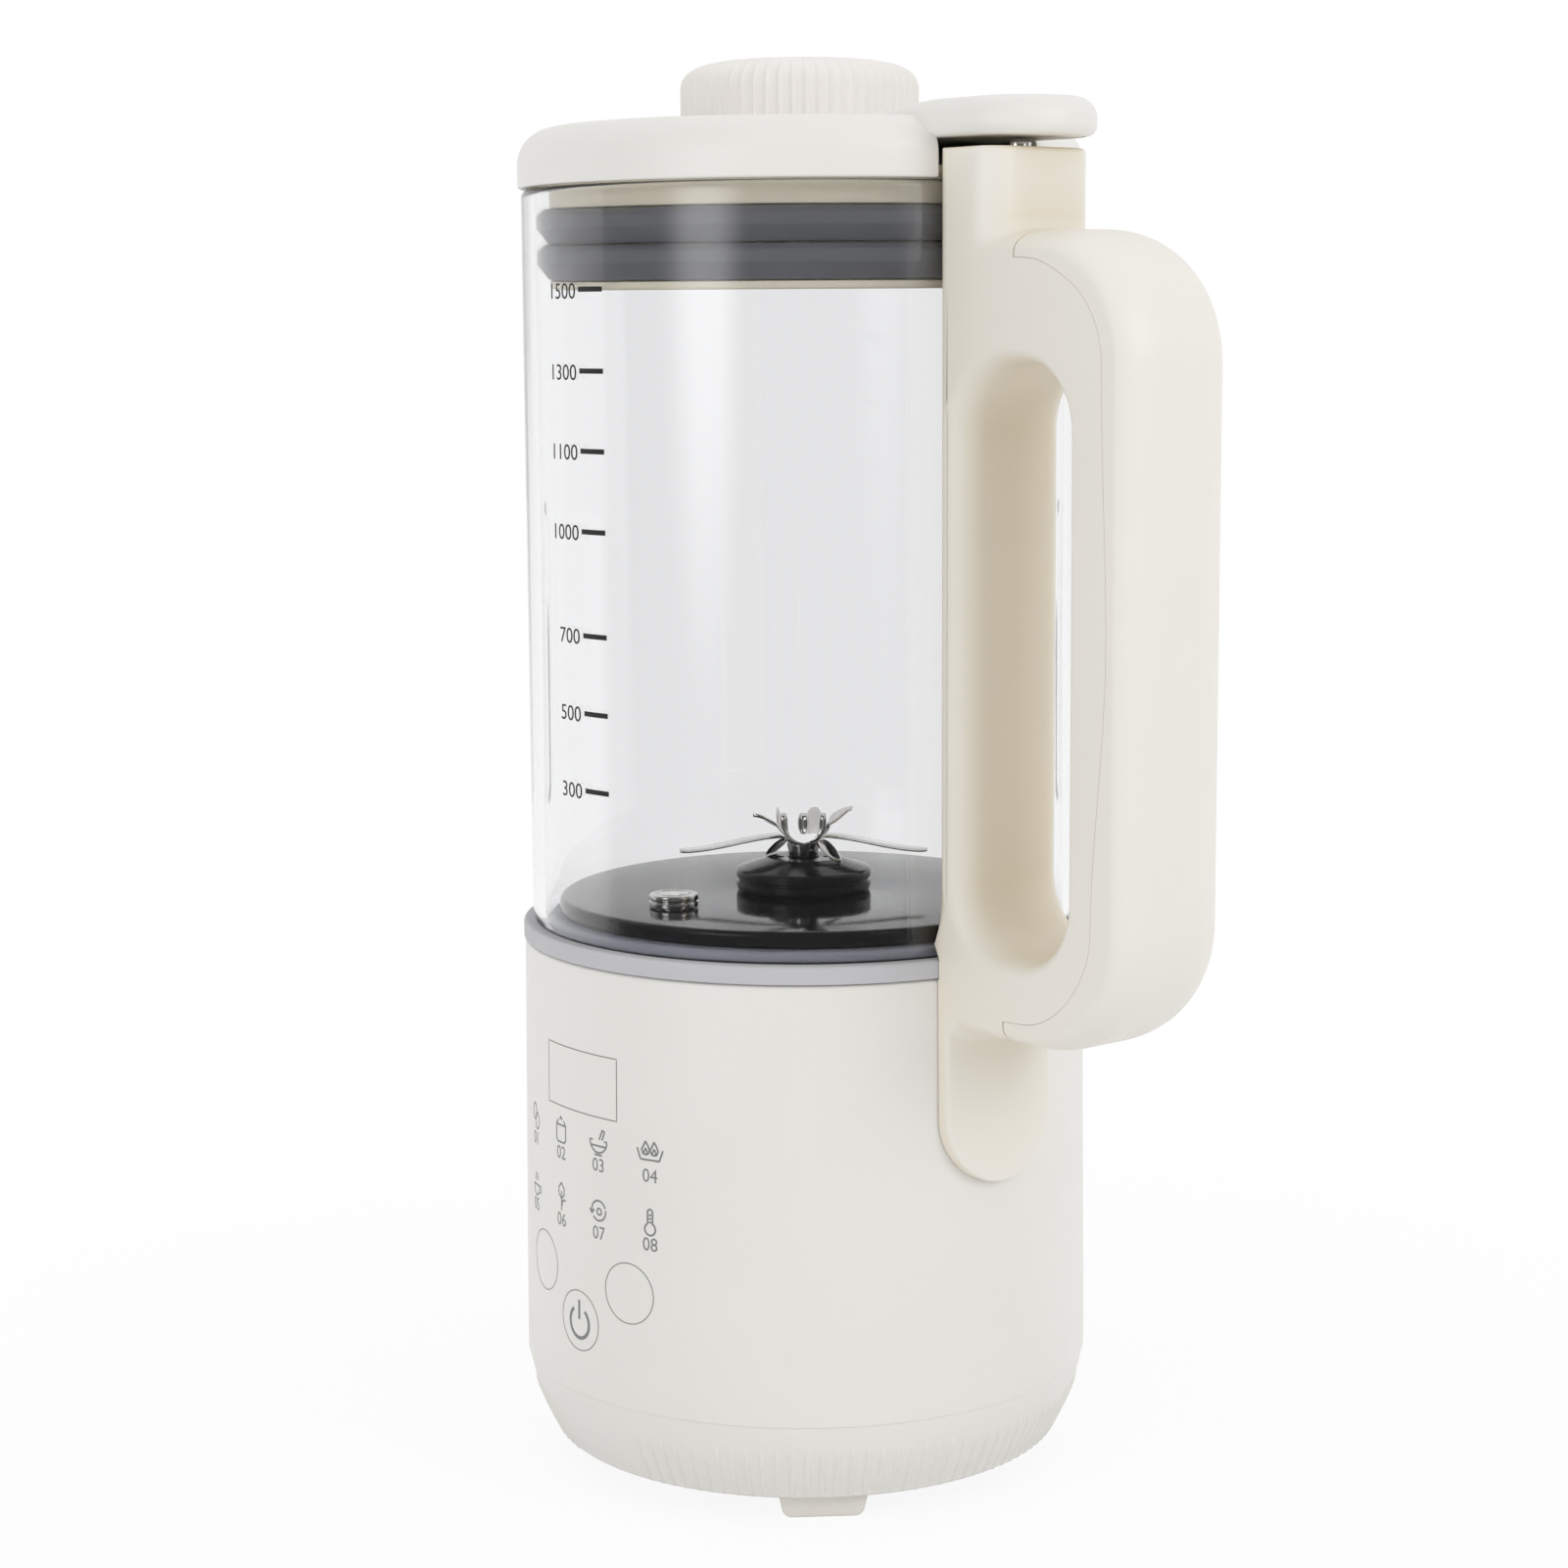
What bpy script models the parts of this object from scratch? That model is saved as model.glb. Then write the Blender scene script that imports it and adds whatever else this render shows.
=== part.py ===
# A glass soy milk maker: a jug with a heated floor and blades, fixed on a motor base, with a lift-off lid.
# Metres, +Z up. The touch panel faces -Y and the handle is at +X. Everything is built about the jug's
# own axis, and one empty then moves the whole part so that it is centred on the origin.
import math

import bmesh
import bpy
from mathutils import Matrix

# Clearances
GAP = 0.0003
RUNNING_GAP = 0.0004
OVERRUN = 0.004
WELD = 0.000001

# How finely round pieces are cut
ROUND_STEPS = 40
MEDIUM_STEPS = 24
SMALL_STEPS = 16
SHARP_ANGLE = 35.0

# Feet
FOOT_HEIGHT = 0.0060
FOOT_TOP_WIDTH = 0.0200
FOOT_BOTTOM_WIDTH = 0.0175
FOOT_DEPTH = 0.0105
FOOT_INSET = 0.0044
FOOT_CORNER = 0.0023
FRONT_FOOT_ANGLE = 54.0
REAR_FOOT_ANGLE = 144.0

# Ribbed skirt
SKIRT_HEIGHT = 0.0185
SKIRT_STEP = 0.0003
SKIRT_TAPER = 0.0071
SKIRT_CURVE_POWER = 1.45
SKIRT_WALL = 0.0022
SKIRT_RIB_COUNT = 110
SKIRT_RIB_HEIGHT = 0.0006
SKIRT_PLAIN_HALF_ANGLE = 12.0
SKIRT_LEVEL_SHARES = (0.0, 0.34, 1.0)
SKIRT_RIB_SHARES = (0.0, 0.0, 1.0)
RIB_PITCH_SHARES = (0.35, 0.50, 0.65)
VENT_COUNT = 12
VENT_INNER_RADIUS = 0.0120
VENT_LENGTH = 0.0150
VENT_WIDTH = 0.0030

# Base shell
SHELL_HEIGHT = 0.0967
SHELL_RADIUS = 0.0650
SHELL_LEAN = 0.0009
SHELL_WALL = 0.0024
SHELL_STRAIGHT = 0.0060
SHELL_EDGE = 0.0006
SHELF_THICKNESS = 0.0025
SHELF_WIDTH = 0.0047

# Seat ring under the glass
SEAT_HEIGHT = 0.0040
SEAT_FLOOR = 0.0010
SEAT_PROUD = 0.0003
SEAT_EDGE = 0.0008

# Glass jug
GLASS_HEIGHT = 0.1669
GLASS_SET_BACK = 0.0021
GLASS_WALL = 0.0030
GLASS_HEEL = 0.0063
GLASS_FLOOR = 0.0025
GLASS_FLOOR_FILLET = 0.0012
GLASS_SEAT_WIDTH = 0.0093
GLASS_RIB_ANGLES = (50.0, 140.0, 230.0, 320.0)
GLASS_RIB_WIDTH = 0.0104
GLASS_RIB_DEPTH = 0.0045
GLASS_RIB_START = 0.0289
GLASS_RIB_LENGTH = 0.0680
GLASS_RIB_SHARES = ((0.0, 0.3), (0.04, 0.8), (0.10, 1.0), (0.88, 1.0), (0.95, 0.8), (1.0, 0.3))

# Heating plate, its gasket, clamp and element
GASKET_SET_IN = 0.0013
GASKET_THICKNESS = 0.0022
PLATE_SET_IN = 0.0021
PLATE_THICKNESS = 0.0035
PLATE_EDGE = 0.0008
PLATE_NECK_WALL = 0.0030
PLATE_NECK_LENGTH = 0.0130
PLATE_BORE_RADIUS = 0.0110
CLAMP_SET_IN = 0.0010
CLAMP_THICKNESS = 0.0030
ELEMENT_SET_IN = 0.0105
ELEMENT_TUBE_RADIUS = 0.0035
ELEMENT_OPEN_ANGLE = 40.0
FUSE_RADIUS = 0.0050
FUSE_HEIGHT = 0.0060
FUSE_SPACE = 0.0005

# Temperature button
SENSOR_RADIUS = 0.0054
SENSOR_RISE = 0.0032
SENSOR_RIM = 0.0010
SENSOR_GROOVE = 0.0004
SENSOR_STEM_RADIUS = 0.0040
SENSOR_STEM_LENGTH = 0.0120
SENSOR_SET_IN = 0.0184

# Bearing nut, bush and seal
NUT_RADIUS = 0.0154
NUT_CYLINDER_HEIGHT = 0.0048
NUT_CONE_HEIGHT = 0.0023
NUT_TOP_RADIUS = 0.0075
NUT_WAIST_DEPTH = 0.0005
NUT_WAIST_HALF_WIDTH = 0.0005
NUT_STEM_RADIUS = 0.0106
NUT_STEM_LENGTH = 0.0220
NUT_BORE_RADIUS = 0.0072
NUT_SPANNER_HOLE_RADIUS = 0.0011
NUT_SPANNER_HOLE_DEPTH = 0.0010
NUT_SPANNER_REACH = 0.0055
NUT_LIP = 0.0016
SEAL_HEIGHT = 0.0050
BUSH_HEIGHT = 0.0160

# Shaft and blades
SHAFT_RADIUS = 0.0040
COLLAR_RADIUS = 0.0032
COLLAR_TOP_RADIUS = 0.0038
COLLAR_HEIGHT = 0.0033
SPINDLE_RADIUS = 0.0014
BLADE_THICKNESS = 0.0008
BLADE_SPACING = 0.0002
BLADE_HUB_WIDTH = 0.0064
LONG_BLADE_REACH = 0.0285
LONG_BLADE_WIDTH = 0.0066
LONG_BLADE_RISE = -0.0034
LEAF_REACH = 0.0126
LEAF_WIDTH = 0.0052
LEAF_RISE = 0.0034
LOWER_REACH = 0.0106
LOWER_WIDTH = 0.0046
LOWER_RISE = -0.0032
LONG_BLADE_TURN = 50.0
UPPER_BLADE_TURN = 75.0
MIDDLE_BLADE_TURN = -15.0
LOWER_BLADE_TURN = 15.0
BLADE_ARM_SHARES = (1.0, 0.85, 0.50, 0.20, 0.0)
BLADE_WIDTH_SHARES = (0.10, 0.55, 1.0, 0.80, 0.0)
LOCK_NUT_RADIUS = 0.0027
LOCK_NUT_HEIGHT = 0.0022

# Motor
FAN_OVERHANG = 0.0020
FAN_DISC = 0.0015
FAN_HEIGHT = 0.0080
FAN_HUB_RADIUS = 0.0090
FAN_BLADE_COUNT = 9
FAN_BLADE_WIDTH = 0.0014
FAN_CLEARANCE = 0.0030
SHAFT_END_CLEARANCE = 0.0020
BRACKET_THICKNESS = 0.0045
BRACKET_WIDTH = 0.0140
BRACKET_LEG = 0.0045
LOWER_BRACKET_RISE = 0.0030
COMMUTATOR_SHARE = 0.1875
COMMUTATOR_HEIGHT = 0.0110
COMMUTATOR_RISE = 0.0030
BRUSH_CLEARANCE = 0.0007
BRUSH_HEIGHT = 0.0060
BRUSH_WIDTH = 0.0064
BRUSH_RISE = 0.0025
MOTOR_SPACE = 0.0337
STATOR_CORNER = 0.0080
STATOR_HEIGHT = 0.0230
STATOR_RISE = 0.0120
ROTOR_SHARE = 0.3
ROTOR_WINDING_SHARE = 0.25
ROTOR_WINDING_HEIGHT = 0.0065
ROTOR_AIR_GAP = 0.0007
COIL_CLEARANCE = 0.0005
COIL_HEIGHT = 0.0055
CARRIER_WIDTH = 0.0260
CARRIER_THICKNESS = 0.0040
CARRIER_RISE = 0.0110
CARRIER_END_INSET = 0.0020
LEDGE_HEIGHT = 0.0030
LEDGE_DEPTH = 0.0045

# Boards, display and inlet
BOARD_THICKNESS = 0.0016
PANEL_BOARD_WIDTH = 0.0480
PANEL_BOARD_HEIGHT = 0.0700
PANEL_BOARD_SET_IN = 0.0072
PANEL_BOARD_START = 0.0100
DISPLAY_WIDTH = 0.0258
DISPLAY_HEIGHT = 0.0138
DISPLAY_DEPTH = 0.0044
DISPLAY_DROP = 0.0189
POWER_BOARD_WIDTH = 0.0560
POWER_BOARD_HEIGHT = 0.0400
POWER_BOARD_SET_IN = 0.0137
POWER_BOARD_START = 0.0380
RAIL_WIDTH = 0.0040
RAIL_INSET = 0.0030
TRANSFORMER_WIDTH = 0.0180
TRANSFORMER_HEIGHT = 0.0150
TRANSFORMER_DEPTH = 0.0100
RELAY_WIDTH = 0.0120
RELAY_HEIGHT = 0.0180
RELAY_DEPTH = 0.0090
INLET_WIDTH = 0.0280
INLET_HEIGHT = 0.0200
INLET_DEPTH = 0.0190
INLET_CORNER = 0.0040
INLET_WALL = 0.0018
INLET_FLOOR = 0.0030
INLET_RISE = 0.0150
INLET_FACE_INSET = 0.0020
INLET_PIN_LENGTH = 0.0100
INLET_PIN_WIDTH = 0.0020
INLET_PIN_HEIGHT = 0.0040
INLET_PIN_SPREAD = 0.0070
INLET_PIN_OFFSET = 0.0040

# Screws
SCREW_RADIUS = 0.0015
SCREW_HEAD_RADIUS = 0.0029
SCREW_HEAD_HEIGHT = 0.0018
SCREW_POST_RADIUS = 0.0040
SCREW_POST_SET_IN = 0.0127
SCREW_POST_HEIGHT = 0.0240
SCREW_POST_WEB = 0.0030
SCREW_POST_WEB_HEIGHT = 0.0055
BOTTOM_SCREW_LENGTH = 0.0100
BOTTOM_SCREW_ANGLES = (0.0, 120.0, 240.0)
HANDLE_SCREW_LENGTH = 0.0046
HANDLE_SCREW_DROPS = (0.0100, 0.0240)

# Handle
COLUMN_TOP_RISE = 0.0060
TONGUE_LENGTH = 0.0460
COLUMN_HALF_WIDTH = 0.0152
COLUMN_THICKNESS = 0.0055
SIDE_STEP = 0.0001
EDGE_LEVEL_SHARES = (0.0, 0.25, 1.0)
TONGUE_PROUD = 0.0030
NECK_OVERHANG = 0.0110
NECK_CORNER = 0.0070
SHOULDER_DROP = 0.0170
FINGER_ROOM = 0.0335
HANDLE_LAP = 0.0115
HANDLE_TOP_CORNER = 0.0270
HANDLE_BOTTOM_CORNER = 0.0280
GRIP_THICKNESS = 0.0161
FINGER_TOP_WALL = 0.0270
FINGER_BOTTOM_WALL = 0.0190
FINGER_CORNER = 0.0140
FINGER_EDGE = 0.0038
COVER_STEP = 0.0062
COVER_END_STEP = 0.0022
COVER_FLAT_HALF_WIDTH = 0.0052
COVER_EDGE_DEPTH = 0.0045
SEAM_TOP_INSET = 0.0055
SEAM_CORNER_INSET = 0.0075
SEAM_GRIP_INSET = 0.0056
SEAM_LOW_INSET = 0.0094
SEAM_END_INSET = 0.0058

# Safety pin and switch in the handle's neck
PIN_SET_OUT = 0.0027
PIN_RADIUS = 0.0025
PIN_HEAD = 0.0010
PIN_LENGTH = 0.0150
PIN_TRAVEL = 0.0015
SWITCH_WIDTH = 0.0100
SWITCH_DEPTH = 0.0100
SWITCH_HEIGHT = 0.0080

# Lid
LID_RISE = 0.0026
LID_OVERHANG = 0.0007
LID_HEIGHT = 0.0106
LID_WALL = 0.0025
LID_EDGE = 0.0080
LID_LIP_INSET = 0.0005
LID_SLEEVE_WALL = 0.0025
LID_SLEEVE_HEIGHT = 0.0100
LID_LEDGE_HEIGHT = 0.0032
NOTCH_DEPTH = 0.0080
NOTCH_CLEARANCE = 0.0018
TAB_HALF_WIDTH = 0.0158
TAB_OVERHANG = 0.0080
TAB_CLEARANCE = 0.0022
TAB_HEIGHT = 0.0080
TAB_EDGE = 0.0040
TAB_BLEND_GAP = 0.0024
TAB_BLEND_INSET = 0.0030
TAB_COVER_THICKNESS = 0.0014
TAB_COVER_INSET = 0.0016
TAB_COVER_LEAD = 0.0045
PLUG_CLEARANCE = 0.0033
PLUG_WALL = 0.0022
PLUG_FLANGE = 0.0018
PLUG_FLANGE_SET_IN = 0.0017
PLUG_HEIGHT = 0.0250
PLUG_GROOVE_DEPTH = 0.0025
PLUG_TOP_BAND = 0.0060
SEAL_BAND = 0.0074
SEAL_LIP = 0.0016

# Feed cap
KNOB_RADIUS = 0.0266
KNOB_HEIGHT = 0.0145
KNOB_RIB_COUNT = 58
KNOB_RIB_HEIGHT = 0.0005
KNOB_RIB_END = 0.0095
KNOB_CROWN_SHARES = ((0.95, 0.46), (0.85, 0.74), (0.54, 1.0))
CAP_PLUG_RADIUS = 0.0196
CAP_PLUG_WALL = 0.0020
CAP_PLUG_LENGTH = 0.0230
CAP_SEAL_THICKNESS = 0.0012
CAP_SEAL_INSET = 0.0022
CAP_SEAL_WIDTH = 0.0022
CAP_SPIGOT = 0.0040
CAP_LUG_REACH = 0.0018
CAP_LUG_HEIGHT = 0.0025
CAP_LUG_ANGLE = 22.0
CAP_SLOT_ANGLE = 32.0

# Radii and reaches worked out from the shell's radius
SHELL_TOP_RADIUS = SHELL_RADIUS - SHELL_LEAN
SHELL_INNER_RADIUS = SHELL_TOP_RADIUS - SHELL_WALL
SHELF_INNER_RADIUS = SHELL_INNER_RADIUS - SHELF_WIDTH
WALL_CORE_RADIUS = SHELL_TOP_RADIUS - SHELL_WALL / 2
SKIRT_TOP_RADIUS = SHELL_RADIUS - SKIRT_STEP
SKIRT_FOOT_RADIUS = SKIRT_TOP_RADIUS - SKIRT_TAPER
FOOT_OUTER_REACH = SKIRT_FOOT_RADIUS - FOOT_INSET
SEAT_RADIUS = SHELL_TOP_RADIUS + SEAT_PROUD
GLASS_RADIUS = SEAT_RADIUS - GLASS_SET_BACK
GLASS_INNER_RADIUS = GLASS_RADIUS - GLASS_WALL
GLASS_MOUTH_RADIUS = GLASS_INNER_RADIUS - GLASS_SEAT_WIDTH
GASKET_RADIUS = GLASS_INNER_RADIUS - GASKET_SET_IN
PLATE_RADIUS = GASKET_RADIUS - PLATE_SET_IN
PLATE_NECK_RADIUS = GLASS_MOUTH_RADIUS - GAP
CLAMP_RADIUS = SHELF_INNER_RADIUS - CLAMP_SET_IN
SENSOR_REACH = PLATE_RADIUS - SENSOR_SET_IN
ELEMENT_PATH_RADIUS = SENSOR_REACH - ELEMENT_SET_IN
FUSE_REACH = ELEMENT_PATH_RADIUS - ELEMENT_TUBE_RADIUS - FUSE_RADIUS - FUSE_SPACE
STATOR_WIDTH = 2 * (SHELL_INNER_RADIUS - MOTOR_SPACE)
ROTOR_RADIUS = STATOR_WIDTH * ROTOR_SHARE
ROTOR_WINDING_RADIUS = STATOR_WIDTH * ROTOR_WINDING_SHARE
COMMUTATOR_RADIUS = STATOR_WIDTH * COMMUTATOR_SHARE
BRACKET_INNER_REACH = STATOR_WIDTH / 2 - BRACKET_LEG
COIL_WALL = BRACKET_INNER_REACH - COIL_CLEARANCE - ROTOR_RADIUS - ROTOR_AIR_GAP
BRUSH_LENGTH = BRACKET_INNER_REACH - BRUSH_CLEARANCE - COMMUTATOR_RADIUS - GAP
FAN_RADIUS = STATOR_WIDTH / 2 + FAN_OVERHANG
PANEL_BOARD_REACH = SHELL_INNER_RADIUS - PANEL_BOARD_SET_IN
POWER_BOARD_REACH = SHELL_INNER_RADIUS - POWER_BOARD_SET_IN
SCREW_POST_REACH = SHELL_INNER_RADIUS - SCREW_POST_SET_IN
COLUMN_REACH = GLASS_RADIUS + COLUMN_THICKNESS
COLUMN_ROOT = GLASS_MOUTH_RADIUS
NECK_REACH = COLUMN_REACH + NECK_OVERHANG
HANDLE_REACH = COLUMN_REACH + FINGER_ROOM + GRIP_THICKNESS
COVER_START = NECK_REACH + COVER_STEP
COVER_END = COVER_START - COVER_END_STEP
PIN_REACH = COLUMN_REACH + PIN_SET_OUT
LID_RADIUS = GLASS_RADIUS + LID_OVERHANG
TAB_REACH = NECK_REACH + TAB_OVERHANG
TAB_BLEND_START = KNOB_RADIUS + TAB_BLEND_GAP
TAB_BLEND_END = LID_RADIUS - TAB_BLEND_INSET
TAB_COVER_START = PIN_REACH - TAB_COVER_LEAD
PLUG_RADIUS = GLASS_INNER_RADIUS - PLUG_CLEARANCE
PLUG_FLANGE_RADIUS = GLASS_RADIUS - PLUG_FLANGE_SET_IN
PLUG_GROOVE_RADIUS = PLUG_RADIUS - PLUG_GROOVE_DEPTH
SLEEVE_RADIUS = CAP_PLUG_RADIUS + RUNNING_GAP
SLEEVE_WIDE_RADIUS = CAP_PLUG_RADIUS + CAP_LUG_REACH + RUNNING_GAP
SHIFT = (SHELL_RADIUS - HANDLE_REACH) / 2

# Heights worked out from the stack of pieces
SKIRT_BOTTOM = FOOT_HEIGHT
SKIRT_FLOOR_TOP = SKIRT_BOTTOM + SKIRT_WALL
SKIRT_TOP = SKIRT_BOTTOM + SKIRT_HEIGHT
SHELL_BOTTOM = SKIRT_TOP + GAP
SHELL_TOP = SHELL_BOTTOM + SHELL_HEIGHT
SHELF_BOTTOM = SHELL_TOP - SHELF_THICKNESS
SEAT_BOTTOM = SHELL_TOP + GAP
SEAT_TOP = SEAT_BOTTOM + SEAT_HEIGHT
GLASS_BOTTOM = SEAT_BOTTOM + SEAT_FLOOR + GAP
GLASS_FLOOR_TOP = GLASS_BOTTOM + GLASS_FLOOR
GLASS_TOP = GLASS_BOTTOM + GLASS_HEIGHT
GASKET_BOTTOM = GLASS_FLOOR_TOP + GAP
PLATE_BOTTOM = GASKET_BOTTOM + GASKET_THICKNESS + GAP
PLATE_TOP = PLATE_BOTTOM + PLATE_THICKNESS
NUT_BOTTOM = PLATE_TOP + GAP
NUT_TOP = NUT_BOTTOM + NUT_CYLINDER_HEIGHT + NUT_CONE_HEIGHT
STEM_BOTTOM = NUT_BOTTOM - NUT_STEM_LENGTH
COLLAR_TOP = NUT_TOP + COLLAR_HEIGHT
FAN_BOTTOM = SKIRT_FLOOR_TOP + FAN_CLEARANCE
LOWER_BRACKET_BOTTOM = FAN_BOTTOM + FAN_HEIGHT + LOWER_BRACKET_RISE
LOWER_BRACKET_TOP = LOWER_BRACKET_BOTTOM + BRACKET_THICKNESS
COMMUTATOR_BOTTOM = LOWER_BRACKET_TOP + COMMUTATOR_RISE
COMMUTATOR_TOP = COMMUTATOR_BOTTOM + COMMUTATOR_HEIGHT
BRUSH_BOTTOM = COMMUTATOR_BOTTOM + BRUSH_RISE
STATOR_BOTTOM = COMMUTATOR_TOP + STATOR_RISE
STATOR_TOP = STATOR_BOTTOM + STATOR_HEIGHT
CARRIER_BOTTOM = STATOR_TOP + CARRIER_RISE
CARRIER_TOP = CARRIER_BOTTOM + CARRIER_THICKNESS
LID_BOTTOM = GLASS_TOP + LID_RISE
LID_TOP = LID_BOTTOM + LID_HEIGHT
COLUMN_TOP = GLASS_TOP + COLUMN_TOP_RISE
COLUMN_BOTTOM = SHELL_TOP - TONGUE_LENGTH
HANDLE_TOP = COLUMN_TOP - SHOULDER_DROP
HANDLE_BOTTOM = SHELL_TOP - HANDLE_LAP
FINGER_TOP = HANDLE_TOP - FINGER_TOP_WALL
FINGER_BOTTOM = HANDLE_BOTTOM + FINGER_BOTTOM_WALL
TAB_BOTTOM = COLUMN_TOP + TAB_CLEARANCE
TAB_TOP = TAB_BOTTOM + TAB_HEIGHT
PLUG_TOP = LID_BOTTOM - GAP
PLUG_BOTTOM = PLUG_TOP - PLUG_HEIGHT
UPPER_SEAL_TOP = PLUG_TOP - PLUG_FLANGE - PLUG_TOP_BAND
LOWER_SEAL_TOP = UPPER_SEAL_TOP - SEAL_BAND - GAP
KNOB_BOTTOM = LID_TOP + GAP
KNOB_TOP = KNOB_BOTTOM + KNOB_HEIGHT
SLEEVE_BOTTOM = LID_TOP - LID_SLEEVE_HEIGHT
LEDGE_BOTTOM = LID_TOP - LID_LEDGE_HEIGHT


# Shape helpers

def arc(across, up, radius, start, end, steps):
    """Points on an arc between two angles in degrees, both ends included."""
    points = []
    for step in range(steps + 1):
        angle = math.radians(start + (end - start) * step / steps)
        points.append((across + radius * math.cos(angle), up + radius * math.sin(angle)))
    return points


def finished(name, bm, paint):
    """Make an object of the mesh, with its faces pointing out and round parts shaded smooth."""
    bmesh.ops.remove_doubles(bm, verts=bm.verts, dist=WELD)
    bmesh.ops.recalc_face_normals(bm, faces=bm.faces)
    mesh = bpy.data.meshes.new(name)
    bm.to_mesh(mesh)
    bm.free()
    mesh.shade_smooth()
    mesh.set_sharp_from_angle(angle=math.radians(SHARP_ANGLE))
    mesh.materials.append(paint)
    piece = bpy.data.objects.new(name, mesh)
    bpy.context.scene.collection.objects.link(piece)
    return piece


def turned(name, outline, steps, paint):
    """Turn a closed outline of (radius, height) points round the Z axis."""
    bm = bmesh.new()
    verts = [bm.verts.new((radius, 0, height)) for radius, height in outline]
    edges = [bm.edges.new(pair) for pair in zip(verts, verts[1:])]
    if outline[0][0] > 0 or outline[-1][0] > 0:
        edges.append(bm.edges.new((verts[-1], verts[0])))
    bmesh.ops.spin(bm, geom=verts + edges, cent=(0, 0, 0), axis=(0, 0, 1),
                   angle=math.tau, steps=steps, use_merge=True)
    bmesh.ops.remove_doubles(bm, verts=bm.verts, dist=WELD)
    tips = [vert for vert in bm.verts if vert.co.xy.length < WELD]
    bmesh.ops.dissolve_verts(bm, verts=tips)
    return finished(name, bm, paint)


def rod(name, radius, low, high, steps, paint):
    """A plain round rod on the Z axis."""
    return turned(name, [(0, low), (radius, low), (radius, high), (0, high)], steps, paint)


def ring(name, inner, outer, low, high, steps, paint):
    """A plain ring on the Z axis."""
    return turned(name, [(inner, low), (outer, low), (outer, high), (inner, high)], steps, paint)


def skinned(name, rings, paint):
    """Join rings of points into a closed body with a flat cap at each end."""
    bm = bmesh.new()
    loops = [[bm.verts.new(point) for point in points] for points in rings]
    for lower, upper in zip(loops, loops[1:]):
        wall_between(bm, lower, upper)
    bm.faces.new(loops[0])
    bm.faces.new(loops[-1])
    return finished(name, bm, paint)


def wall_between(bm, lower, upper):
    """A band of four-sided faces between two loops with the same number of points."""
    for index in range(len(lower)):
        bm.faces.new((lower[index - 1], lower[index], upper[index], upper[index - 1]))


def fill_between(bm, *loops):
    """Fill the flat face that lies between loops."""
    edges = []
    for loop in loops:
        edges += [bm.edges.get((loop[index - 1], loop[index])) for index in range(len(loop))]
    bmesh.ops.triangle_fill(bm, use_beauty=True, edges=edges)


def prism(name, outline, start, end, paint, along="Z"):
    """Extrude a flat outline along one axis."""
    place = {
        "X": lambda across, up, depth: (depth, across, up),
        "Y": lambda across, up, depth: (across, depth, up),
        "Z": lambda across, up, depth: (across, up, depth),
    }[along]
    rings = [[place(across, up, depth) for across, up in outline] for depth in (start, end)]
    return skinned(name, rings, paint)


def block(name, x_range, y_range, z_range, paint):
    """A box between two places on each axis."""
    left, right = x_range
    front, back = y_range
    outline = [(left, front), (right, front), (right, back), (left, back)]
    return prism(name, outline, z_range[0], z_range[1], paint)


def combine(target, operation, *tools):
    """Cut, join or trim the target with each tool, then remove the tools."""
    for tool in tools:
        tool.hide_render = True
        tool.display_type = "WIRE"
        step = target.modifiers.new(tool.name, "BOOLEAN")
        step.operation = operation
        step.solver = "EXACT"
        step.object = tool
    view = bpy.context.evaluated_depsgraph_get()
    mesh = bpy.data.meshes.new_from_object(target.evaluated_get(view))
    target.modifiers.clear()
    target.data = mesh
    mesh.shade_smooth()
    mesh.set_sharp_from_angle(angle=math.radians(SHARP_ANGLE))
    for tool in tools:
        bpy.data.objects.remove(tool)
    return target


def turn_about_z(piece, degrees):
    """Turn a piece's mesh round the Z axis."""
    piece.data.transform(Matrix.Rotation(math.radians(degrees), 4, "Z"))
    return piece


def move(piece, across=0, back=0, up=0):
    """Shift a piece's mesh."""
    piece.data.transform(Matrix.Translation((across, back, up)))
    return piece


def lay_along_x(piece):
    """Turn a piece built up the Z axis so that it runs along +X instead."""
    piece.data.transform(Matrix.Rotation(math.radians(90), 4, "Y"))
    return piece


def from_front(radius, degrees):
    """The place at a radius and an angle, measured from the panel (-Y) towards the handle (+X)."""
    angle = math.radians(degrees)
    return radius * math.sin(angle), -radius * math.cos(angle)


def round_loop(radius, height, steps, start=0):
    """Points round a plain circle."""
    return [(*from_front(radius, start + 360 * step / steps), height) for step in range(steps)]


def strip_between(bm, fine, coarse):
    """Triangles between a loop of many points and a loop of few that start at the same angle."""
    fine_count = len(fine)
    coarse_count = len(coarse)
    near = 0
    far = 0
    while near < fine_count or far < coarse_count:
        here = fine[near % fine_count]
        there = coarse[far % coarse_count]
        fine_next = (near + 1) / fine_count
        coarse_next = (far + 1) / coarse_count
        if far == coarse_count or fine_next <= coarse_next:
            near += 1
            bm.faces.new((here, fine[near % fine_count], there))
        else:
            far += 1
            bm.faces.new((here, coarse[far % coarse_count], there))


def ribbed_loop(radius, height, rib_height, rib_count, plain_half_angle):
    """Points round a circle with a small crest on each rib and a plain stretch at the front."""
    pitch = (360 - 2 * plain_half_angle) / rib_count
    points = []
    for rib in range(rib_count):
        for place, share in enumerate(RIB_PITCH_SHARES):
            crest = rib_height if place == 1 else 0
            angle = plain_half_angle + pitch * (rib + share)
            points.append((*from_front(radius + crest, angle), height))
    plain_steps = int(2 * plain_half_angle / pitch)
    for step in range(plain_steps):
        angle = -plain_half_angle + pitch * (step + RIB_PITCH_SHARES[1])
        points.append((*from_front(radius, angle), height))
    return points


def rounding(place, start, end, depth):
    """How far a rounded edge has dropped at a place between its start and its end."""
    share = min(max((place - start) / (end - start), 0), 1)
    return depth * (1 - math.sqrt(1 - share * share))


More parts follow.
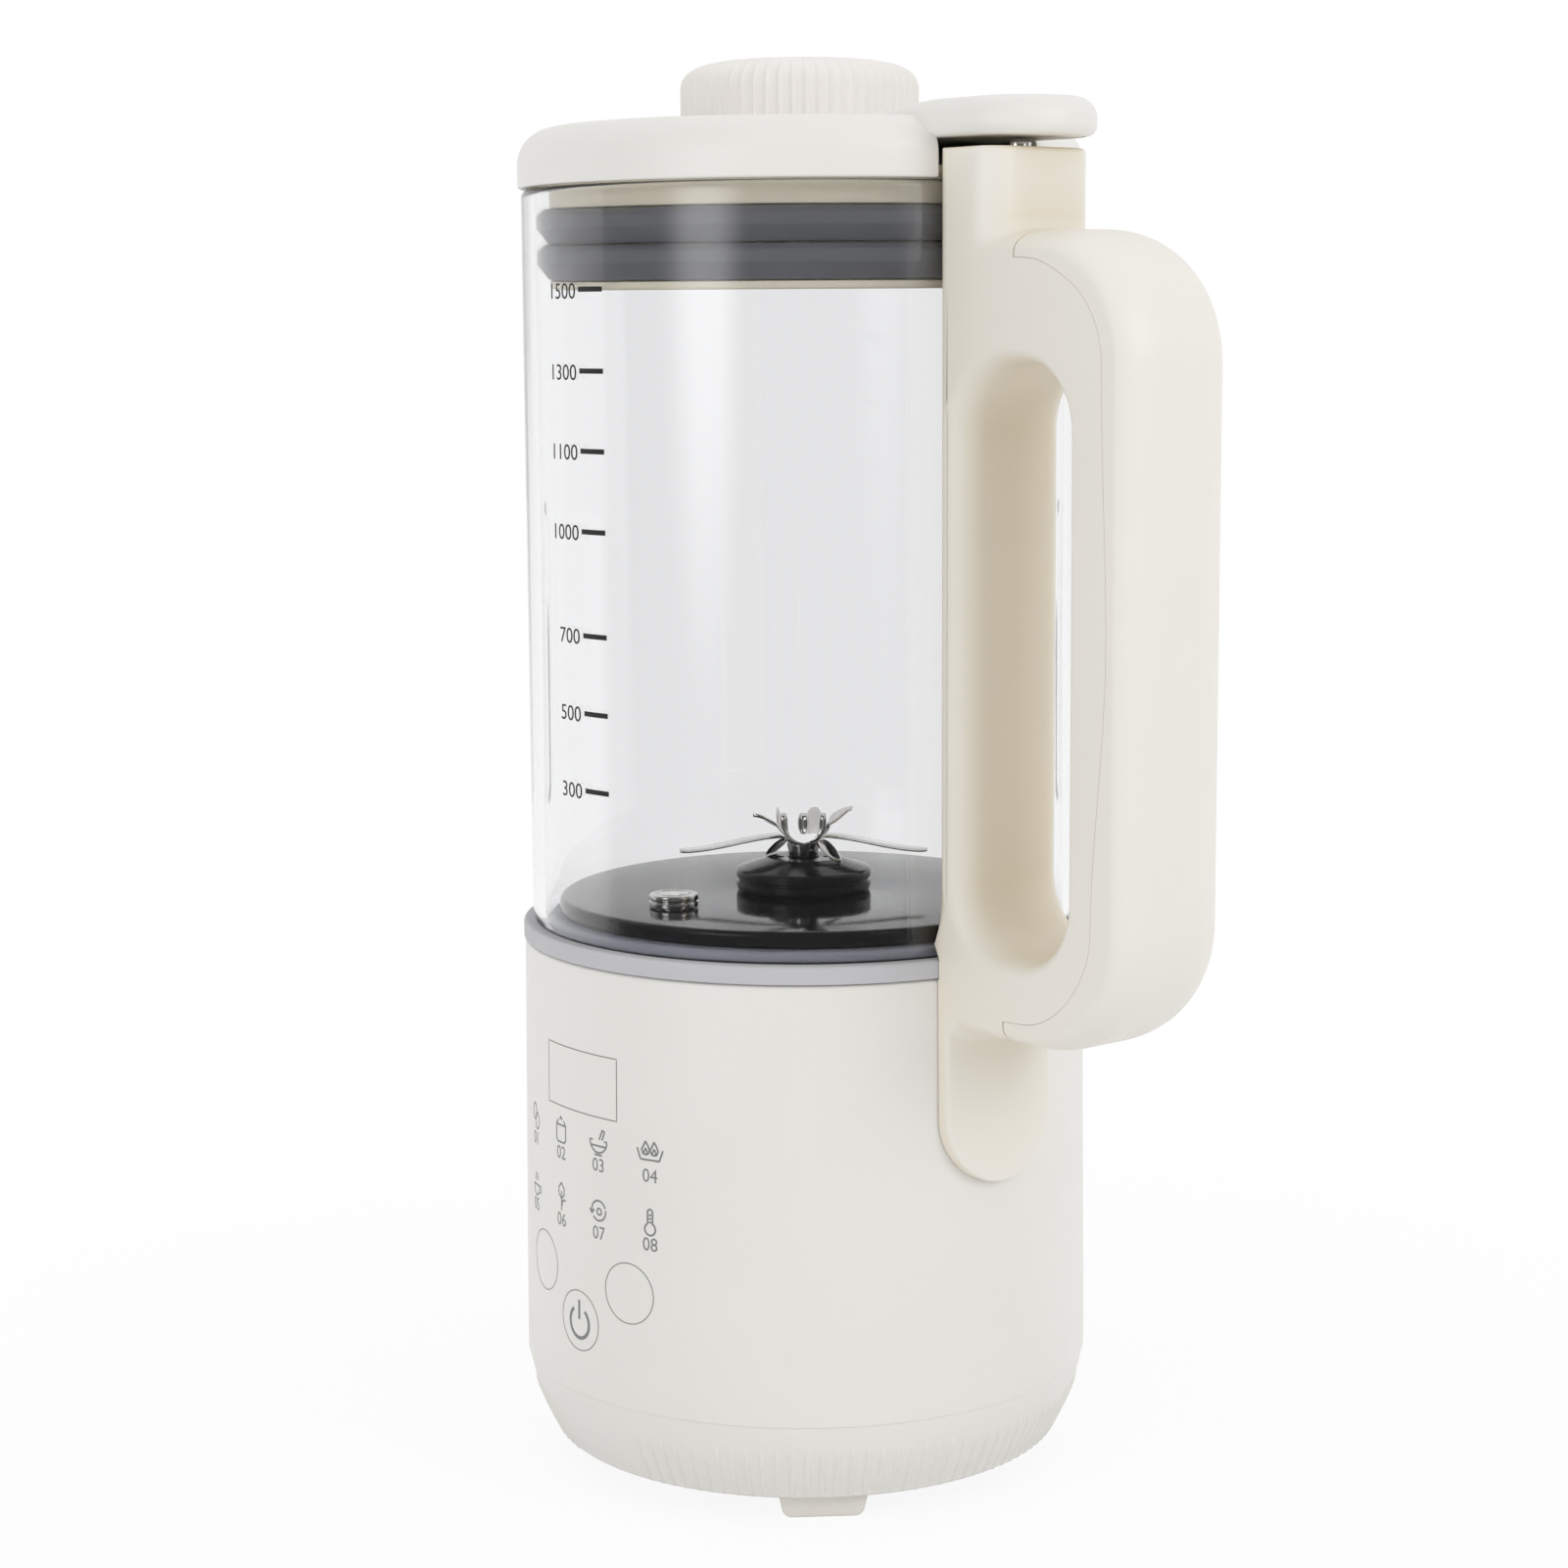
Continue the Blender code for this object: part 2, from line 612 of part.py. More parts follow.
def smooth_share(value, start, end):
    """A soft step from 0 to 1 between two values."""
    share = min(max((value - start) / (end - start), 0), 1)
    return share * share * (3 - 2 * share)


def shell_radius(height):
    """The base shell's outer radius at a height."""
    start = SHELL_BOTTOM + SHELL_STRAIGHT
    share = max(height - start, 0) / (SHELL_TOP - start)
    return SHELL_RADIUS + (SHELL_TOP_RADIUS - SHELL_RADIUS) * share


# Materials

def paint(name, colour, roughness, metallic=0.0):
    """A plain surface with a colour, a roughness and a metallic value."""
    surface = bpy.data.materials.get(name) or bpy.data.materials.new(name)
    surface.use_nodes = True
    shader = surface.node_tree.nodes["Principled BSDF"]
    shader.inputs["Base Color"].default_value = (*colour, 1.0)
    shader.inputs["Roughness"].default_value = roughness
    shader.inputs["Metallic"].default_value = metallic
    return surface


def white_plastic():
    return paint("white plastic", (0.83, 0.82, 0.78), 0.30)


def cream_plastic():
    return paint("cream plastic", (0.81, 0.77, 0.67), 0.38)


def black_plastic():
    return paint("black plastic", (0.02, 0.02, 0.022), 0.35)


def grey_silicone():
    return paint("grey silicone", (0.24, 0.25, 0.27), 0.55)


def pale_silicone():
    return paint("pale silicone", (0.45, 0.48, 0.52), 0.55)


def clear_glass():
    return paint("clear glass", (0.80, 0.84, 0.84), 0.05)


def black_enamel():
    return paint("black enamel", (0.015, 0.015, 0.018), 0.12)


def steel():
    return paint("steel", (0.60, 0.60, 0.60), 0.25, 1.0)


def iron():
    return paint("laminated iron", (0.30, 0.30, 0.31), 0.45, 1.0)


def copper():
    return paint("enamelled copper", (0.55, 0.25, 0.10), 0.35, 1.0)


def bronze():
    return paint("sintered bronze", (0.45, 0.32, 0.16), 0.45, 1.0)


def carbon():
    return paint("carbon", (0.05, 0.05, 0.05), 0.60)


def circuit_board():
    return paint("circuit board", (0.05, 0.22, 0.10), 0.50)


# Base: skirt, feet, shell and bottom screws

def base_skirt():
    bm = bmesh.new()
    outer = []
    inner = []
    for level, rib in zip(SKIRT_LEVEL_SHARES, SKIRT_RIB_SHARES):
        height = SKIRT_TOP - SKIRT_HEIGHT * level
        drop = (SKIRT_TOP_RADIUS - SKIRT_FOOT_RADIUS) * level ** SKIRT_CURVE_POWER
        radius = SKIRT_TOP_RADIUS - drop
        if level > 0:
            points = ribbed_loop(radius, height, SKIRT_RIB_HEIGHT * rib, SKIRT_RIB_COUNT,
                                 SKIRT_PLAIN_HALF_ANGLE)
        else:
            points = round_loop(radius, height, ROUND_STEPS, SKIRT_PLAIN_HALF_ANGLE)
        outer.append([bm.verts.new(point) for point in points])
        points = round_loop(radius - SKIRT_WALL, max(height, SKIRT_FLOOR_TOP), ROUND_STEPS,
                            SKIRT_PLAIN_HALF_ANGLE)
        inner.append([bm.verts.new(point) for point in points])
    strip_between(bm, outer[1], outer[0])
    wall_between(bm, outer[1], outer[2])
    for lower, upper in zip(inner, inner[1:]):
        wall_between(bm, lower, upper)
    wall_between(bm, outer[0], inner[0])
    bm.faces.new(outer[-1])
    bm.faces.new(inner[-1])
    skirt = finished("base_skirt", bm, white_plastic())
    cutters = []
    for index in range(VENT_COUNT):
        vent = block("vent", (VENT_INNER_RADIUS, VENT_INNER_RADIUS + VENT_LENGTH),
                     (-VENT_WIDTH / 2, VENT_WIDTH / 2),
                     (SKIRT_BOTTOM - OVERRUN, SKIRT_FLOOR_TOP + OVERRUN), white_plastic())
        cutters.append(turn_about_z(vent, 360 * (index + 0.5) / VENT_COUNT))
    for angle in BOTTOM_SCREW_ANGLES:
        hole = rod("screw hole", SCREW_RADIUS + GAP, SKIRT_BOTTOM - OVERRUN,
                   SKIRT_FLOOR_TOP + OVERRUN, SMALL_STEPS // 2, white_plastic())
        cutters.append(move(hole, *from_front(SCREW_POST_REACH, angle)))
    return combine(skirt, "DIFFERENCE", *cutters)


def foot(name, degrees):
    """A foot with a wider top, rounded at its lower corners."""
    half_top = FOOT_TOP_WIDTH / 2
    half_bottom = FOOT_BOTTOM_WIDTH / 2
    corner = half_bottom - FOOT_CORNER
    outline = [(-half_top, FOOT_HEIGHT - GAP)]
    outline += arc(-corner, FOOT_CORNER, FOOT_CORNER, 180, 270, 4)
    outline += arc(corner, FOOT_CORNER, FOOT_CORNER, 270, 360, 4)
    outline.append((half_top, FOOT_HEIGHT - GAP))
    piece = prism(name, outline, -FOOT_OUTER_REACH, FOOT_DEPTH - FOOT_OUTER_REACH,
                  cream_plastic(), "Y")
    return turn_about_z(piece, degrees)


def wall_block(name, reach, side, half_width, z_range):
    """A block that grows from the shell's wall inwards, along -Y before it is turned."""
    piece = block(name, (side - half_width, side + half_width), (-SHELL_RADIUS, -reach), z_range,
                  white_plastic())
    core = rod("wall core", WALL_CORE_RADIUS, z_range[0] - OVERRUN, z_range[1] + OVERRUN,
               ROUND_STEPS, white_plastic())
    return combine(piece, "INTERSECT", core)


def base_shell():
    inner_bottom = SHELL_RADIUS - SHELL_WALL
    straight_top = SHELL_BOTTOM + SHELL_STRAIGHT
    outline = [
        (SHELL_RADIUS, SHELL_BOTTOM),
        (SHELL_RADIUS, straight_top),
        (SHELL_TOP_RADIUS, SHELL_TOP - SHELL_EDGE),
        (SHELL_TOP_RADIUS - SHELL_EDGE, SHELL_TOP),
        (SHELF_INNER_RADIUS, SHELL_TOP),
        (SHELF_INNER_RADIUS, SHELF_BOTTOM),
        (SHELL_INNER_RADIUS, SHELF_BOTTOM),
        (inner_bottom, straight_top),
        (inner_bottom, SHELL_BOTTOM),
    ]
    shell = turned("base_shell", outline, ROUND_STEPS, white_plastic())
    additions = []
    ledge_top = CARRIER_BOTTOM - GAP
    ledge_reach = SHELL_INNER_RADIUS - LEDGE_DEPTH
    for turn in (90, 270):
        ledge = wall_block("ledge", ledge_reach, 0, CARRIER_WIDTH / 2,
                           (ledge_top - LEDGE_HEIGHT, ledge_top))
        additions.append(turn_about_z(ledge, turn))
    panel_start = SHELL_BOTTOM + PANEL_BOARD_START
    power_start = SHELL_BOTTOM + POWER_BOARD_START
    rails = (
        (0, PANEL_BOARD_REACH + GAP, PANEL_BOARD_WIDTH, panel_start, PANEL_BOARD_HEIGHT),
        (180, POWER_BOARD_REACH + BOARD_THICKNESS + GAP, POWER_BOARD_WIDTH, power_start,
         POWER_BOARD_HEIGHT),
    )
    for turn, reach, width, start, height in rails:
        for side in (-1, 1):
            place = side * (width / 2 - RAIL_INSET)
            rail = wall_block("rail", reach, place, RAIL_WIDTH / 2, (start, start + height))
            additions.append(turn_about_z(rail, turn))
    post_bottom = SKIRT_FLOOR_TOP + GAP
    post_top = post_bottom + SCREW_POST_HEIGHT
    cutters = []
    for angle in BOTTOM_SCREW_ANGLES:
        place = from_front(SCREW_POST_REACH, angle)
        post = rod("screw post", SCREW_POST_RADIUS, post_bottom, post_top, SMALL_STEPS,
                   white_plastic())
        web = wall_block("web", SCREW_POST_REACH, 0, SCREW_POST_WEB / 2,
                         (post_top - SCREW_POST_WEB_HEIGHT, post_top - GAP))
        additions += [move(post, *place), turn_about_z(web, angle)]
        pilot = rod("pilot hole", SCREW_RADIUS + GAP, post_bottom - OVERRUN,
                    post_bottom + BOTTOM_SCREW_LENGTH, SMALL_STEPS // 2, white_plastic())
        cutters.append(move(pilot, *place))
    combine(shell, "UNION", *additions)
    for drop in HANDLE_SCREW_DROPS:
        hole = rod("screw hole", SCREW_RADIUS + GAP, SCREW_POST_REACH, HANDLE_REACH,
                   SMALL_STEPS // 2, white_plastic())
        cutters.append(move(lay_along_x(hole), 0, 0, SHELL_TOP - drop))
    mouth = prism("inlet mouth", inlet_outline(GAP), POWER_BOARD_REACH, SHELL_RADIUS + OVERRUN,
                  white_plastic(), "Y")
    cutters.append(mouth)
    return combine(shell, "DIFFERENCE", *cutters)


def bottom_screw(number, degrees):
    head_top = SKIRT_BOTTOM - GAP
    head_bottom = head_top - SCREW_HEAD_HEIGHT
    outline = [
        (0, head_bottom),
        (SCREW_HEAD_RADIUS, head_bottom),
        (SCREW_HEAD_RADIUS, head_top),
        (SCREW_RADIUS, head_top),
        (SCREW_RADIUS, head_top + BOTTOM_SCREW_LENGTH),
        (0, head_top + BOTTOM_SCREW_LENGTH),
    ]
    screw = turned(f"bottom_screw_{number}", outline, SMALL_STEPS // 2, steel())
    return move(screw, *from_front(SCREW_POST_REACH, degrees))


# Glass jug and its seat

def seat_ring():
    heel_across = GLASS_RADIUS - GLASS_HEEL
    heel_up = GLASS_BOTTOM + GLASS_HEEL
    flange_top = SEAT_BOTTOM + SEAT_FLOOR
    inner = SHELF_INNER_RADIUS + GAP
    lean = math.degrees(math.acos((inner - heel_across) / (GLASS_HEEL + GAP)))
    reach = math.degrees(math.asin((heel_up - SEAT_TOP) / (GLASS_HEEL + GAP)))
    outline = [(inner, SEAT_BOTTOM), (SEAT_RADIUS, SEAT_BOTTOM)]
    outline += arc(SEAT_RADIUS - SEAT_EDGE, SEAT_TOP - SEAT_EDGE, SEAT_EDGE, 0, 90, 1)
    outline += arc(heel_across, heel_up, GLASS_HEEL + GAP, -reach, -lean, 2)
    outline.append((inner, min(flange_top, outline[-1][1])))
    return turned("seat_ring", outline, ROUND_STEPS, pale_silicone())


def glass_rib(degrees):
    """A moulded rib on the inside of the glass, rounded off at both of its ends."""
    start = GLASS_BOTTOM + GLASS_RIB_START
    half = GLASS_RIB_WIDTH / 2
    root = GLASS_INNER_RADIUS + GLASS_WALL / 2
    rings = []
    for share, size in GLASS_RIB_SHARES:
        height = start + GLASS_RIB_LENGTH * share
        crest = [(half * size * math.cos(math.radians(angle)),
                  GLASS_INNER_RADIUS - GLASS_RIB_DEPTH * size * math.sin(math.radians(angle)))
                 for angle in (0, 45, 90, 135, 180)]
        points = [(half * size, root)] + crest + [(-half * size, root)]
        rings.append([(across, -reach, height) for across, reach in points])
    return turn_about_z(skinned("glass rib", rings, clear_glass()), degrees)


def glass_jug():
    rim = GLASS_WALL / 2
    outline = [(GLASS_MOUTH_RADIUS, GLASS_BOTTOM)]
    outline += arc(GLASS_RADIUS - GLASS_HEEL, GLASS_BOTTOM + GLASS_HEEL, GLASS_HEEL, -90, 0, 4)
    outline += arc(GLASS_RADIUS - rim, GLASS_TOP - rim, rim, 0, 180, 3)
    outline += arc(GLASS_INNER_RADIUS - GLASS_FLOOR_FILLET, GLASS_FLOOR_TOP + GLASS_FLOOR_FILLET,
                   GLASS_FLOOR_FILLET, 0, -90, 1)
    outline.append((GLASS_MOUTH_RADIUS, GLASS_FLOOR_TOP))
    jug = turned("glass_jug", outline, ROUND_STEPS, clear_glass())
    return combine(jug, "UNION", *[glass_rib(angle) for angle in GLASS_RIB_ANGLES])


# Heated floor

def plate_gasket():
    return ring("plate_gasket", GLASS_MOUTH_RADIUS, GASKET_RADIUS, GASKET_BOTTOM,
                GASKET_BOTTOM + GASKET_THICKNESS, ROUND_STEPS, grey_silicone())


def heating_plate():
    neck_inner = PLATE_NECK_RADIUS - PLATE_NECK_WALL
    neck_bottom = PLATE_BOTTOM - PLATE_NECK_LENGTH
    outline = [
        (PLATE_BORE_RADIUS, PLATE_BOTTOM),
        (neck_inner, PLATE_BOTTOM),
        (neck_inner, neck_bottom),
        (PLATE_NECK_RADIUS, neck_bottom),
        (PLATE_NECK_RADIUS, PLATE_BOTTOM),
        (PLATE_RADIUS, PLATE_BOTTOM),
        (PLATE_RADIUS, PLATE_TOP - PLATE_EDGE),
        (PLATE_RADIUS - PLATE_EDGE, PLATE_TOP),
        (PLATE_BORE_RADIUS, PLATE_TOP),
    ]
    plate = turned("heating_plate", outline, ROUND_STEPS, black_enamel())
    hole = rod("sensor hole", SENSOR_STEM_RADIUS + GAP, PLATE_BOTTOM - OVERRUN,
               PLATE_TOP + OVERRUN, SMALL_STEPS, black_enamel())
    return combine(plate, "DIFFERENCE", move(hole, 0, -SENSOR_REACH))


def plate_clamp():
    return ring("plate_clamp", PLATE_NECK_RADIUS + GAP, CLAMP_RADIUS,
                GLASS_BOTTOM - GAP - CLAMP_THICKNESS, GLASS_BOTTOM - GAP, ROUND_STEPS, steel())


def heating_element():
    """An open ring of tube under the plate, with its two ends to the rear."""
    centre_up = PLATE_BOTTOM - GAP - ELEMENT_TUBE_RADIUS
    rings = []
    for step in range(SMALL_STEPS + 1):
        sweep = 360 - ELEMENT_OPEN_ANGLE
        angle = -sweep / 2 + sweep * step / SMALL_STEPS
        points = []
        for across, up in arc(ELEMENT_PATH_RADIUS, centre_up, ELEMENT_TUBE_RADIUS, 0, 300, 5):
            points.append((*from_front(across, angle), up))
        rings.append(points)
    return skinned("heating_element", rings, steel())


def thermal_fuse():
    top = PLATE_BOTTOM - GAP
    return move(rod("thermal_fuse", FUSE_RADIUS, top - FUSE_HEIGHT, top, SMALL_STEPS, steel()),
                0, FUSE_REACH)


def temperature_sensor():
    low = PLATE_TOP + GAP
    top = PLATE_TOP + SENSOR_RISE
    groove = SENSOR_RADIUS - SENSOR_RIM
    outline = [
        (0, low - SENSOR_STEM_LENGTH),
        (SENSOR_STEM_RADIUS, low - SENSOR_STEM_LENGTH),
        (SENSOR_STEM_RADIUS, low),
        (SENSOR_RADIUS, low),
        (SENSOR_RADIUS, top - SENSOR_GROOVE),
        (SENSOR_RADIUS - SENSOR_GROOVE, top),
        (groove, top),
        (groove - SENSOR_GROOVE, top - SENSOR_GROOVE),
        (groove - SENSOR_RIM, top - SENSOR_GROOVE),
        (groove - SENSOR_RIM - SENSOR_GROOVE, top),
        (0, top),
    ]
    return move(turned("temperature_sensor", outline, SMALL_STEPS, steel()), 0, -SENSOR_REACH)


# Bearing and shaft

def bearing_nut():
    middle = NUT_BOTTOM + NUT_CYLINDER_HEIGHT / 2
    cylinder_top = NUT_BOTTOM + NUT_CYLINDER_HEIGHT
    lip = COLLAR_RADIUS + RUNNING_GAP
    outline = [
        (NUT_BORE_RADIUS, STEM_BOTTOM),
        (NUT_STEM_RADIUS, STEM_BOTTOM),
        (NUT_STEM_RADIUS, NUT_BOTTOM),
        (NUT_RADIUS, NUT_BOTTOM),
        (NUT_RADIUS, middle - NUT_WAIST_HALF_WIDTH),
        (NUT_RADIUS - NUT_WAIST_DEPTH, middle),
        (NUT_RADIUS, middle + NUT_WAIST_HALF_WIDTH),
        (NUT_RADIUS, cylinder_top),
        (NUT_TOP_RADIUS, NUT_TOP),
        (lip, NUT_TOP),
        (lip, NUT_TOP - NUT_LIP),
        (NUT_BORE_RADIUS, NUT_TOP - NUT_LIP),
    ]
    nut = turned("bearing_nut", outline, MEDIUM_STEPS, black_plastic())
    holes = []
    for side in (-1, 1):
        hole = rod("spanner hole", NUT_SPANNER_HOLE_RADIUS, NUT_TOP - NUT_SPANNER_HOLE_DEPTH,
                   NUT_TOP + OVERRUN, SMALL_STEPS // 2, black_plastic())
        move(hole, side * NUT_SPANNER_REACH)
        holes.append(turn_about_z(hole, LONG_BLADE_TURN))
    return combine(nut, "DIFFERENCE", *holes)


def shaft_seal():
    top = NUT_TOP - NUT_LIP - GAP
    return ring("shaft_seal", SHAFT_RADIUS + RUNNING_GAP, NUT_BORE_RADIUS - GAP,
                top - SEAL_HEIGHT, top, SMALL_STEPS, grey_silicone())


def shaft_bush():
    top = NUT_TOP - NUT_LIP - GAP - SEAL_HEIGHT - GAP
    return ring("shaft_bush", SHAFT_RADIUS + RUNNING_GAP, NUT_BORE_RADIUS - GAP,
                top - BUSH_HEIGHT, top, SMALL_STEPS, bronze())


def blade_level(place):
    """The underside of the blade at a place in the stack on the shaft."""
    return COLLAR_TOP + BLADE_SPACING + (BLADE_THICKNESS + BLADE_SPACING) * place


def blade_shaft():
    shoulder = NUT_TOP - NUT_LIP - GAP
    outline = [
        (0, SKIRT_FLOOR_TOP + SHAFT_END_CLEARANCE),
        (SHAFT_RADIUS, SKIRT_FLOOR_TOP + SHAFT_END_CLEARANCE),
        (SHAFT_RADIUS, shoulder),
        (COLLAR_RADIUS, shoulder),
        (COLLAR_RADIUS, NUT_TOP),
        (COLLAR_TOP_RADIUS, COLLAR_TOP),
        (SPINDLE_RADIUS, COLLAR_TOP),
        (SPINDLE_RADIUS, blade_level(4) + LOCK_NUT_HEIGHT),
        (0, blade_level(4) + LOCK_NUT_HEIGHT),
    ]
    return turned("blade_shaft", outline, SMALL_STEPS, steel())


def blade(name, place, reach, width, rise, degrees):
    """A thin blade with two arms that sweep up or down from its flat hub to a pointed tip."""
    low = blade_level(place)
    flat = COLLAR_TOP_RADIUS + GAP
    stations = [(-flat - (reach - flat) * share, size)
                for share, size in zip(BLADE_ARM_SHARES, BLADE_WIDTH_SHARES)]
    stations += [(-across, size) for across, size in reversed(stations)]
    rings = []
    for across, size in stations:
        half = (width * size if size > 0 else BLADE_HUB_WIDTH) / 2
        lift = rise * smooth_share(abs(across), flat, reach)
        rings.append([
            (across, -half, low + lift),
            (across, half, low + lift),
            (across, half, low + lift + BLADE_THICKNESS),
            (across, -half, low + lift + BLADE_THICKNESS),
        ])
    piece = skinned(name, rings, steel())
    hole = rod("blade hole", SPINDLE_RADIUS + GAP, low - OVERRUN, low + OVERRUN,
               SMALL_STEPS // 2, steel())
    return turn_about_z(combine(piece, "DIFFERENCE", hole), degrees)


def blade_lock_nut():
    low = blade_level(4)
    nut = rod("blade_lock_nut", LOCK_NUT_RADIUS, low, low + LOCK_NUT_HEIGHT, 6, steel())
    hole = rod("nut hole", SPINDLE_RADIUS + GAP, low - OVERRUN, low + OVERRUN, SMALL_STEPS // 2,
               steel())
    return combine(nut, "DIFFERENCE", hole)


# Motor

def bore(low, high):
    """A cutter for a running hole round the shaft."""
    return rod("bore", SHAFT_RADIUS + RUNNING_GAP, low - OVERRUN, high + OVERRUN, SMALL_STEPS,
               steel())


def cooling_fan():
    low = FAN_BOTTOM
    outline = []
    for index in range(FAN_BLADE_COUNT):
        middle = math.tau * index / FAN_BLADE_COUNT
        half_tip = FAN_BLADE_WIDTH / 2 / FAN_RADIUS
        half_root = FAN_BLADE_WIDTH / 2 / FAN_HUB_RADIUS
        for radius, offset in ((FAN_HUB_RADIUS, -half_root), (FAN_RADIUS, -half_tip),
                               (FAN_RADIUS, half_tip), (FAN_HUB_RADIUS, half_root)):
            outline.append((radius * math.cos(middle + offset), radius * math.sin(middle + offset)))
    fan = prism("cooling_fan", outline, low + FAN_DISC / 2, low + FAN_HEIGHT, black_plastic())
    disc = rod("fan disc", FAN_RADIUS - FAN_DISC, low, low + FAN_DISC, MEDIUM_STEPS,
               black_plastic())
    combine(fan, "UNION", disc)
    hub_hole = rod("hub hole", SHAFT_RADIUS + GAP, low - OVERRUN, low + FAN_HEIGHT + OVERRUN,
                   SMALL_STEPS, black_plastic())
    return combine(fan, "DIFFERENCE", hub_hole)


def bracket_leg(side, low, high):
    """An upright at one end of a motor bracket."""
    outer = STATOR_WIDTH / 2
    places = sorted((side * outer, side * BRACKET_INNER_REACH))
    return block("leg", places, (-BRACKET_WIDTH / 2, BRACKET_WIDTH / 2), (low, high), steel())


def lower_motor_bracket():
    low = LOWER_BRACKET_BOTTOM
    top = LOWER_BRACKET_TOP
    bar = block("lower_motor_bracket", (-STATOR_WIDTH / 2, STATOR_WIDTH / 2),
                (-BRACKET_WIDTH / 2, BRACKET_WIDTH / 2), (low, top), steel())
    parts = []
    pad_start = COMMUTATOR_RADIUS + GAP + BRUSH_LENGTH / 4
    pad_end = COMMUTATOR_RADIUS + GAP + BRUSH_LENGTH
    for side in (-1, 1):
        parts.append(bracket_leg(side, top - BRACKET_THICKNESS / 2, STATOR_BOTTOM - GAP))
        places = sorted((side * pad_start, side * pad_end))
        parts.append(block("brush pad", places, (-BRUSH_WIDTH / 2, BRUSH_WIDTH / 2),
                           (top - BRACKET_THICKNESS / 2, BRUSH_BOTTOM - GAP), steel()))
    combine(bar, "UNION", *parts)
    return combine(bar, "DIFFERENCE", bore(low, top))


def motor_carrier():
    """The upper bracket, whose long bar rests on two ledges in the shell."""
    low = CARRIER_BOTTOM
    top = CARRIER_TOP
    reach = SHELL_INNER_RADIUS - CARRIER_END_INSET
    bar = block("upper_motor_bracket", (-reach, reach), (-CARRIER_WIDTH / 2, CARRIER_WIDTH / 2),
                (low, top), steel())
    legs = [bracket_leg(side, STATOR_TOP + GAP, low + CARRIER_THICKNESS / 2) for side in (-1, 1)]
    combine(bar, "UNION", *legs)
    return combine(bar, "DIFFERENCE", bore(low, top))


def motor_stator():
    half = STATOR_WIDTH / 2
    inset = half - STATOR_CORNER
    outline = [(inset, -half), (half, -inset), (half, inset), (inset, half), (-inset, half),
               (-half, inset), (-half, -inset), (-inset, -half)]
    stator = prism("motor_stator", outline, STATOR_BOTTOM, STATOR_TOP, iron())
    tunnel = rod("tunnel", ROTOR_RADIUS + ROTOR_AIR_GAP, STATOR_BOTTOM - OVERRUN,
                 STATOR_TOP + OVERRUN, MEDIUM_STEPS, iron())
    return combine(stator, "DIFFERENCE", tunnel)


def field_coil(name, low):
    inner = ROTOR_RADIUS + ROTOR_AIR_GAP
    return ring(name, inner, inner + COIL_WALL, low, low + COIL_HEIGHT, MEDIUM_STEPS, copper())


def motor_rotor():
    inner = SHAFT_RADIUS + GAP
    outline = [
        (inner, STATOR_BOTTOM - ROTOR_WINDING_HEIGHT),
        (ROTOR_WINDING_RADIUS, STATOR_BOTTOM - ROTOR_WINDING_HEIGHT),
        (ROTOR_WINDING_RADIUS, STATOR_BOTTOM),
        (ROTOR_RADIUS, STATOR_BOTTOM),
        (ROTOR_RADIUS, STATOR_TOP),
        (ROTOR_WINDING_RADIUS, STATOR_TOP),
        (ROTOR_WINDING_RADIUS, STATOR_TOP + ROTOR_WINDING_HEIGHT),
        (inner, STATOR_TOP + ROTOR_WINDING_HEIGHT),
    ]
    return turned("motor_rotor", outline, MEDIUM_STEPS, iron())


def commutator():
    return ring("commutator", SHAFT_RADIUS + GAP, COMMUTATOR_RADIUS, COMMUTATOR_BOTTOM,
                COMMUTATOR_TOP, SMALL_STEPS, copper())


def carbon_brush(name, side):
    start = COMMUTATOR_RADIUS + GAP
    places = sorted((side * start, side * (start + BRUSH_LENGTH)))
    return block(name, places, (-BRUSH_WIDTH / 2, BRUSH_WIDTH / 2),
                 (BRUSH_BOTTOM, BRUSH_BOTTOM + BRUSH_HEIGHT), carbon())


# Electronics and mains inlet

def panel_board():
    start = SHELL_BOTTOM + PANEL_BOARD_START
    return block("panel_board", (-PANEL_BOARD_WIDTH / 2, PANEL_BOARD_WIDTH / 2),
                 (-PANEL_BOARD_REACH, BOARD_THICKNESS - PANEL_BOARD_REACH),
                 (start, start + PANEL_BOARD_HEIGHT), circuit_board())


def display():
    top = SHELL_TOP - DISPLAY_DROP
    back = -PANEL_BOARD_REACH - GAP
    return block("display", (-DISPLAY_WIDTH / 2, DISPLAY_WIDTH / 2),
                 (back - DISPLAY_DEPTH, back), (top - DISPLAY_HEIGHT, top), black_plastic())


def power_board():
    start = SHELL_BOTTOM + POWER_BOARD_START
    face = POWER_BOARD_REACH
    board = block("power_board", (-POWER_BOARD_WIDTH / 2, POWER_BOARD_WIDTH / 2),
                  (face, face + BOARD_THICKNESS), (start, start + POWER_BOARD_HEIGHT),
                  circuit_board())
    back = face + BOARD_THICKNESS / 2
    base = start + RAIL_INSET
    transformer = block("transformer", (RAIL_INSET, RAIL_INSET + TRANSFORMER_WIDTH),
                        (face - TRANSFORMER_DEPTH, back), (base, base + TRANSFORMER_HEIGHT),
                        circuit_board())
    relay = block("relay", (-RAIL_INSET - RELAY_WIDTH, -RAIL_INSET),
                  (face - RELAY_DEPTH, back), (base, base + RELAY_HEIGHT), circuit_board())
    return combine(board, "UNION", transformer, relay)


def inlet_outline(margin):
    """A socket's outline: a rectangle with its two lower corners cut off."""
    half = INLET_WIDTH / 2 + margin
    low = SHELL_BOTTOM + INLET_RISE - margin
    top = SHELL_BOTTOM + INLET_RISE + INLET_HEIGHT + margin
    return [(-half, low + INLET_CORNER), (-half + INLET_CORNER, low), (half - INLET_CORNER, low),
            (half, low + INLET_CORNER), (half, top), (-half, top)]


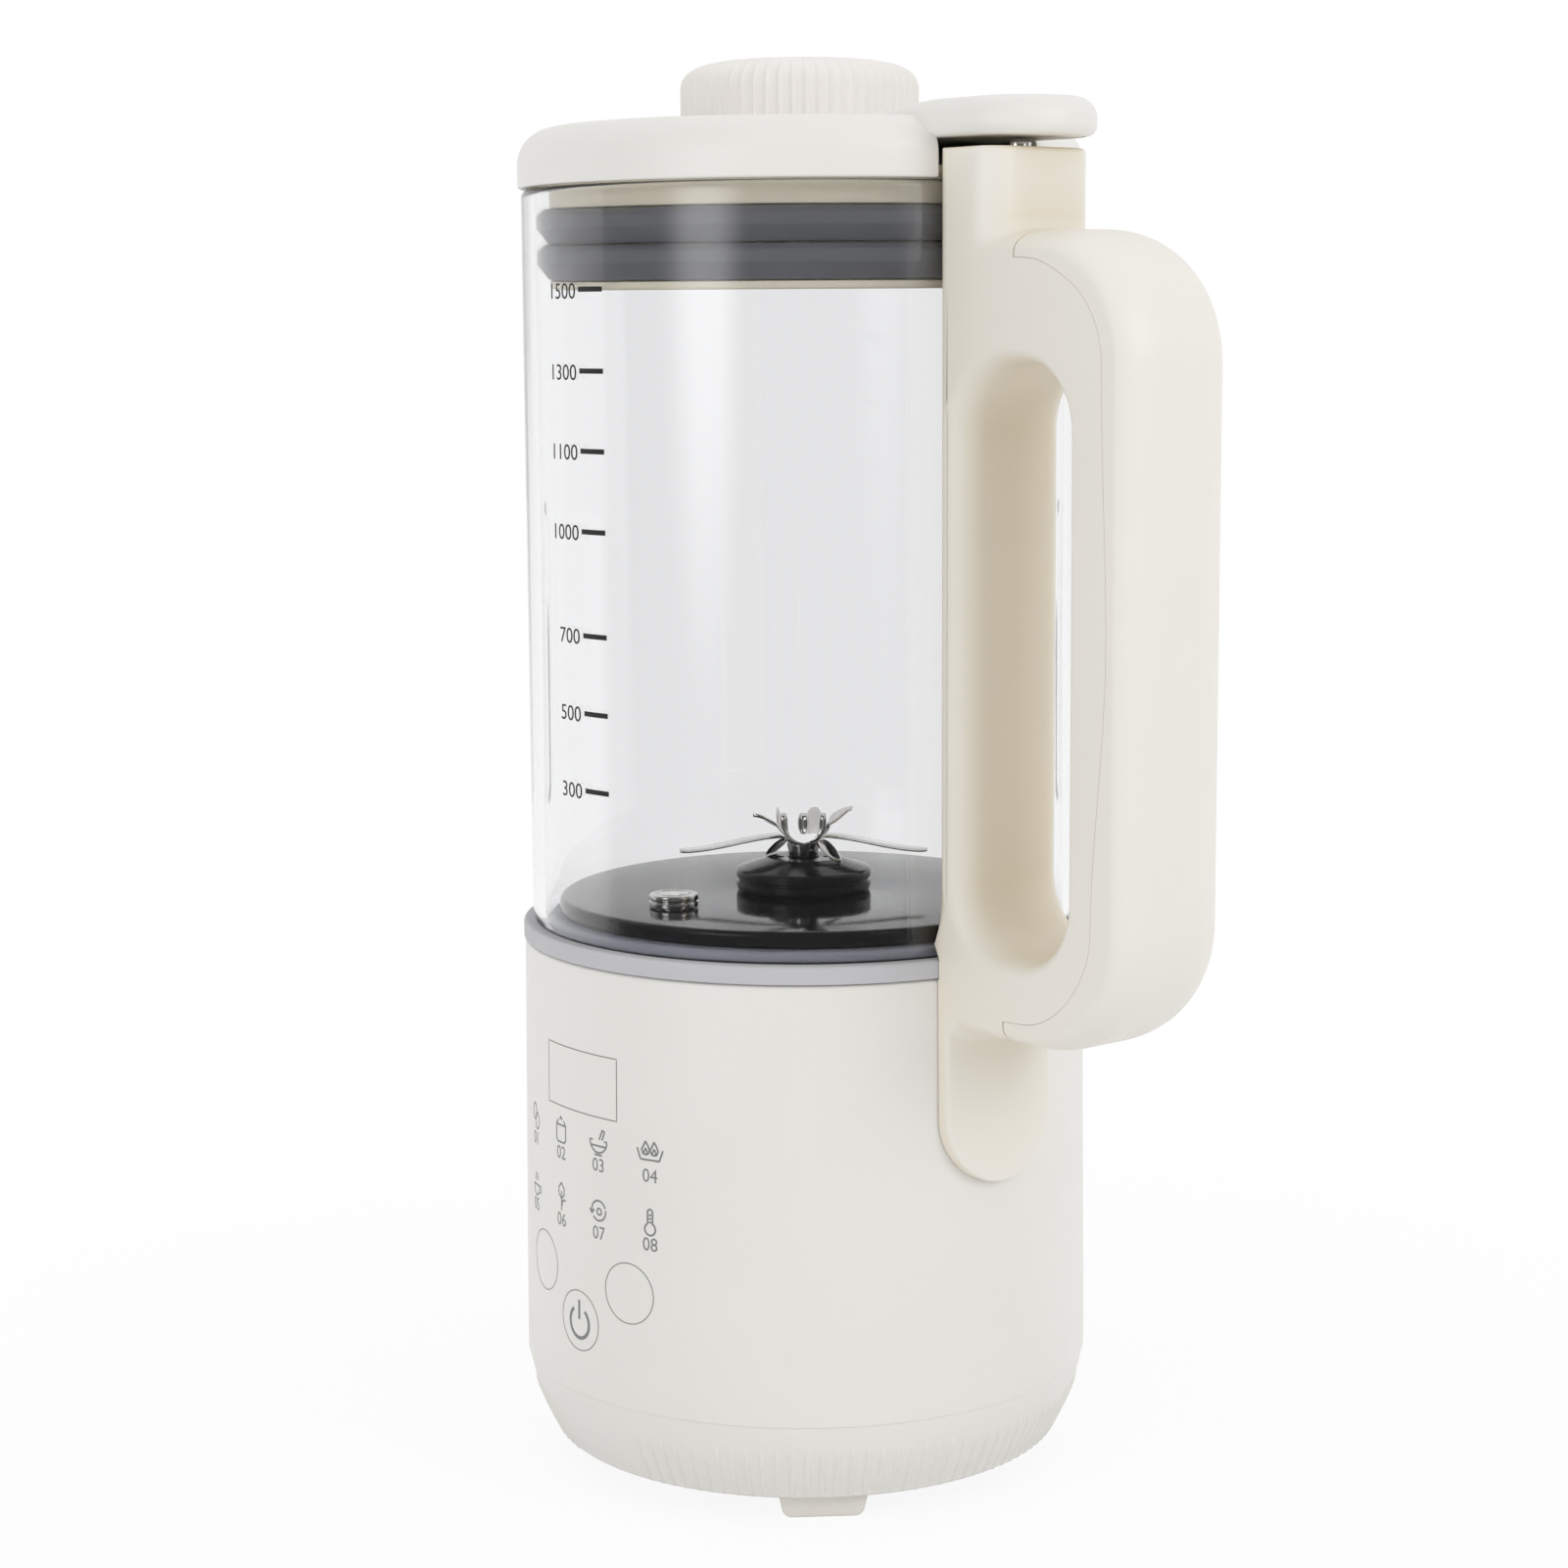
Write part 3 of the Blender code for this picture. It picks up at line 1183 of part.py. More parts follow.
def mains_inlet():
    face = SHELL_RADIUS - INLET_FACE_INSET
    back = face - INLET_DEPTH
    socket_floor = back + INLET_FLOOR
    inlet = prism("mains_inlet", inlet_outline(0), back, face, black_plastic(), "Y")
    socket = prism("socket", inlet_outline(-INLET_WALL), socket_floor, face + OVERRUN,
                   black_plastic(), "Y")
    combine(inlet, "DIFFERENCE", socket)
    middle = SHELL_BOTTOM + INLET_RISE + INLET_HEIGHT / 2
    pins = []
    for across, up in ((-INLET_PIN_SPREAD, -INLET_PIN_OFFSET / 2), (0, INLET_PIN_OFFSET / 2),
                       (INLET_PIN_SPREAD, -INLET_PIN_OFFSET / 2)):
        pins.append(block("pin", (across - INLET_PIN_WIDTH / 2, across + INLET_PIN_WIDTH / 2),
                          (socket_floor - INLET_FLOOR / 2, socket_floor + INLET_PIN_LENGTH),
                          (middle + up - INLET_PIN_HEIGHT / 2, middle + up + INLET_PIN_HEIGHT / 2),
                          steel()))
    return combine(inlet, "UNION", *pins)


# Handle

def grip_stations():
    """Places along the grip's outer line: where it is, which way it faces and how deep the seam lies."""
    top_across = HANDLE_REACH - HANDLE_TOP_CORNER
    top_up = HANDLE_TOP - HANDLE_TOP_CORNER
    low_across = HANDLE_REACH - HANDLE_BOTTOM_CORNER
    low_up = HANDLE_BOTTOM + HANDLE_BOTTOM_CORNER
    places = [(COVER_START, HANDLE_TOP, 90)]
    for angle in (90, 70, 50, 25, 0):
        across, up = arc(top_across, top_up, HANDLE_TOP_CORNER, angle, angle, 1)[0]
        places.append((across, up, angle))
    for share in (0.5, 0.8):
        places.append((HANDLE_REACH, top_up + (low_up - top_up) * share, 0))
    for angle in (0, -25, -50, -70, -90):
        across, up = arc(low_across, low_up, HANDLE_BOTTOM_CORNER, angle, angle, 1)[0]
        places.append((across, up, angle))
    places.append((COVER_END, HANDLE_BOTTOM, -90))
    middle = (top_up + low_up) / 2
    stations = []
    for across, up, angle in places:
        if up > top_up:
            share = smooth_share(across, COVER_START, top_across + HANDLE_TOP_CORNER / 2)
            inset = SEAM_TOP_INSET + (SEAM_CORNER_INSET - SEAM_TOP_INSET) * share
        elif up > middle:
            share = smooth_share(up, top_up, middle)
            inset = SEAM_CORNER_INSET + (SEAM_GRIP_INSET - SEAM_CORNER_INSET) * share
        elif up > low_up:
            share = smooth_share(up, middle, low_up)
            inset = SEAM_GRIP_INSET + (SEAM_LOW_INSET - SEAM_GRIP_INSET) * share
        else:
            share = smooth_share(across, HANDLE_REACH, COVER_END)
            inset = SEAM_LOW_INSET + (SEAM_END_INSET - SEAM_LOW_INSET) * share
        facing = math.radians(angle)
        stations.append((across, up, math.cos(facing), math.sin(facing), inset))
    return stations


def edge_levels():
    """Places across the handle, from one side face to the other, closer together at the edges."""
    half = COLUMN_HALF_WIDTH
    levels = [half - FINGER_EDGE * share for share in EDGE_LEVEL_SHARES]
    levels.append(COVER_FLAT_HALF_WIDTH)
    return [-level for level in levels] + levels[::-1]


def finger_hole(growth):
    """The outline of the finger gap, grown all round by the edge rounding."""
    corner = FINGER_CORNER + growth
    left = COLUMN_REACH + FINGER_CORNER
    right = HANDLE_REACH - GRIP_THICKNESS - FINGER_CORNER
    low = FINGER_BOTTOM + FINGER_CORNER
    top = FINGER_TOP - FINGER_CORNER
    points = []
    for across, up, start in ((right, top, 0), (left, top, 90), (left, low, 180),
                              (right, low, 270)):
        points += arc(across, up, corner, start, start + 90, 3)
    return points


def grip_frame():
    """The D of the handle inside the seam, with soft edges round the finger gap."""
    bm = bmesh.new()
    outer = []
    holes = []
    seam = [(across - face_across * (inset + GAP), up - face_up * (inset + GAP))
            for across, up, face_across, face_up, inset in grip_stations()]
    for level in edge_levels():
        drop = rounding(abs(level), COVER_FLAT_HALF_WIDTH, COLUMN_HALF_WIDTH, COVER_EDGE_DEPTH)
        growth = rounding(abs(level), COLUMN_HALF_WIDTH - FINGER_EDGE, COLUMN_HALF_WIDTH,
                          FINGER_EDGE)
        outline = [(COLUMN_ROOT, HANDLE_TOP - drop), (COVER_START - GAP, HANDLE_TOP - drop)]
        outline += [(COVER_START - GAP, seam[0][1])] + seam
        outline += [(COVER_END - GAP, seam[-1][1]), (COVER_END - GAP, HANDLE_BOTTOM + drop)]
        outline += [(COLUMN_ROOT, HANDLE_BOTTOM + drop)]
        outer.append([bm.verts.new((across, level, up)) for across, up in outline])
        holes.append([bm.verts.new((across, level, up)) for across, up in finger_hole(growth)])
    for loops in (outer, holes):
        for lower, upper in zip(loops, loops[1:]):
            wall_between(bm, lower, upper)
    fill_between(bm, outer[0], holes[0])
    fill_between(bm, outer[-1], holes[-1])
    return finished("handle_body", bm, cream_plastic())


def jug_space(margin, top):
    """The space that the base, the seat ring and the glass take up, grown by a margin."""
    low = COLUMN_BOTTOM - OVERRUN
    return turned("jug space", [
        (0, low),
        (SHELL_RADIUS + margin, low),
        (SHELL_RADIUS + margin, SHELL_BOTTOM + SHELL_STRAIGHT),
        (SHELL_TOP_RADIUS + margin, SHELL_TOP),
        (SEAT_RADIUS + margin, SHELL_TOP),
        (SEAT_RADIUS + margin, SEAT_TOP + margin),
        (GLASS_RADIUS + margin, SEAT_TOP + margin + GLASS_WALL),
        (GLASS_RADIUS + margin, top),
        (0, top),
    ], ROUND_STEPS, cream_plastic())


def handle_body():
    body = grip_frame()
    half = COLUMN_HALF_WIDTH - SIDE_STEP
    corner = NECK_REACH - NECK_CORNER
    plan = [(COLUMN_ROOT, -half)]
    plan += arc(corner, NECK_CORNER - half, NECK_CORNER, -90, 0, 4)
    plan += arc(corner, half - NECK_CORNER, NECK_CORNER, 0, 90, 4)
    plan.append((COLUMN_ROOT, half))
    neck = prism("neck", plan, HANDLE_TOP - FINGER_TOP_WALL / 2, COLUMN_TOP, cream_plastic())
    tongue_outline = arc(0, COLUMN_BOTTOM + half, half, 180, 360, 11)
    tongue_outline += [(half, HANDLE_BOTTOM + FINGER_BOTTOM_WALL / 2),
                       (-half, HANDLE_BOTTOM + FINGER_BOTTOM_WALL / 2)]
    tongue = prism("tongue", tongue_outline, COLUMN_ROOT, HANDLE_REACH, cream_plastic(), "X")
    skin = turned("tongue skin", [
        (0, COLUMN_BOTTOM - OVERRUN),
        (shell_radius(COLUMN_BOTTOM) + TONGUE_PROUD, COLUMN_BOTTOM - OVERRUN),
        (SHELL_TOP_RADIUS + TONGUE_PROUD, SHELL_TOP),
        (0, SHELL_TOP),
    ], ROUND_STEPS, cream_plastic())
    combine(tongue, "INTERSECT", skin)
    combine(body, "UNION", neck, tongue)
    cutters = [jug_space(GAP, COLUMN_TOP + OVERRUN)]
    pin_hole = rod("pin hole", PIN_RADIUS + RUNNING_GAP, switch_top() - SWITCH_HEIGHT / 2,
                   COLUMN_TOP + OVERRUN, SMALL_STEPS, cream_plastic())
    cutters.append(move(pin_hole, PIN_REACH))
    combine(body, "DIFFERENCE", *cutters)
    pocket = block("switch pocket",
                   (PIN_REACH - SWITCH_DEPTH / 2 - GAP, PIN_REACH + SWITCH_DEPTH / 2 + GAP),
                   (-SWITCH_WIDTH / 2 - GAP, SWITCH_WIDTH / 2 + GAP),
                   (switch_top() - SWITCH_HEIGHT - GAP, switch_top() + GAP), cream_plastic())
    pilots = []
    for drop in HANDLE_SCREW_DROPS:
        height = SHELL_TOP - drop
        pilot = rod("pilot hole", SCREW_RADIUS + GAP, SCREW_POST_REACH,
                    handle_screw_start(height) + HANDLE_SCREW_LENGTH + GAP, SMALL_STEPS // 2,
                    cream_plastic())
        pilots.append(move(lay_along_x(pilot), 0, 0, height))
    return combine(body, "DIFFERENCE", pocket, *pilots)


def handle_cover():
    """The C-shaped outer half of the grip, rounded towards both sides."""
    levels = edge_levels()
    rings = []
    for across, up, face_across, face_up, inset in grip_stations():
        points = []
        for level in levels:
            drop = rounding(abs(level), COVER_FLAT_HALF_WIDTH, COLUMN_HALF_WIDTH,
                            COVER_EDGE_DEPTH)
            points.append((across - face_across * drop, level, up - face_up * drop))
        for level in (COLUMN_HALF_WIDTH, -COLUMN_HALF_WIDTH):
            points.append((across - face_across * inset, level, up - face_up * inset))
        rings.append(points)
    return skinned("handle_cover", rings, cream_plastic())


def handle_screw_start(height):
    """Where a handle screw's head meets the inside of the shell."""
    return shell_radius(height) - SHELL_WALL - GAP


def handle_screw(name, drop):
    height = SHELL_TOP - drop
    start = handle_screw_start(height)
    outline = [
        (0, start - SCREW_HEAD_HEIGHT),
        (SCREW_HEAD_RADIUS, start - SCREW_HEAD_HEIGHT),
        (SCREW_HEAD_RADIUS, start),
        (SCREW_RADIUS, start),
        (SCREW_RADIUS, start + HANDLE_SCREW_LENGTH),
        (0, start + HANDLE_SCREW_LENGTH),
    ]
    screw = turned(name, outline, SMALL_STEPS // 2, steel())
    return move(lay_along_x(screw), 0, 0, height)


def switch_top():
    """The switch's top, under the pin at the end of its travel."""
    return TAB_BOTTOM - GAP - PIN_LENGTH - PIN_TRAVEL - GAP


def interlock_switch():
    return block("interlock_switch",
                 (PIN_REACH - SWITCH_DEPTH / 2, PIN_REACH + SWITCH_DEPTH / 2),
                 (-SWITCH_WIDTH / 2, SWITCH_WIDTH / 2),
                 (switch_top() - SWITCH_HEIGHT, switch_top()), black_plastic())


def interlock_pin():
    top = TAB_BOTTOM - GAP
    outline = [(0, top - PIN_LENGTH), (PIN_RADIUS, top - PIN_LENGTH), (PIN_RADIUS, top - PIN_HEAD)]
    outline += [(PIN_RADIUS - PIN_HEAD, top), (0, top)]
    pin = turned("interlock_pin", outline, SMALL_STEPS, steel())
    pin.location = (PIN_REACH, 0, 0)
    return pin


# Lid

def tab_half_width(across):
    """Half the tab's width at a place along it: straight sides and a round end."""
    past = max(across - (TAB_REACH - TAB_HALF_WIDTH), 0)
    return math.sqrt(max(TAB_HALF_WIDTH ** 2 - past ** 2, 0))


def lid_tab():
    """The tab over the handle, which rises softly out of the lid's top."""
    straight_end = TAB_REACH - TAB_HALF_WIDTH
    places = [TAB_BLEND_START + (TAB_BLEND_END - TAB_BLEND_START) * share
              for share in (0, 0.25, 0.5, 0.75, 1)]
    places += [straight_end + TAB_HALF_WIDTH * math.sin(math.radians(angle))
               for angle in (0, 25, 45, 60, 72, 82)]
    rings = []
    sunk = LID_TOP - LID_WALL / 2
    for across in places:
        half = tab_half_width(across)
        lift = smooth_share(across, TAB_BLEND_START, TAB_BLEND_END)
        top = sunk + (TAB_TOP - sunk) * lift
        edge = TAB_EDGE * lift * half / TAB_HALF_WIDTH
        near_end = smooth_share(across, straight_end, TAB_REACH)
        top -= TAB_EDGE * near_end ** 3 / 2
        points = [(across, half, TAB_BOTTOM)]
        points += [(across, side, up)
                   for side, up in arc(half - edge - WELD, top - edge - WELD, edge + WELD, 0, 90, 2)]
        points += [(across, side, up)
                   for side, up in arc(edge + WELD - half, top - edge - WELD, edge + WELD, 90, 180, 2)]
        points.append((across, -half, TAB_BOTTOM))
        rings.append(points)
    return skinned("tab", rings, white_plastic())


def lid_cover():
    edge_across = LID_RADIUS - LID_EDGE
    edge_up = LID_TOP - LID_EDGE
    inner_edge = LID_EDGE - LID_WALL
    sleeve_outer = SLEEVE_WIDE_RADIUS + LID_SLEEVE_WALL
    outline = [(LID_RADIUS - LID_LIP_INSET, LID_BOTTOM)]
    outline += arc(edge_across, edge_up, LID_EDGE, 0, 90, 4)
    outline += [
        (SLEEVE_RADIUS, LID_TOP),
        (SLEEVE_RADIUS, LEDGE_BOTTOM),
        (SLEEVE_WIDE_RADIUS, LEDGE_BOTTOM),
        (SLEEVE_WIDE_RADIUS, SLEEVE_BOTTOM),
        (sleeve_outer, SLEEVE_BOTTOM),
        (sleeve_outer, LID_TOP - LID_WALL),
    ]
    outline += arc(edge_across, edge_up, inner_edge, 90, 0, 2)
    outline.append((edge_across + inner_edge, LID_BOTTOM))
    lid = turned("lid_cover", outline, ROUND_STEPS, white_plastic())
    combine(lid, "UNION", lid_tab())
    notch_half = COLUMN_HALF_WIDTH + NOTCH_CLEARANCE
    notch = block("notch", (LID_RADIUS - NOTCH_DEPTH, LID_RADIUS + OVERRUN),
                  (-notch_half, notch_half), (LID_BOTTOM - OVERRUN, TAB_BOTTOM), white_plastic())
    recess = prism("recess", tab_cover_outline(GAP), TAB_BOTTOM - OVERRUN,
                   TAB_BOTTOM + TAB_COVER_THICKNESS + GAP, white_plastic())
    cutters = [notch, recess]
    slot_low = LEDGE_BOTTOM - OVERRUN
    for turn in (0, 180):
        outline = sector(SLEEVE_RADIUS - OVERRUN, SLEEVE_WIDE_RADIUS, CAP_SLOT_ANGLE)
        slot = prism("slot", outline, slot_low, LID_TOP + OVERRUN, white_plastic())
        cutters.append(turn_about_z(slot, turn))
    return combine(lid, "DIFFERENCE", *cutters)


def sector(inner, outer, sweep):
    """A piece of a ring seen from above, centred on +X."""
    half = sweep / 2
    return arc(0, 0, outer, -half, half, 4) + arc(0, 0, inner, half, -half, 4)


def tab_cover_outline(margin):
    """The plate in the tab's underside, seen from above."""
    radius = TAB_HALF_WIDTH - TAB_COVER_INSET + margin
    start = TAB_COVER_START - margin
    middle = TAB_REACH - TAB_HALF_WIDTH
    return [(start, -radius)] + arc(middle, 0, radius, -90, 90, 8) + [(start, radius)]


def tab_cover():
    return prism("tab_cover", tab_cover_outline(0), TAB_BOTTOM, TAB_BOTTOM + TAB_COVER_THICKNESS,
                 white_plastic())


def lid_plug():
    """The plug inside the glass: a flange on the rim, two seal grooves and the feed tube."""
    groove_bottom = LOWER_SEAL_TOP - SEAL_BAND - GAP
    inner = PLUG_GROOVE_RADIUS - PLUG_WALL
    tube_outer = SLEEVE_WIDE_RADIUS + PLUG_WALL
    tube_top = SLEEVE_BOTTOM - GAP
    outline = [
        (inner, PLUG_TOP),
        (PLUG_FLANGE_RADIUS, PLUG_TOP),
        (PLUG_FLANGE_RADIUS, PLUG_TOP - PLUG_FLANGE),
        (PLUG_RADIUS, PLUG_TOP - PLUG_FLANGE),
        (PLUG_RADIUS, UPPER_SEAL_TOP + GAP),
        (PLUG_GROOVE_RADIUS, UPPER_SEAL_TOP + GAP),
        (PLUG_GROOVE_RADIUS, groove_bottom),
        (PLUG_RADIUS, groove_bottom),
        (PLUG_RADIUS, PLUG_BOTTOM),
        (SLEEVE_WIDE_RADIUS, PLUG_BOTTOM),
        (SLEEVE_WIDE_RADIUS, tube_top),
        (tube_outer, tube_top),
        (tube_outer, PLUG_BOTTOM + PLUG_WALL),
        (inner, PLUG_BOTTOM + PLUG_WALL),
    ]
    return turned("lid_plug", outline, ROUND_STEPS, cream_plastic())


def lip_seal(name, top):
    """A soft ring with two lips that reach for the glass."""
    inner = PLUG_GROOVE_RADIUS + GAP
    lip = GLASS_INNER_RADIUS - GAP
    band = PLUG_RADIUS
    low = top - SEAL_BAND
    middle = (top + low) / 2
    outline = [
        (inner, low),
        (band, low),
        (lip, low + SEAL_LIP),
        (band, middle),
        (lip, middle + SEAL_LIP),
        (band, top),
        (inner, top),
    ]
    return turned(name, outline, ROUND_STEPS, grey_silicone())


# Feed cap

def cap_knob():
    """The ribbed knob, hollow enough below for the plug's spigot and a flat seal."""
    bm = bmesh.new()
    rib_end = KNOB_BOTTOM + KNOB_RIB_END
    root = KNOB_RADIUS - KNOB_RIB_HEIGHT
    loops = []
    for height in (KNOB_BOTTOM, rib_end):
        points = ribbed_loop(root, height, KNOB_RIB_HEIGHT, KNOB_RIB_COUNT, 0)
        loops.append([bm.verts.new(point) for point in points])
    for radius_share, height_share in KNOB_CROWN_SHARES:
        points = round_loop(root * radius_share, rib_end + (KNOB_TOP - rib_end) * height_share,
                            MEDIUM_STEPS)
        loops.append([bm.verts.new(point) for point in points])
    wall_between(bm, loops[0], loops[1])
    strip_between(bm, loops[1], loops[2])
    for lower, upper in zip(loops[2:], loops[3:]):
        wall_between(bm, lower, upper)
    bm.faces.new(loops[0])
    bm.faces.new(loops[-1])
    knob = finished("cap_knob", bm, cream_plastic())
    recess = rod("recess", CAP_PLUG_RADIUS + GAP, KNOB_BOTTOM - OVERRUN,
                 KNOB_BOTTOM + CAP_SPIGOT + GAP, MEDIUM_STEPS, cream_plastic())
    groove = ring("groove", *cap_seal_radii(GAP), KNOB_BOTTOM - OVERRUN,
                  KNOB_BOTTOM + CAP_SEAL_THICKNESS + GAP, MEDIUM_STEPS, cream_plastic())
    return combine(knob, "DIFFERENCE", recess, groove)


def cap_seal_radii(margin):
    inner = CAP_PLUG_RADIUS + CAP_SEAL_INSET
    return inner - margin, inner + CAP_SEAL_WIDTH + margin


def cap_seal():
    return ring("cap_seal", *cap_seal_radii(0), KNOB_BOTTOM, KNOB_BOTTOM + CAP_SEAL_THICKNESS,
                MEDIUM_STEPS, grey_silicone())


def cap_plug():
    """The cup below the knob, with two lugs that turn under the lid's ledge."""
    top = KNOB_BOTTOM + CAP_SPIGOT
    low = KNOB_BOTTOM - CAP_PLUG_LENGTH
    inner = CAP_PLUG_RADIUS - CAP_PLUG_WALL
    outline = [
        (0, low),
        (CAP_PLUG_RADIUS, low),
        (CAP_PLUG_RADIUS, top),
        (inner, top),
        (inner, low + CAP_PLUG_WALL),
        (0, low + CAP_PLUG_WALL),
    ]
    plug = turned("cap_plug", outline, MEDIUM_STEPS, cream_plastic())
    lug_top = LEDGE_BOTTOM - RUNNING_GAP
    lugs = []
    for turn in (0, 180):
        lug = prism("lug", sector(CAP_PLUG_RADIUS - CAP_PLUG_WALL / 2,
                                  CAP_PLUG_RADIUS + CAP_LUG_REACH, CAP_LUG_ANGLE),
                    lug_top - CAP_LUG_HEIGHT, lug_top, cream_plastic())
        lugs.append(turn_about_z(lug, turn))
    return combine(plug, "UNION", *lugs)


# The whole machine

def build():
    for old in list(bpy.data.objects):
        bpy.data.objects.remove(old)
    base_skirt()
    foot("foot_front_right", FRONT_FOOT_ANGLE)
    foot("foot_front_left", -FRONT_FOOT_ANGLE)
    foot("foot_rear_right", REAR_FOOT_ANGLE)
    foot("foot_rear_left", -REAR_FOOT_ANGLE)
    base_shell()
    for index, degrees in enumerate(BOTTOM_SCREW_ANGLES):
        bottom_screw(index + 1, degrees)
    seat_ring()
    glass_jug()
    plate_gasket()
    heating_plate()
    plate_clamp()
    heating_element()
    thermal_fuse()
    temperature_sensor()
    bearing_nut()
    shaft_seal()
    shaft_bush()
    blade_shaft()
    blade("lower_blade", 0, LOWER_REACH, LOWER_WIDTH, LOWER_RISE, LOWER_BLADE_TURN)
    blade("long_blade", 1, LONG_BLADE_REACH, LONG_BLADE_WIDTH, LONG_BLADE_RISE, LONG_BLADE_TURN)
    blade("middle_blade", 2, LEAF_REACH, LEAF_WIDTH, LEAF_RISE, MIDDLE_BLADE_TURN)
    blade("upper_blade", 3, LEAF_REACH, LEAF_WIDTH, LEAF_RISE, UPPER_BLADE_TURN)
    blade_lock_nut()
    cooling_fan()
    lower_motor_bracket()
    motor_carrier()
    motor_stator()
    field_coil("upper_field_coil", STATOR_TOP + GAP)
    field_coil("lower_field_coil", STATOR_BOTTOM - GAP - COIL_HEIGHT)
    motor_rotor()
    commutator()
    carbon_brush("left_carbon_brush", -1)
    carbon_brush("right_carbon_brush", 1)
    panel_board()
    display()
    power_board()
    mains_inlet()
    handle_body()
    handle_cover()
    handle_screw("upper_handle_screw", HANDLE_SCREW_DROPS[0])
    handle_screw("lower_handle_screw", HANDLE_SCREW_DROPS[1])
    interlock_switch()
    interlock_pin()
    lid_cover()
    tab_cover()
    lid_plug()
    lip_seal("upper_lip_seal", UPPER_SEAL_TOP)
    lip_seal("lower_lip_seal", LOWER_SEAL_TOP)
    cap_knob()
    cap_seal()
    cap_plug()
    centre = bpy.data.objects.new("centre", None)
    bpy.context.scene.collection.objects.link(centre)
    centre.location = (SHIFT, 0, 0)
    for piece in bpy.data.objects:
        if piece.type == "MESH":
            piece.parent = centre


if __name__ == "__main__":
    build()
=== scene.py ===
import bmesh
import bpy
import numpy as np
from mathutils import Matrix, Vector


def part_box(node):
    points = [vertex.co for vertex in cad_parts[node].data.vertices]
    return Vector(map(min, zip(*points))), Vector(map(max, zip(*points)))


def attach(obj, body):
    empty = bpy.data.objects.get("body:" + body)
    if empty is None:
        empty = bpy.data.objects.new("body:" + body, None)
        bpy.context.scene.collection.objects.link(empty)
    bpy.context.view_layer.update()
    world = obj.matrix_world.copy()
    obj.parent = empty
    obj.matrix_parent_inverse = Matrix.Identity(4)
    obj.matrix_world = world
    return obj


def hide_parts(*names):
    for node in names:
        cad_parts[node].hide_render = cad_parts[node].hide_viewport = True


bl_info = {
    "name": "Glass soy milk maker",
    "version": (1, 0, 0),
    "blender": (4, 5, 0),
    "location": "3D View > Sidebar > Milk maker",
    "description": "Builds the looks of a glass soy milk maker on its packed frame",
    "category": "Object",
}

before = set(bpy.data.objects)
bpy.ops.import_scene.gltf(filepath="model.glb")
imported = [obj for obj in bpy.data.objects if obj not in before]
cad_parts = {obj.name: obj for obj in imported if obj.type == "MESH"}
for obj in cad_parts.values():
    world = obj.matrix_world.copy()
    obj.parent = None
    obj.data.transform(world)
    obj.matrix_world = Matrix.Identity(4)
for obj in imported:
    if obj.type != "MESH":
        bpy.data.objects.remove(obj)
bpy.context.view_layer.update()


def limits(node):
    """A CAD node's box as two arrays, with X measured from the jug's axis."""
    low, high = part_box(node)
    return np.array([low.x - AXIS, low.y, low.z]), np.array([high.x - AXIS, high.y, high.z])


JUG_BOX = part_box("glass_jug")
AXIS = (JUG_BOX[0].x + JUG_BOX[1].x) / 2
GLASS_RADIUS = limits("glass_jug")[1][0]
SHELL_LOW, SHELL_HIGH = limits("base_shell")
SKIRT_LOW, SKIRT_HIGH = limits("base_skirt")
SEAT_LOW, SEAT_HIGH = limits("seat_ring")
GLASS_LOW, GLASS_HIGH = limits("glass_jug")
LID_LOW, LID_HIGH = limits("lid_cover")
KNOB_LOW, KNOB_HIGH = limits("cap_knob")
BODY_LOW, BODY_HIGH = limits("handle_body")
COVER_LOW, COVER_HIGH = limits("handle_cover")

# Clearances, in metres: between pieces that touch in the CAD, at fine seams, and the height of print
GAP = 0.0003
SEAM_GAP = 0.00008
INK = 0.00003

# Sizes that several pieces share, in metres, and the places of the jug's ribs in degrees from the panel
SKIRT_TOP_RADIUS = 0.0647
SKIRT_FOOT_RADIUS = 0.0576
SHELL_TOP_RADIUS = 0.0641
SHELL_STRAIGHT = 0.006
GLASS_HEEL = 0.0063
RIB_ANGLES = (50, 140, 230, 320)
TAB_HALF = 0.0158
TAB_LOW = 0.2982
TUBE_RADIUS = 0.0218
GRIP_FLAT = 0.0052
GRIP_DROP = 0.0045

# The volume scale: what each mark says, in millilitres, and its height
VOLUME_MARKS = ((1500, 0.2678), (1300, 0.2506), (1100, 0.2336), (1000, 0.2164), (700, 0.1940),
                (500, 0.1771), (300, 0.1602))

# The warm tint of the shade painted into the handle's hollows, in place of the light that passes through
# the plastic, and the level line from the camera past the object
WARM_PAINTED_SHADE = (0.92, 0.80, 0.58)
VIEW_LINE = (-0.766, 0.643, 0.0)


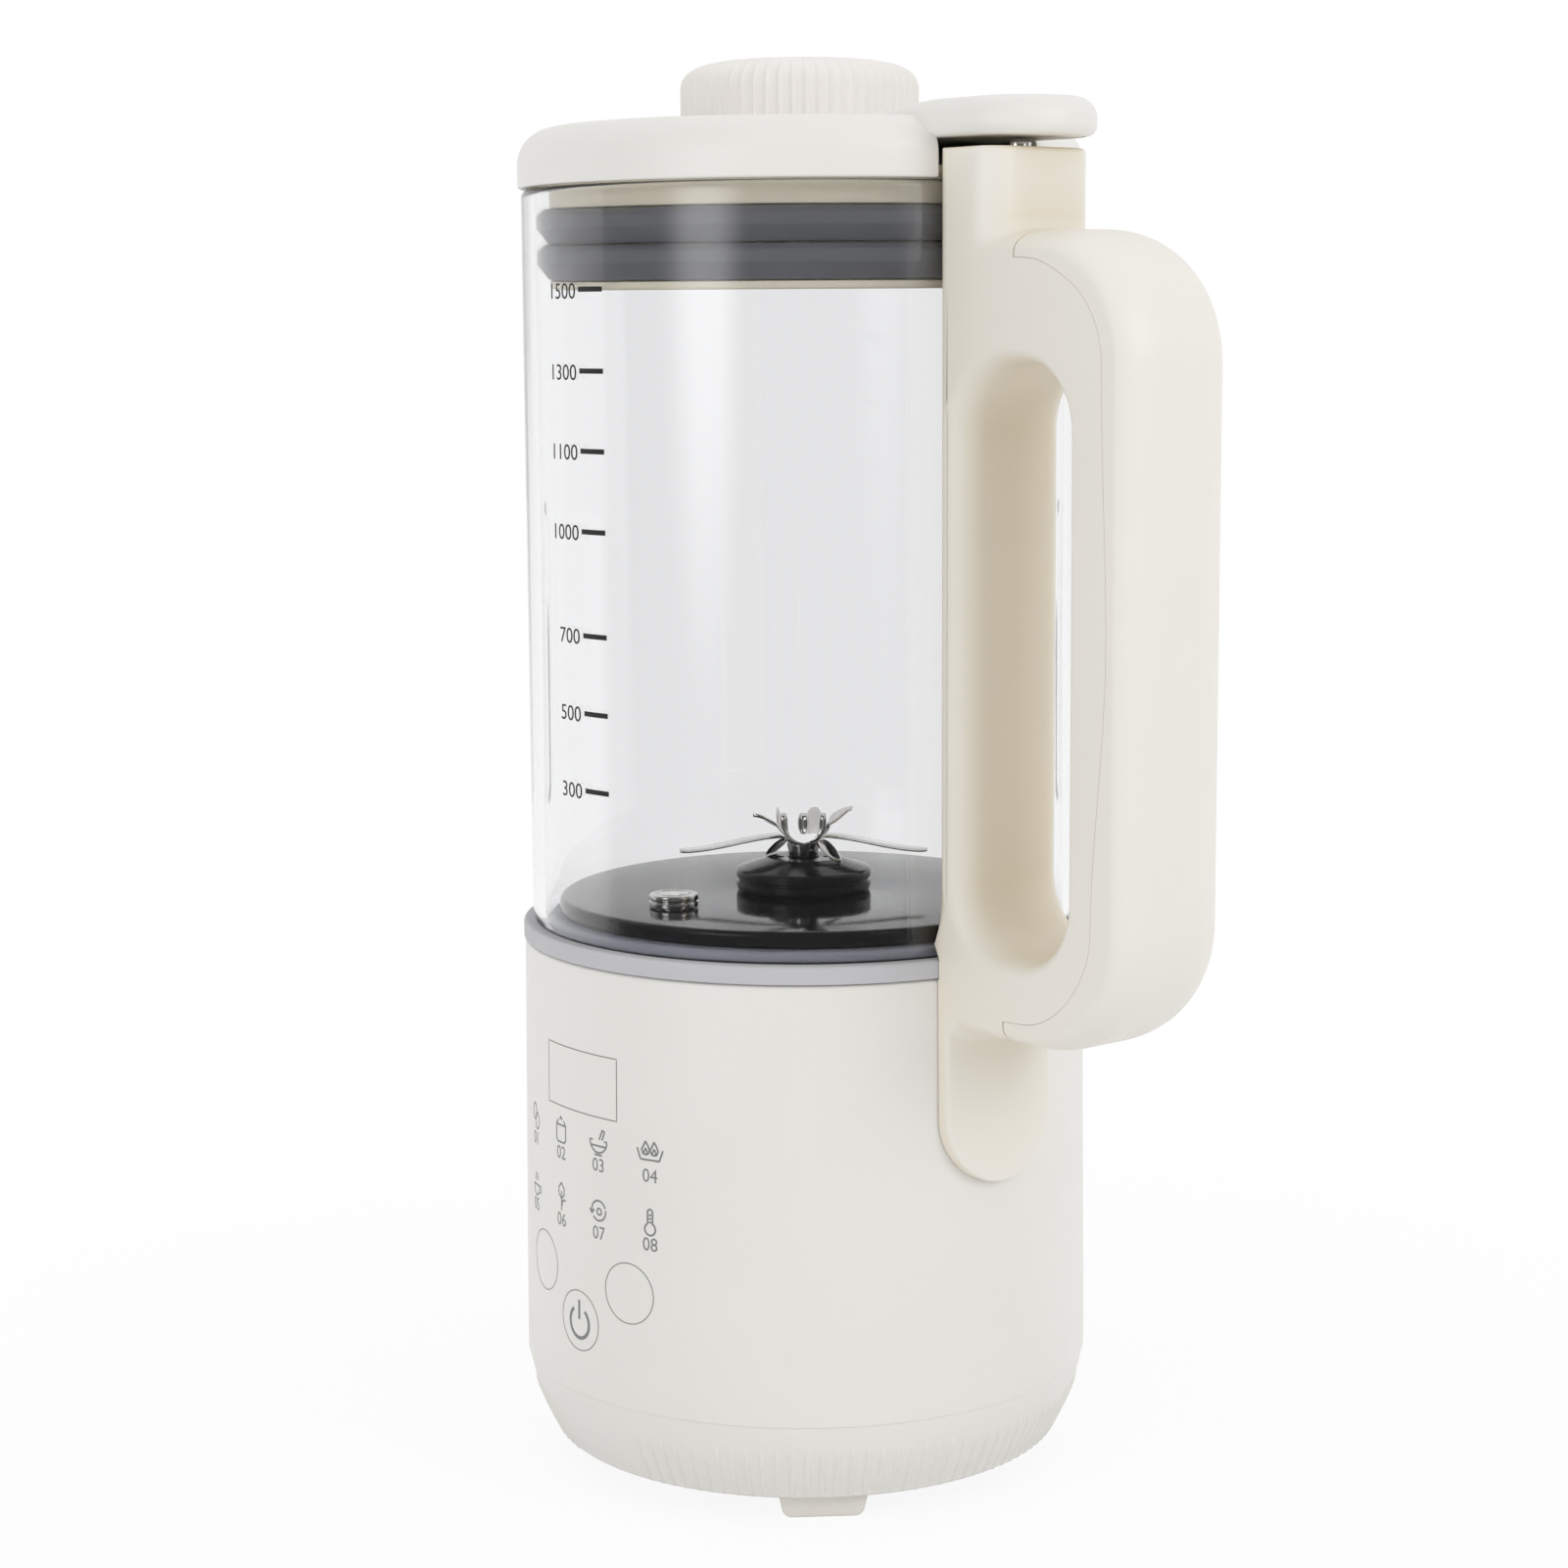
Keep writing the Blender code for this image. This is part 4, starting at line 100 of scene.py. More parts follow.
class MilkMakerSizes(bpy.types.PropertyGroup):
    """Lengths of the finish that a user may change."""

    glass_wall: bpy.props.FloatProperty(
        name="Glass wall", description="Thickness of the jug's glass",
        default=0.003, min=0.001, max=0.005, unit="LENGTH")
    rib_depth: bpy.props.FloatProperty(
        name="Glass rib depth", description="How far the moulded ribs stand into the jug",
        default=0.0008, min=0.0002, max=0.006, unit="LENGTH")
    rib_width: bpy.props.FloatProperty(
        name="Glass rib width", description="Width of a moulded rib at its foot",
        default=0.0112, min=0.004, max=0.015, unit="LENGTH")
    skirt_rib_height: bpy.props.FloatProperty(
        name="Skirt rib height", description="How far the skirt's fine ribs stand out",
        default=0.0006, min=0.0, max=0.0006, unit="LENGTH")
    skirt_rib_count: bpy.props.IntProperty(
        name="Skirt ribs", description="Number of fine ribs round the skirt", default=110, min=20)
    knob_rib_height: bpy.props.FloatProperty(
        name="Knob rib height", description="How far the feed cap's ribs stand out",
        default=0.0005, min=0.0, max=0.0005, unit="LENGTH")
    knob_rib_count: bpy.props.IntProperty(
        name="Knob ribs", description="Number of ribs round the feed cap", default=58, min=12)
    finger_edge: bpy.props.FloatProperty(
        name="Finger gap edge", description="Rounding of the finger gap's edge on the column's side",
        default=0.0062, min=0.001, max=0.007, unit="LENGTH")
    grip_edge: bpy.props.FloatProperty(
        name="Grip edge", description="Rounding of the finger gap's edge on the grip's side",
        default=0.0012, min=0.0005, max=0.006, unit="LENGTH")
    digit_height: bpy.props.FloatProperty(
        name="Scale digit height", description="Height of the digits on the glass",
        default=0.0035, min=0.002, max=0.006, unit="LENGTH")
    line_width: bpy.props.FloatProperty(
        name="Panel line width", description="Width of the fine lines printed on the panel",
        default=0.00019, min=0.0001, max=0.001, unit="LENGTH")


def colour_property(name, description, red, green, blue):
    """A colour setting with its default in linear light."""
    return bpy.props.FloatVectorProperty(name=name, description=description, subtype="COLOR",
                                         size=3, min=0, max=1, default=(red, green, blue))


class MilkMakerColours(bpy.types.PropertyGroup):
    """Colours that a user may change."""

    shell: colour_property("Shell", "Base, skirt and lid", 0.83, 0.815, 0.78)
    cream: colour_property("Cream", "Handle and feet", 0.85, 0.825, 0.765)
    cap: colour_property("Cap", "Ribbed feed cap", 0.88, 0.85, 0.82)
    plug: colour_property("Plug", "Lid plug inside the glass", 0.98, 0.91, 0.74)
    seat: colour_property("Seat ring", "Silicone ring under the glass", 0.56, 0.56, 0.585)
    seal: colour_property("Seals", "Silicone seals of the lid and the cap", 0.20, 0.205, 0.225)
    gasket: colour_property("Gasket", "Silicone round the heating plate", 0.40, 0.42, 0.49)
    enamel: colour_property("Plate", "Coated heating plate", 0.012, 0.012, 0.014)
    black: colour_property("Black plastic", "Bearing nut, fan and inlet", 0.014, 0.014, 0.016)
    steel: colour_property("Steel", "Blades, button and screws", 0.62, 0.61, 0.59)
    copper: colour_property("Copper", "Windings and commutator", 0.55, 0.24, 0.09)
    board: colour_property("Boards", "Circuit boards", 0.02, 0.16, 0.06)
    glass_ink: colour_property("Scale ink", "Print on the glass", 0.012, 0.012, 0.013)
    panel_ink: colour_property("Panel ink", "Print on the panel", 0.24, 0.24, 0.24)


# Shapes worked out as whole arrays

def unit(rows):
    """The same directions at length 1."""
    return rows / np.linalg.norm(rows, axis=-1, keepdims=True)


def rounded(corners, steps=6):
    """A closed outline through corners (across, up, radius). A corner with a radius becomes the arc that
    touches both of its sides, found by turning one contact arm into the other by equal angles. Across and
    up may be arrays, one value for each level of a piece, and the outline then has a row for each."""
    places = [np.stack(np.broadcast_arrays(np.asarray(across, float), np.asarray(up, float)), -1)
              for across, up, _ in corners]
    shape = np.broadcast_shapes(*[place.shape for place in places])
    places = [np.broadcast_to(place, shape) for place in places]
    shares = np.linspace(0, 1, steps + 1)[:, None]
    parts = []
    for index, (_, _, radius) in enumerate(corners):
        here = places[index]
        if radius == 0:
            parts.append(here[..., None, :])
            continue
        before = unit(places[index - 1] - here)
        after = unit(places[(index + 1) % len(places)] - here)
        half = np.arccos(np.clip((before * after).sum(-1, keepdims=True), -1, 1)) / 2
        touch = radius / np.tan(half)
        centre = here + unit(before + after) * radius / np.sin(half)
        first = (here + before * touch - centre)[..., None, :]
        last = (here + after * touch - centre)[..., None, :]
        sweep = (np.pi - 2 * half)[..., None, :]
        turned_arm = np.sin((1 - shares) * sweep) * first + np.sin(shares * sweep) * last
        parts.append(centre[..., None, :] + turned_arm / np.sin(sweep))
    return np.concatenate(parts, axis=-2)


def arc(across, up, radius, start, end, steps=8):
    """Points on an arc between two angles in degrees: centre plus radius times cosine and sine."""
    angles = np.radians(np.linspace(start, end, steps + 1))
    return np.stack([across + radius * np.cos(angles), up + radius * np.sin(angles)], -1)


def from_front(radius, angles):
    """Places at a radius and at angles measured from the panel (-Y) towards the handle (+X)."""
    return radius * np.sin(angles), -radius * np.cos(angles)


def even_angles(count):
    """Angles spread evenly over a full turn."""
    return np.linspace(0, 2 * np.pi, count, endpoint=False)


def around(outline, angles, swell=0):
    """Surface of revolution: an outline point (radius, height) at angle a goes to radius times
    (sin a, -cos a) and its height. Swell is added to the radius and may differ from point to point."""
    radius = outline[:, 0][:, None] + swell
    radius = radius + np.zeros((1, len(angles)))
    across, back = from_front(radius, angles[None, :])
    up = np.broadcast_to(outline[:, 1][:, None], radius.shape)
    return np.stack([across, back, up], -1)


def grid_faces(points, wrap_rows, wrap_columns):
    """Four-sided faces between neighbours on a grid of points."""
    rows, columns = points.shape[:2]
    index = np.arange(rows * columns).reshape(rows, columns)
    if wrap_rows:
        index = np.concatenate([index, index[:1]], 0)
    if wrap_columns:
        index = np.concatenate([index, index[:, :1]], 1)
    corners = [index[:-1, :-1], index[:-1, 1:], index[1:, 1:], index[1:, :-1]]
    return np.stack(corners, -1).reshape(-1, 4)


def smooth_step(values, start, end):
    """A soft rise from 0 to 1 between two values: 3s^2 - 2s^3 of the share s of the way."""
    share = np.clip((values - start) / (end - start), 0, 1)
    return share * share * (3 - 2 * share)


def edge_drop(values, start, end, depth):
    """How far a round edge has dropped between its start and its end, as on a quarter ellipse."""
    share = np.clip((values - start) / (end - start), 0, 1)
    return depth * (1 - np.sqrt(1 - share * share))


def finish_mesh(name, bm, material, sharp):
    """Write the mesh at its place beside the jug's axis, smooth it and give it its material."""
    bmesh.ops.recalc_face_normals(bm, faces=bm.faces)
    mesh = bpy.data.meshes.new(name)
    bm.to_mesh(mesh)
    bm.free()
    mesh.transform(Matrix.Translation((AXIS, 0, 0)))
    mesh.shade_smooth()
    mesh.set_sharp_from_angle(angle=np.radians(sharp))
    mesh.materials.clear()
    mesh.materials.append(material)
    piece = bpy.data.objects.new(name, mesh)
    bpy.context.scene.collection.objects.link(piece)
    return piece


def mesh_of(parts, weld=0.0000005):
    """One mesh from several grids (points, wrap rows, wrap columns), with their shared edges welded."""
    points = []
    faces = []
    offset = 0
    for grid, wrap_rows, wrap_columns in parts:
        points.append(grid.reshape(-1, 3))
        faces.append(grid_faces(grid, wrap_rows, wrap_columns) + offset)
        offset += grid.shape[0] * grid.shape[1]
    mesh = bpy.data.meshes.new("grid")
    mesh.from_pydata(np.concatenate(points).tolist(), [], np.concatenate(faces).tolist())
    bm = bmesh.new()
    bm.from_mesh(mesh)
    bpy.data.meshes.remove(mesh)
    bmesh.ops.remove_doubles(bm, verts=bm.verts, dist=weld)
    return bm


def surface(name, parts, material, sharp=40, capped=False):
    """A piece made of grids. Where it is capped, each open end is closed by one flat face."""
    bm = mesh_of(parts)
    if capped:
        bmesh.ops.holes_fill(bm, edges=bm.edges, sides=0)
    return finish_mesh(name, bm, material, sharp)


def turned(name, outline, material, count=192, ring=True):
    """A surface of revolution of a closed outline, or of one that runs from pole to pole."""
    return surface(name, [(around(outline, even_angles(count)), ring, True)], material)


def slab(name, outline, low, high, edge, material):
    """A flat piece: its outline, pulled in along its own normals by a quarter circle at the top and the
    bottom, carried up Z. The two end faces are flat."""
    outline = np.asarray(outline, float)
    ahead = np.roll(outline, -1, 0) - outline
    behind = outline - np.roll(outline, 1, 0)
    along = unit(unit(ahead) + unit(behind))
    inward = np.stack([-along[:, 1], along[:, 0]], -1)
    angles = np.radians(np.linspace(0, 90, 5))
    falling = edge * (1 - np.sin(angles))
    rising = edge * (1 - np.cos(angles))
    inset = np.concatenate([falling, rising])
    height = np.concatenate([low + rising, high - falling])
    flat = outline[None] + inward[None] * inset[:, None, None]
    up = np.broadcast_to(height[:, None, None], (*flat.shape[:2], 1))
    return surface(name, [(np.concatenate([flat, up], -1), False, True)], material, capped=True)


def drill(radius, low, high, centre, material, count=24):
    """A plain rod for cutting a round hole: a turned rectangle at a place (across, back) off the axis."""
    outline = np.array([(0, low), (radius, low), (radius, high), (0, high)])
    points = around(outline, even_angles(count)) + np.array([*centre, 0])
    return surface("drill", [(points, False, True)], material)


def cut(target, *tools):
    """Take the tools' shapes out of the target, then remove the tools."""
    return combine(target, "DIFFERENCE", tools)


def join(target, *tools):
    """Add the tools' shapes to the target, then remove the tools."""
    return combine(target, "UNION", tools)


def combine(target, operation, tools):
    """Apply an exact Boolean of the target with each tool."""
    sharp = 40
    for tool in tools:
        step = target.modifiers.new(tool.name, "BOOLEAN")
        step.operation = operation
        step.solver = "EXACT"
        step.object = tool
    view = bpy.context.evaluated_depsgraph_get()
    mesh = bpy.data.meshes.new_from_object(target.evaluated_get(view))
    target.modifiers.clear()
    target.data = mesh
    mesh.shade_smooth()
    mesh.set_sharp_from_angle(angle=np.radians(sharp))
    for tool in tools:
        bpy.data.objects.remove(tool)
    return target


def turn(piece, degrees, about="Z"):
    """Turn a piece's mesh about a line through the foot of the jug's axis."""
    centre = Matrix.Translation((AXIS, 0, 0))
    rotation = Matrix.Rotation(np.radians(degrees), 4, about)
    piece.data.transform(centre @ rotation @ centre.inverted())
    return piece


def place(piece, body, slot, *nodes):
    """Let a finished piece ride on its body and hide the CAD nodes it stands for. The slot is not used."""
    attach(piece, body)
    if nodes:
        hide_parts(*nodes)
    return piece


# Finishes

def new_finish(name):
    """An empty node material with its shader and its object coordinates."""
    finish = bpy.data.materials.new(name)
    finish.use_nodes = True
    tree = finish.node_tree
    shader = tree.nodes["Principled BSDF"]
    coordinates = tree.nodes.new("ShaderNodeTexCoord")
    return finish, tree, shader, coordinates.outputs["Object"]


def noise(tree, source, size, detail=2.0, stretch=None):
    """A noise pattern whose spots are about size metres across, stretched along the axes if asked."""
    if stretch:
        mapping = tree.nodes.new("ShaderNodeMapping")
        mapping.inputs["Scale"].default_value = stretch
        tree.links.new(source, mapping.inputs["Vector"])
        source = mapping.outputs["Vector"]
    pattern = tree.nodes.new("ShaderNodeTexNoise")
    pattern.inputs["Scale"].default_value = 1 / size
    pattern.inputs["Detail"].default_value = detail
    tree.links.new(source, pattern.inputs["Vector"])
    return pattern.outputs["Fac"]


def between(tree, share, low, high):
    """A value between low and high that follows a noise, which seldom leaves 0.3 to 0.7."""
    usual_low = 0.3
    usual_high = 0.7
    node = tree.nodes.new("ShaderNodeMapRange")
    node.inputs["From Min"].default_value = usual_low
    node.inputs["From Max"].default_value = usual_high
    node.inputs["To Min"].default_value = low
    node.inputs["To Max"].default_value = high
    tree.links.new(share, node.inputs["Value"])
    return node.outputs["Result"]


def blend_colours(tree, share, low, high):
    """A colour between two that follows a pattern."""
    node = tree.nodes.new("ShaderNodeMix")
    node.data_type = "RGBA"
    node.inputs["A"].default_value = (*low, 1)
    node.inputs["B"].default_value = (*high, 1)
    tree.links.new(share, node.inputs["Factor"])
    return node.outputs["Result"]


def relief(tree, shader, height, depth):
    """Bump the shader's surface by a pattern that is depth metres high, on top of any bump it has."""
    node = tree.nodes.new("ShaderNodeBump")
    node.inputs["Distance"].default_value = depth
    node.inputs["Strength"].default_value = 1.0
    tree.links.new(height, node.inputs["Height"])
    if shader.inputs["Normal"].is_linked:
        tree.links.new(shader.inputs["Normal"].links[0].from_socket, node.inputs["Normal"])
    tree.links.new(node.outputs["Normal"], shader.inputs["Normal"])


def scaled(colour, factor):
    """A colour made lighter or darker."""
    return tuple(min(1, value * factor) for value in colour)


def moulded(name, colour, gloss, grain=0.0006, grain_depth=0.000004, spread=0.02, hollow=None, bend=1.45):
    """Moulded plastic or rubber: slow drifts in colour and gloss, and the fine grain of the mould over its
    faint waves. Where a tint for its hollows is given, a warm shade is painted into its base colour
    wherever other surfaces stand near, in place of the light that comes through its walls."""
    drift_size = 0.03
    wear_size = 0.006
    wave_size = 0.012
    finish, tree, shader, coordinates = new_finish(name)
    drift = noise(tree, coordinates, drift_size, 3.0)
    tone = blend_colours(tree, drift, scaled(colour, 1 - spread), scaled(colour, 1 + spread))
    # Painted warm shade: the base colour turns darker and warmer where other surfaces stand near
    if hollow:
        tone = tinted_hollows(tree, tone, hollow)
    tree.links.new(tone, shader.inputs["Base Color"])
    wear = noise(tree, coordinates, wear_size, 4.0)
    tree.links.new(between(tree, wear, gloss * 0.9, gloss * 1.15), shader.inputs["Roughness"])
    relief(tree, shader, noise(tree, coordinates, grain, 2.0), grain_depth)
    relief(tree, shader, noise(tree, coordinates, wave_size, 1.0), grain_depth * 6)
    shader.inputs["IOR"].default_value = bend
    return finish


def tinted_hollows(tree, tone, tint):
    """Painted warm shade: a tone that is multiplied by a tint where other surfaces stand within a hand's
    width, in place of the light that passes through translucent plastic into its hollows.
    """
    reach = 0.08
    product = tree.nodes.new("ShaderNodeMix")
    product.data_type = "RGBA"
    product.blend_type = "MULTIPLY"
    product.inputs["Factor"].default_value = 1.0
    product.inputs["B"].default_value = (*tint, 1)
    tree.links.new(tone, product.inputs["A"])
    # Occlusion decides where the warm shade is painted
    openness = tree.nodes.new("ShaderNodeAmbientOcclusion")
    openness.inputs["Distance"].default_value = reach
    blend = tree.nodes.new("ShaderNodeMix")
    blend.data_type = "RGBA"
    tree.links.new(openness.outputs["AO"], blend.inputs["Factor"])
    tree.links.new(product.outputs["Result"], blend.inputs["A"])
    tree.links.new(tone, blend.inputs["B"])
    return blend.outputs["Result"]


def metal(name, colour, gloss, stretch):
    """Drawn or brushed metal: long fine scratches in its gloss and height, and faint clouds in its tone."""
    scratch_width = 0.0004
    scratch_depth = 0.000001
    cloud_size = 0.004
    spread = 0.06
    finish, tree, shader, coordinates = new_finish(name)
    scratches = noise(tree, coordinates, scratch_width, 3.0, stretch)
    clouds = noise(tree, coordinates, cloud_size, 3.0)
    tone = blend_colours(tree, clouds, scaled(colour, 1 - spread), scaled(colour, 1 + spread))
    tree.links.new(tone, shader.inputs["Base Color"])
    tree.links.new(between(tree, scratches, gloss * 0.7, gloss * 1.4), shader.inputs["Roughness"])
    relief(tree, shader, scratches, scratch_depth)
    shader.inputs["Metallic"].default_value = 1.0
    return finish


def enamelled(name, colour):
    """The glossy coat of the heating plate: a pebbled skin with pinhead specks."""
    pebble_size = 0.0011
    specks_per_metre = 900
    speck_depth = 0.000008
    wave_size = 0.004
    wave_depth = 0.000010
    finish, tree, shader, coordinates = new_finish(name)
    pebbles = noise(tree, coordinates, pebble_size, 3.0)
    specks = tree.nodes.new("ShaderNodeTexVoronoi")
    specks.inputs["Scale"].default_value = specks_per_metre
    tree.links.new(coordinates, specks.inputs["Vector"])
    tone = blend_colours(tree, pebbles, scaled(colour, 0.6), scaled(colour, 1.6))
    tree.links.new(tone, shader.inputs["Base Color"])
    tree.links.new(between(tree, pebbles, 0.05, 0.12), shader.inputs["Roughness"])
    relief(tree, shader, specks.outputs["Distance"], speck_depth)
    relief(tree, shader, noise(tree, coordinates, wave_size, 2.0), wave_depth)
    shader.inputs["IOR"].default_value = 1.36
    return finish


def blown_glass(name, tint):
    """Clear borosilicate glass with the slow waviness of a blown wall."""
    wave_size = 0.022
    wave_depth = 0.000006
    breath_size = 0.004
    finish, tree, shader, coordinates = new_finish(name)
    waves = noise(tree, coordinates, wave_size, 1.0, (1.0, 1.0, 0.35))
    tone = blend_colours(tree, waves, scaled(tint, 0.99), tint)
    tree.links.new(tone, shader.inputs["Base Color"])
    breath = noise(tree, coordinates, breath_size, 2.0)
    tree.links.new(between(tree, breath, 0.0, 0.012), shader.inputs["Roughness"])
    relief(tree, shader, waves, wave_depth)
    shader.inputs["Transmission Weight"].default_value = 1.0
    shader.inputs["IOR"].default_value = 1.47
    return finish


def printed(name, colour):
    """Printed ink with a faint mottle."""
    mottle_size = 0.0004
    gloss = 0.5
    finish, tree, shader, coordinates = new_finish(name)
    mottle = noise(tree, coordinates, mottle_size, 3.0)
    tone = blend_colours(tree, mottle, scaled(colour, 0.85), scaled(colour, 1.15))
    tree.links.new(tone, shader.inputs["Base Color"])
    tree.links.new(between(tree, mottle, gloss * 0.9, gloss * 1.1), shader.inputs["Roughness"])
    return finish


def circuit(name, colour):
    """A lacquered board: copper lanes show through the lacquer as paler lines."""
    lanes_per_metre = 260
    lane_width = 0.06
    lane_depth = 0.00003
    gloss_size = 0.002
    finish, tree, shader, coordinates = new_finish(name)
    lanes = tree.nodes.new("ShaderNodeTexBrick")
    lanes.inputs["Scale"].default_value = lanes_per_metre
    lanes.inputs["Mortar Size"].default_value = lane_width
    lanes.inputs["Color1"].default_value = (*colour, 1)
    lanes.inputs["Color2"].default_value = (*scaled(colour, 0.8), 1)
    lanes.inputs["Mortar"].default_value = (*scaled(colour, 2.2), 1)
    tree.links.new(coordinates, lanes.inputs["Vector"])
    tree.links.new(lanes.outputs["Color"], shader.inputs["Base Color"])
    lacquer = noise(tree, coordinates, gloss_size)
    tree.links.new(between(tree, lacquer, 0.3, 0.5), shader.inputs["Roughness"])
    relief(tree, shader, lanes.outputs["Fac"], lane_depth)
    return finish


def wound(name, colour):
    """Enamelled wire: fine turns as bands of height and tone."""
    turns_per_metre = 450
    turn_depth = 0.0001
    gloss_size = 0.001
    finish, tree, shader, coordinates = new_finish(name)
    turns = tree.nodes.new("ShaderNodeTexWave")
    turns.bands_direction = "Z"
    turns.inputs["Scale"].default_value = turns_per_metre
    turns.inputs["Distortion"].default_value = 1.5
    tree.links.new(coordinates, turns.inputs["Vector"])
    tone = blend_colours(tree, turns.outputs["Fac"], scaled(colour, 0.6), scaled(colour, 1.2))
    tree.links.new(tone, shader.inputs["Base Color"])
    varnish = noise(tree, coordinates, gloss_size)
    tree.links.new(between(tree, varnish, 0.25, 0.4), shader.inputs["Roughness"])
    relief(tree, shader, turns.outputs["Fac"], turn_depth)
    shader.inputs["Metallic"].default_value = 0.8
    return finish


def finish_for(kind):
    """The finish of one kind, made once and then shared by every piece of that kind."""
    if kind in bpy.data.materials:
        return bpy.data.materials[kind]
    colours = bpy.context.scene.milk_maker_colours
    makers = {
        "satin shell plastic": lambda name: moulded(name, colours.shell, 0.36),
        # The handle's plastic has warm shade painted into its hollows
        "cream handle plastic": lambda name: moulded(name, colours.cream, 0.40, hollow=WARM_PAINTED_SHADE),
        "foot rubber": lambda name: moulded(name, colours.cream, 0.55),
        "ribbed cap plastic": lambda name: moulded(name, colours.cap, 0.42),
        "warm plug plastic": lambda name: moulded(name, colours.plug, 0.45),
        "seat silicone": lambda name: moulded(name, colours.seat, 0.55, 0.0004, 0.000006, 0.05),
        "gasket silicone": lambda name: moulded(name, colours.gasket, 0.50, 0.0004, 0.000004, 0.05),
        "seal silicone": lambda name: moulded(name, colours.seal, 0.50, 0.0004, 0.000006, 0.08),
        "black moulding": lambda name: moulded(name, colours.black, 0.16, 0.0008, 0.000001, 0.25,
                                               bend=1.38),
        "coated plate": lambda name: enamelled(name, colours.enamel),
        "polished steel": lambda name: metal(name, colours.steel, 0.10, (1.0, 1.0, 14.0)),
        "drawn steel": lambda name: metal(name, colours.steel, 0.24, (14.0, 1.0, 1.0)),
        "stacked iron": lambda name: metal(name, scaled(colours.steel, 0.5), 0.4, (1.0, 1.0, 40.0)),
        "wound copper": lambda name: wound(name, colours.copper),
        "turned copper": lambda name: metal(name, colours.copper, 0.3, (1.0, 1.0, 12.0)),
        "pressed carbon": lambda name: moulded(name, (0.03, 0.03, 0.03), 0.7, 0.0003, 0.00001, 0.3),
        "lacquered board": lambda name: circuit(name, colours.board),
        "blown glass": lambda name: blown_glass(name, (0.940, 0.942, 0.948)),
        "scale ink": lambda name: printed(name, colours.glass_ink),
        "panel ink": lambda name: printed(name, colours.panel_ink),
    }
    return makers[kind](kind)


# Base

def rib_columns(count, plain, samples):
    """Angles of the columns round a ribbed wall, and how far each lies up a rib. Count ribs share the turn
    outside the plain front sector; a rib's crest is half a cosine wave over a third of its pitch."""
    crest_half = 0.17
    pitch = (2 * np.pi - 2 * plain) / count
    phase = np.tile(np.arange(samples) / samples, count)
    ribbed = plain + pitch * (np.repeat(np.arange(count), samples) + phase)
    front = np.linspace(-plain, plain, 3 * samples if plain else 0, endpoint=False)
    away = np.abs(phase - 0.5)
    crest = np.clip(np.cos(away * np.pi / (2 * crest_half)), 0, 1) * (away < crest_half)
    return np.concatenate([front, ribbed]), np.concatenate([0 * front, crest])


def skirt_radius(share):
    """The skirt's outer radius at a share of the way down: the top radius less a drop that grows with the
    share to the power 1.45."""
    return SKIRT_TOP_RADIUS - (SKIRT_TOP_RADIUS - SKIRT_FOOT_RADIUS) * share ** 1.45


def build_skirt():
    """The ribbed bowl under the shell and its floor with air slots and screw holes."""
    sizes = bpy.context.scene.milk_maker_sizes
    plastic = finish_for("satin shell plastic")
    low = SKIRT_LOW[2]
    top = SKIRT_HIGH[2]
    depth = top - low
    wall = 0.0022
    corner = 0.0013
    bevel = 0.0001
    opening = 0.0548
    ribs_start = 0.26
    ribs_full = 0.42
    plain_half = np.radians(12.0)
    share = np.linspace(0, 1 - corner / depth, 44)
    outer = np.stack([skirt_radius(share), top - depth * share], -1)
    outer[0, 0] -= bevel
    bend = arc(outer[-1, 0] - corner, low + corner, corner, 0, -90, 6)
    rising = np.linspace(share[-1], 0, 12)
    inner = np.stack([skirt_radius(rising) - wall, np.maximum(top - depth * rising, low + wall)], -1)
    outline = np.concatenate([outer, bend[1:], [(opening, low), (opening, low + wall)], inner])
    lift = smooth_step(share, ribs_start, ribs_full)
    lift = np.concatenate([lift, np.linspace(1, 0, len(bend))[1:], np.zeros(2 + len(inner))])
    angles, crest = rib_columns(sizes.skirt_rib_count, plain_half, 12)
    swell = sizes.skirt_rib_height * lift[:, None] * crest[None, :]
    skirt = surface("ribbed_skirt", [(around(outline, angles, swell), True, True)], plastic, 50)
    place(skirt, "base", "white_shell", "base_skirt")

    floor_radius = 0.0546
    floor_edge = 0.0004
    past = 0.002
    disc = rounded([(0, low, 0), (floor_radius, low, floor_edge), (floor_radius, low + wall, floor_edge),
                    (0, low + wall, 0)], 3)
    floor = turned("skirt_floor", disc, plastic, 96, ring=False)
    slot_start = 0.012
    slot_end = 0.027
    slot_half = 0.0015
    slot_corner = 0.0014
    slot_count = 12
    slot_plan = rounded([
        (slot_start, -slot_half, slot_corner), (slot_end, -slot_half, slot_corner),
        (slot_end, slot_half, slot_corner), (slot_start, slot_half, slot_corner)], 4)
    tools = []
    for index in range(slot_count):
        slot = slab("slot", slot_plan, low - past, low + wall + past, bevel, plastic)
        tools.append(turn(slot, 360 / slot_count * (index + 0.5)))
    screw_circle = 0.0490
    screw_radius = 0.0018
    for angle in (0, 120, 240):
        centre = from_front(screw_circle, np.radians(angle))
        tools.append(drill(screw_radius, low - past, low + 2 * past, centre, plastic))
    cut(floor, *tools)
    place(floor, "base", "white_shell")


def build_feet():
    """Four feet: a tapered block with round lower corners, rounded a little at its faces."""
    plastic = finish_for("foot rubber")
    high = SKIRT_LOW[2] - GAP
    upper_half = 0.0100
    lower_half = 0.00875
    corner = 0.0023
    face = 0.0532
    depth = 0.0105
    edge = 0.0006
    outline = rounded([(upper_half, high, 0), (-upper_half, high, 0), (-lower_half, 0, corner),
                       (lower_half, 0, corner)], 8)
    for name, angle in (("foot_front_right", 54), ("foot_front_left", -54),
                        ("foot_rear_right", 144), ("foot_rear_left", -144)):
        foot = slab(name + "_finish", outline, face - depth, face, edge, plastic)
        turn(foot, 90, "X")
        place(turn(foot, angle), "base", "cream_plastic", name)


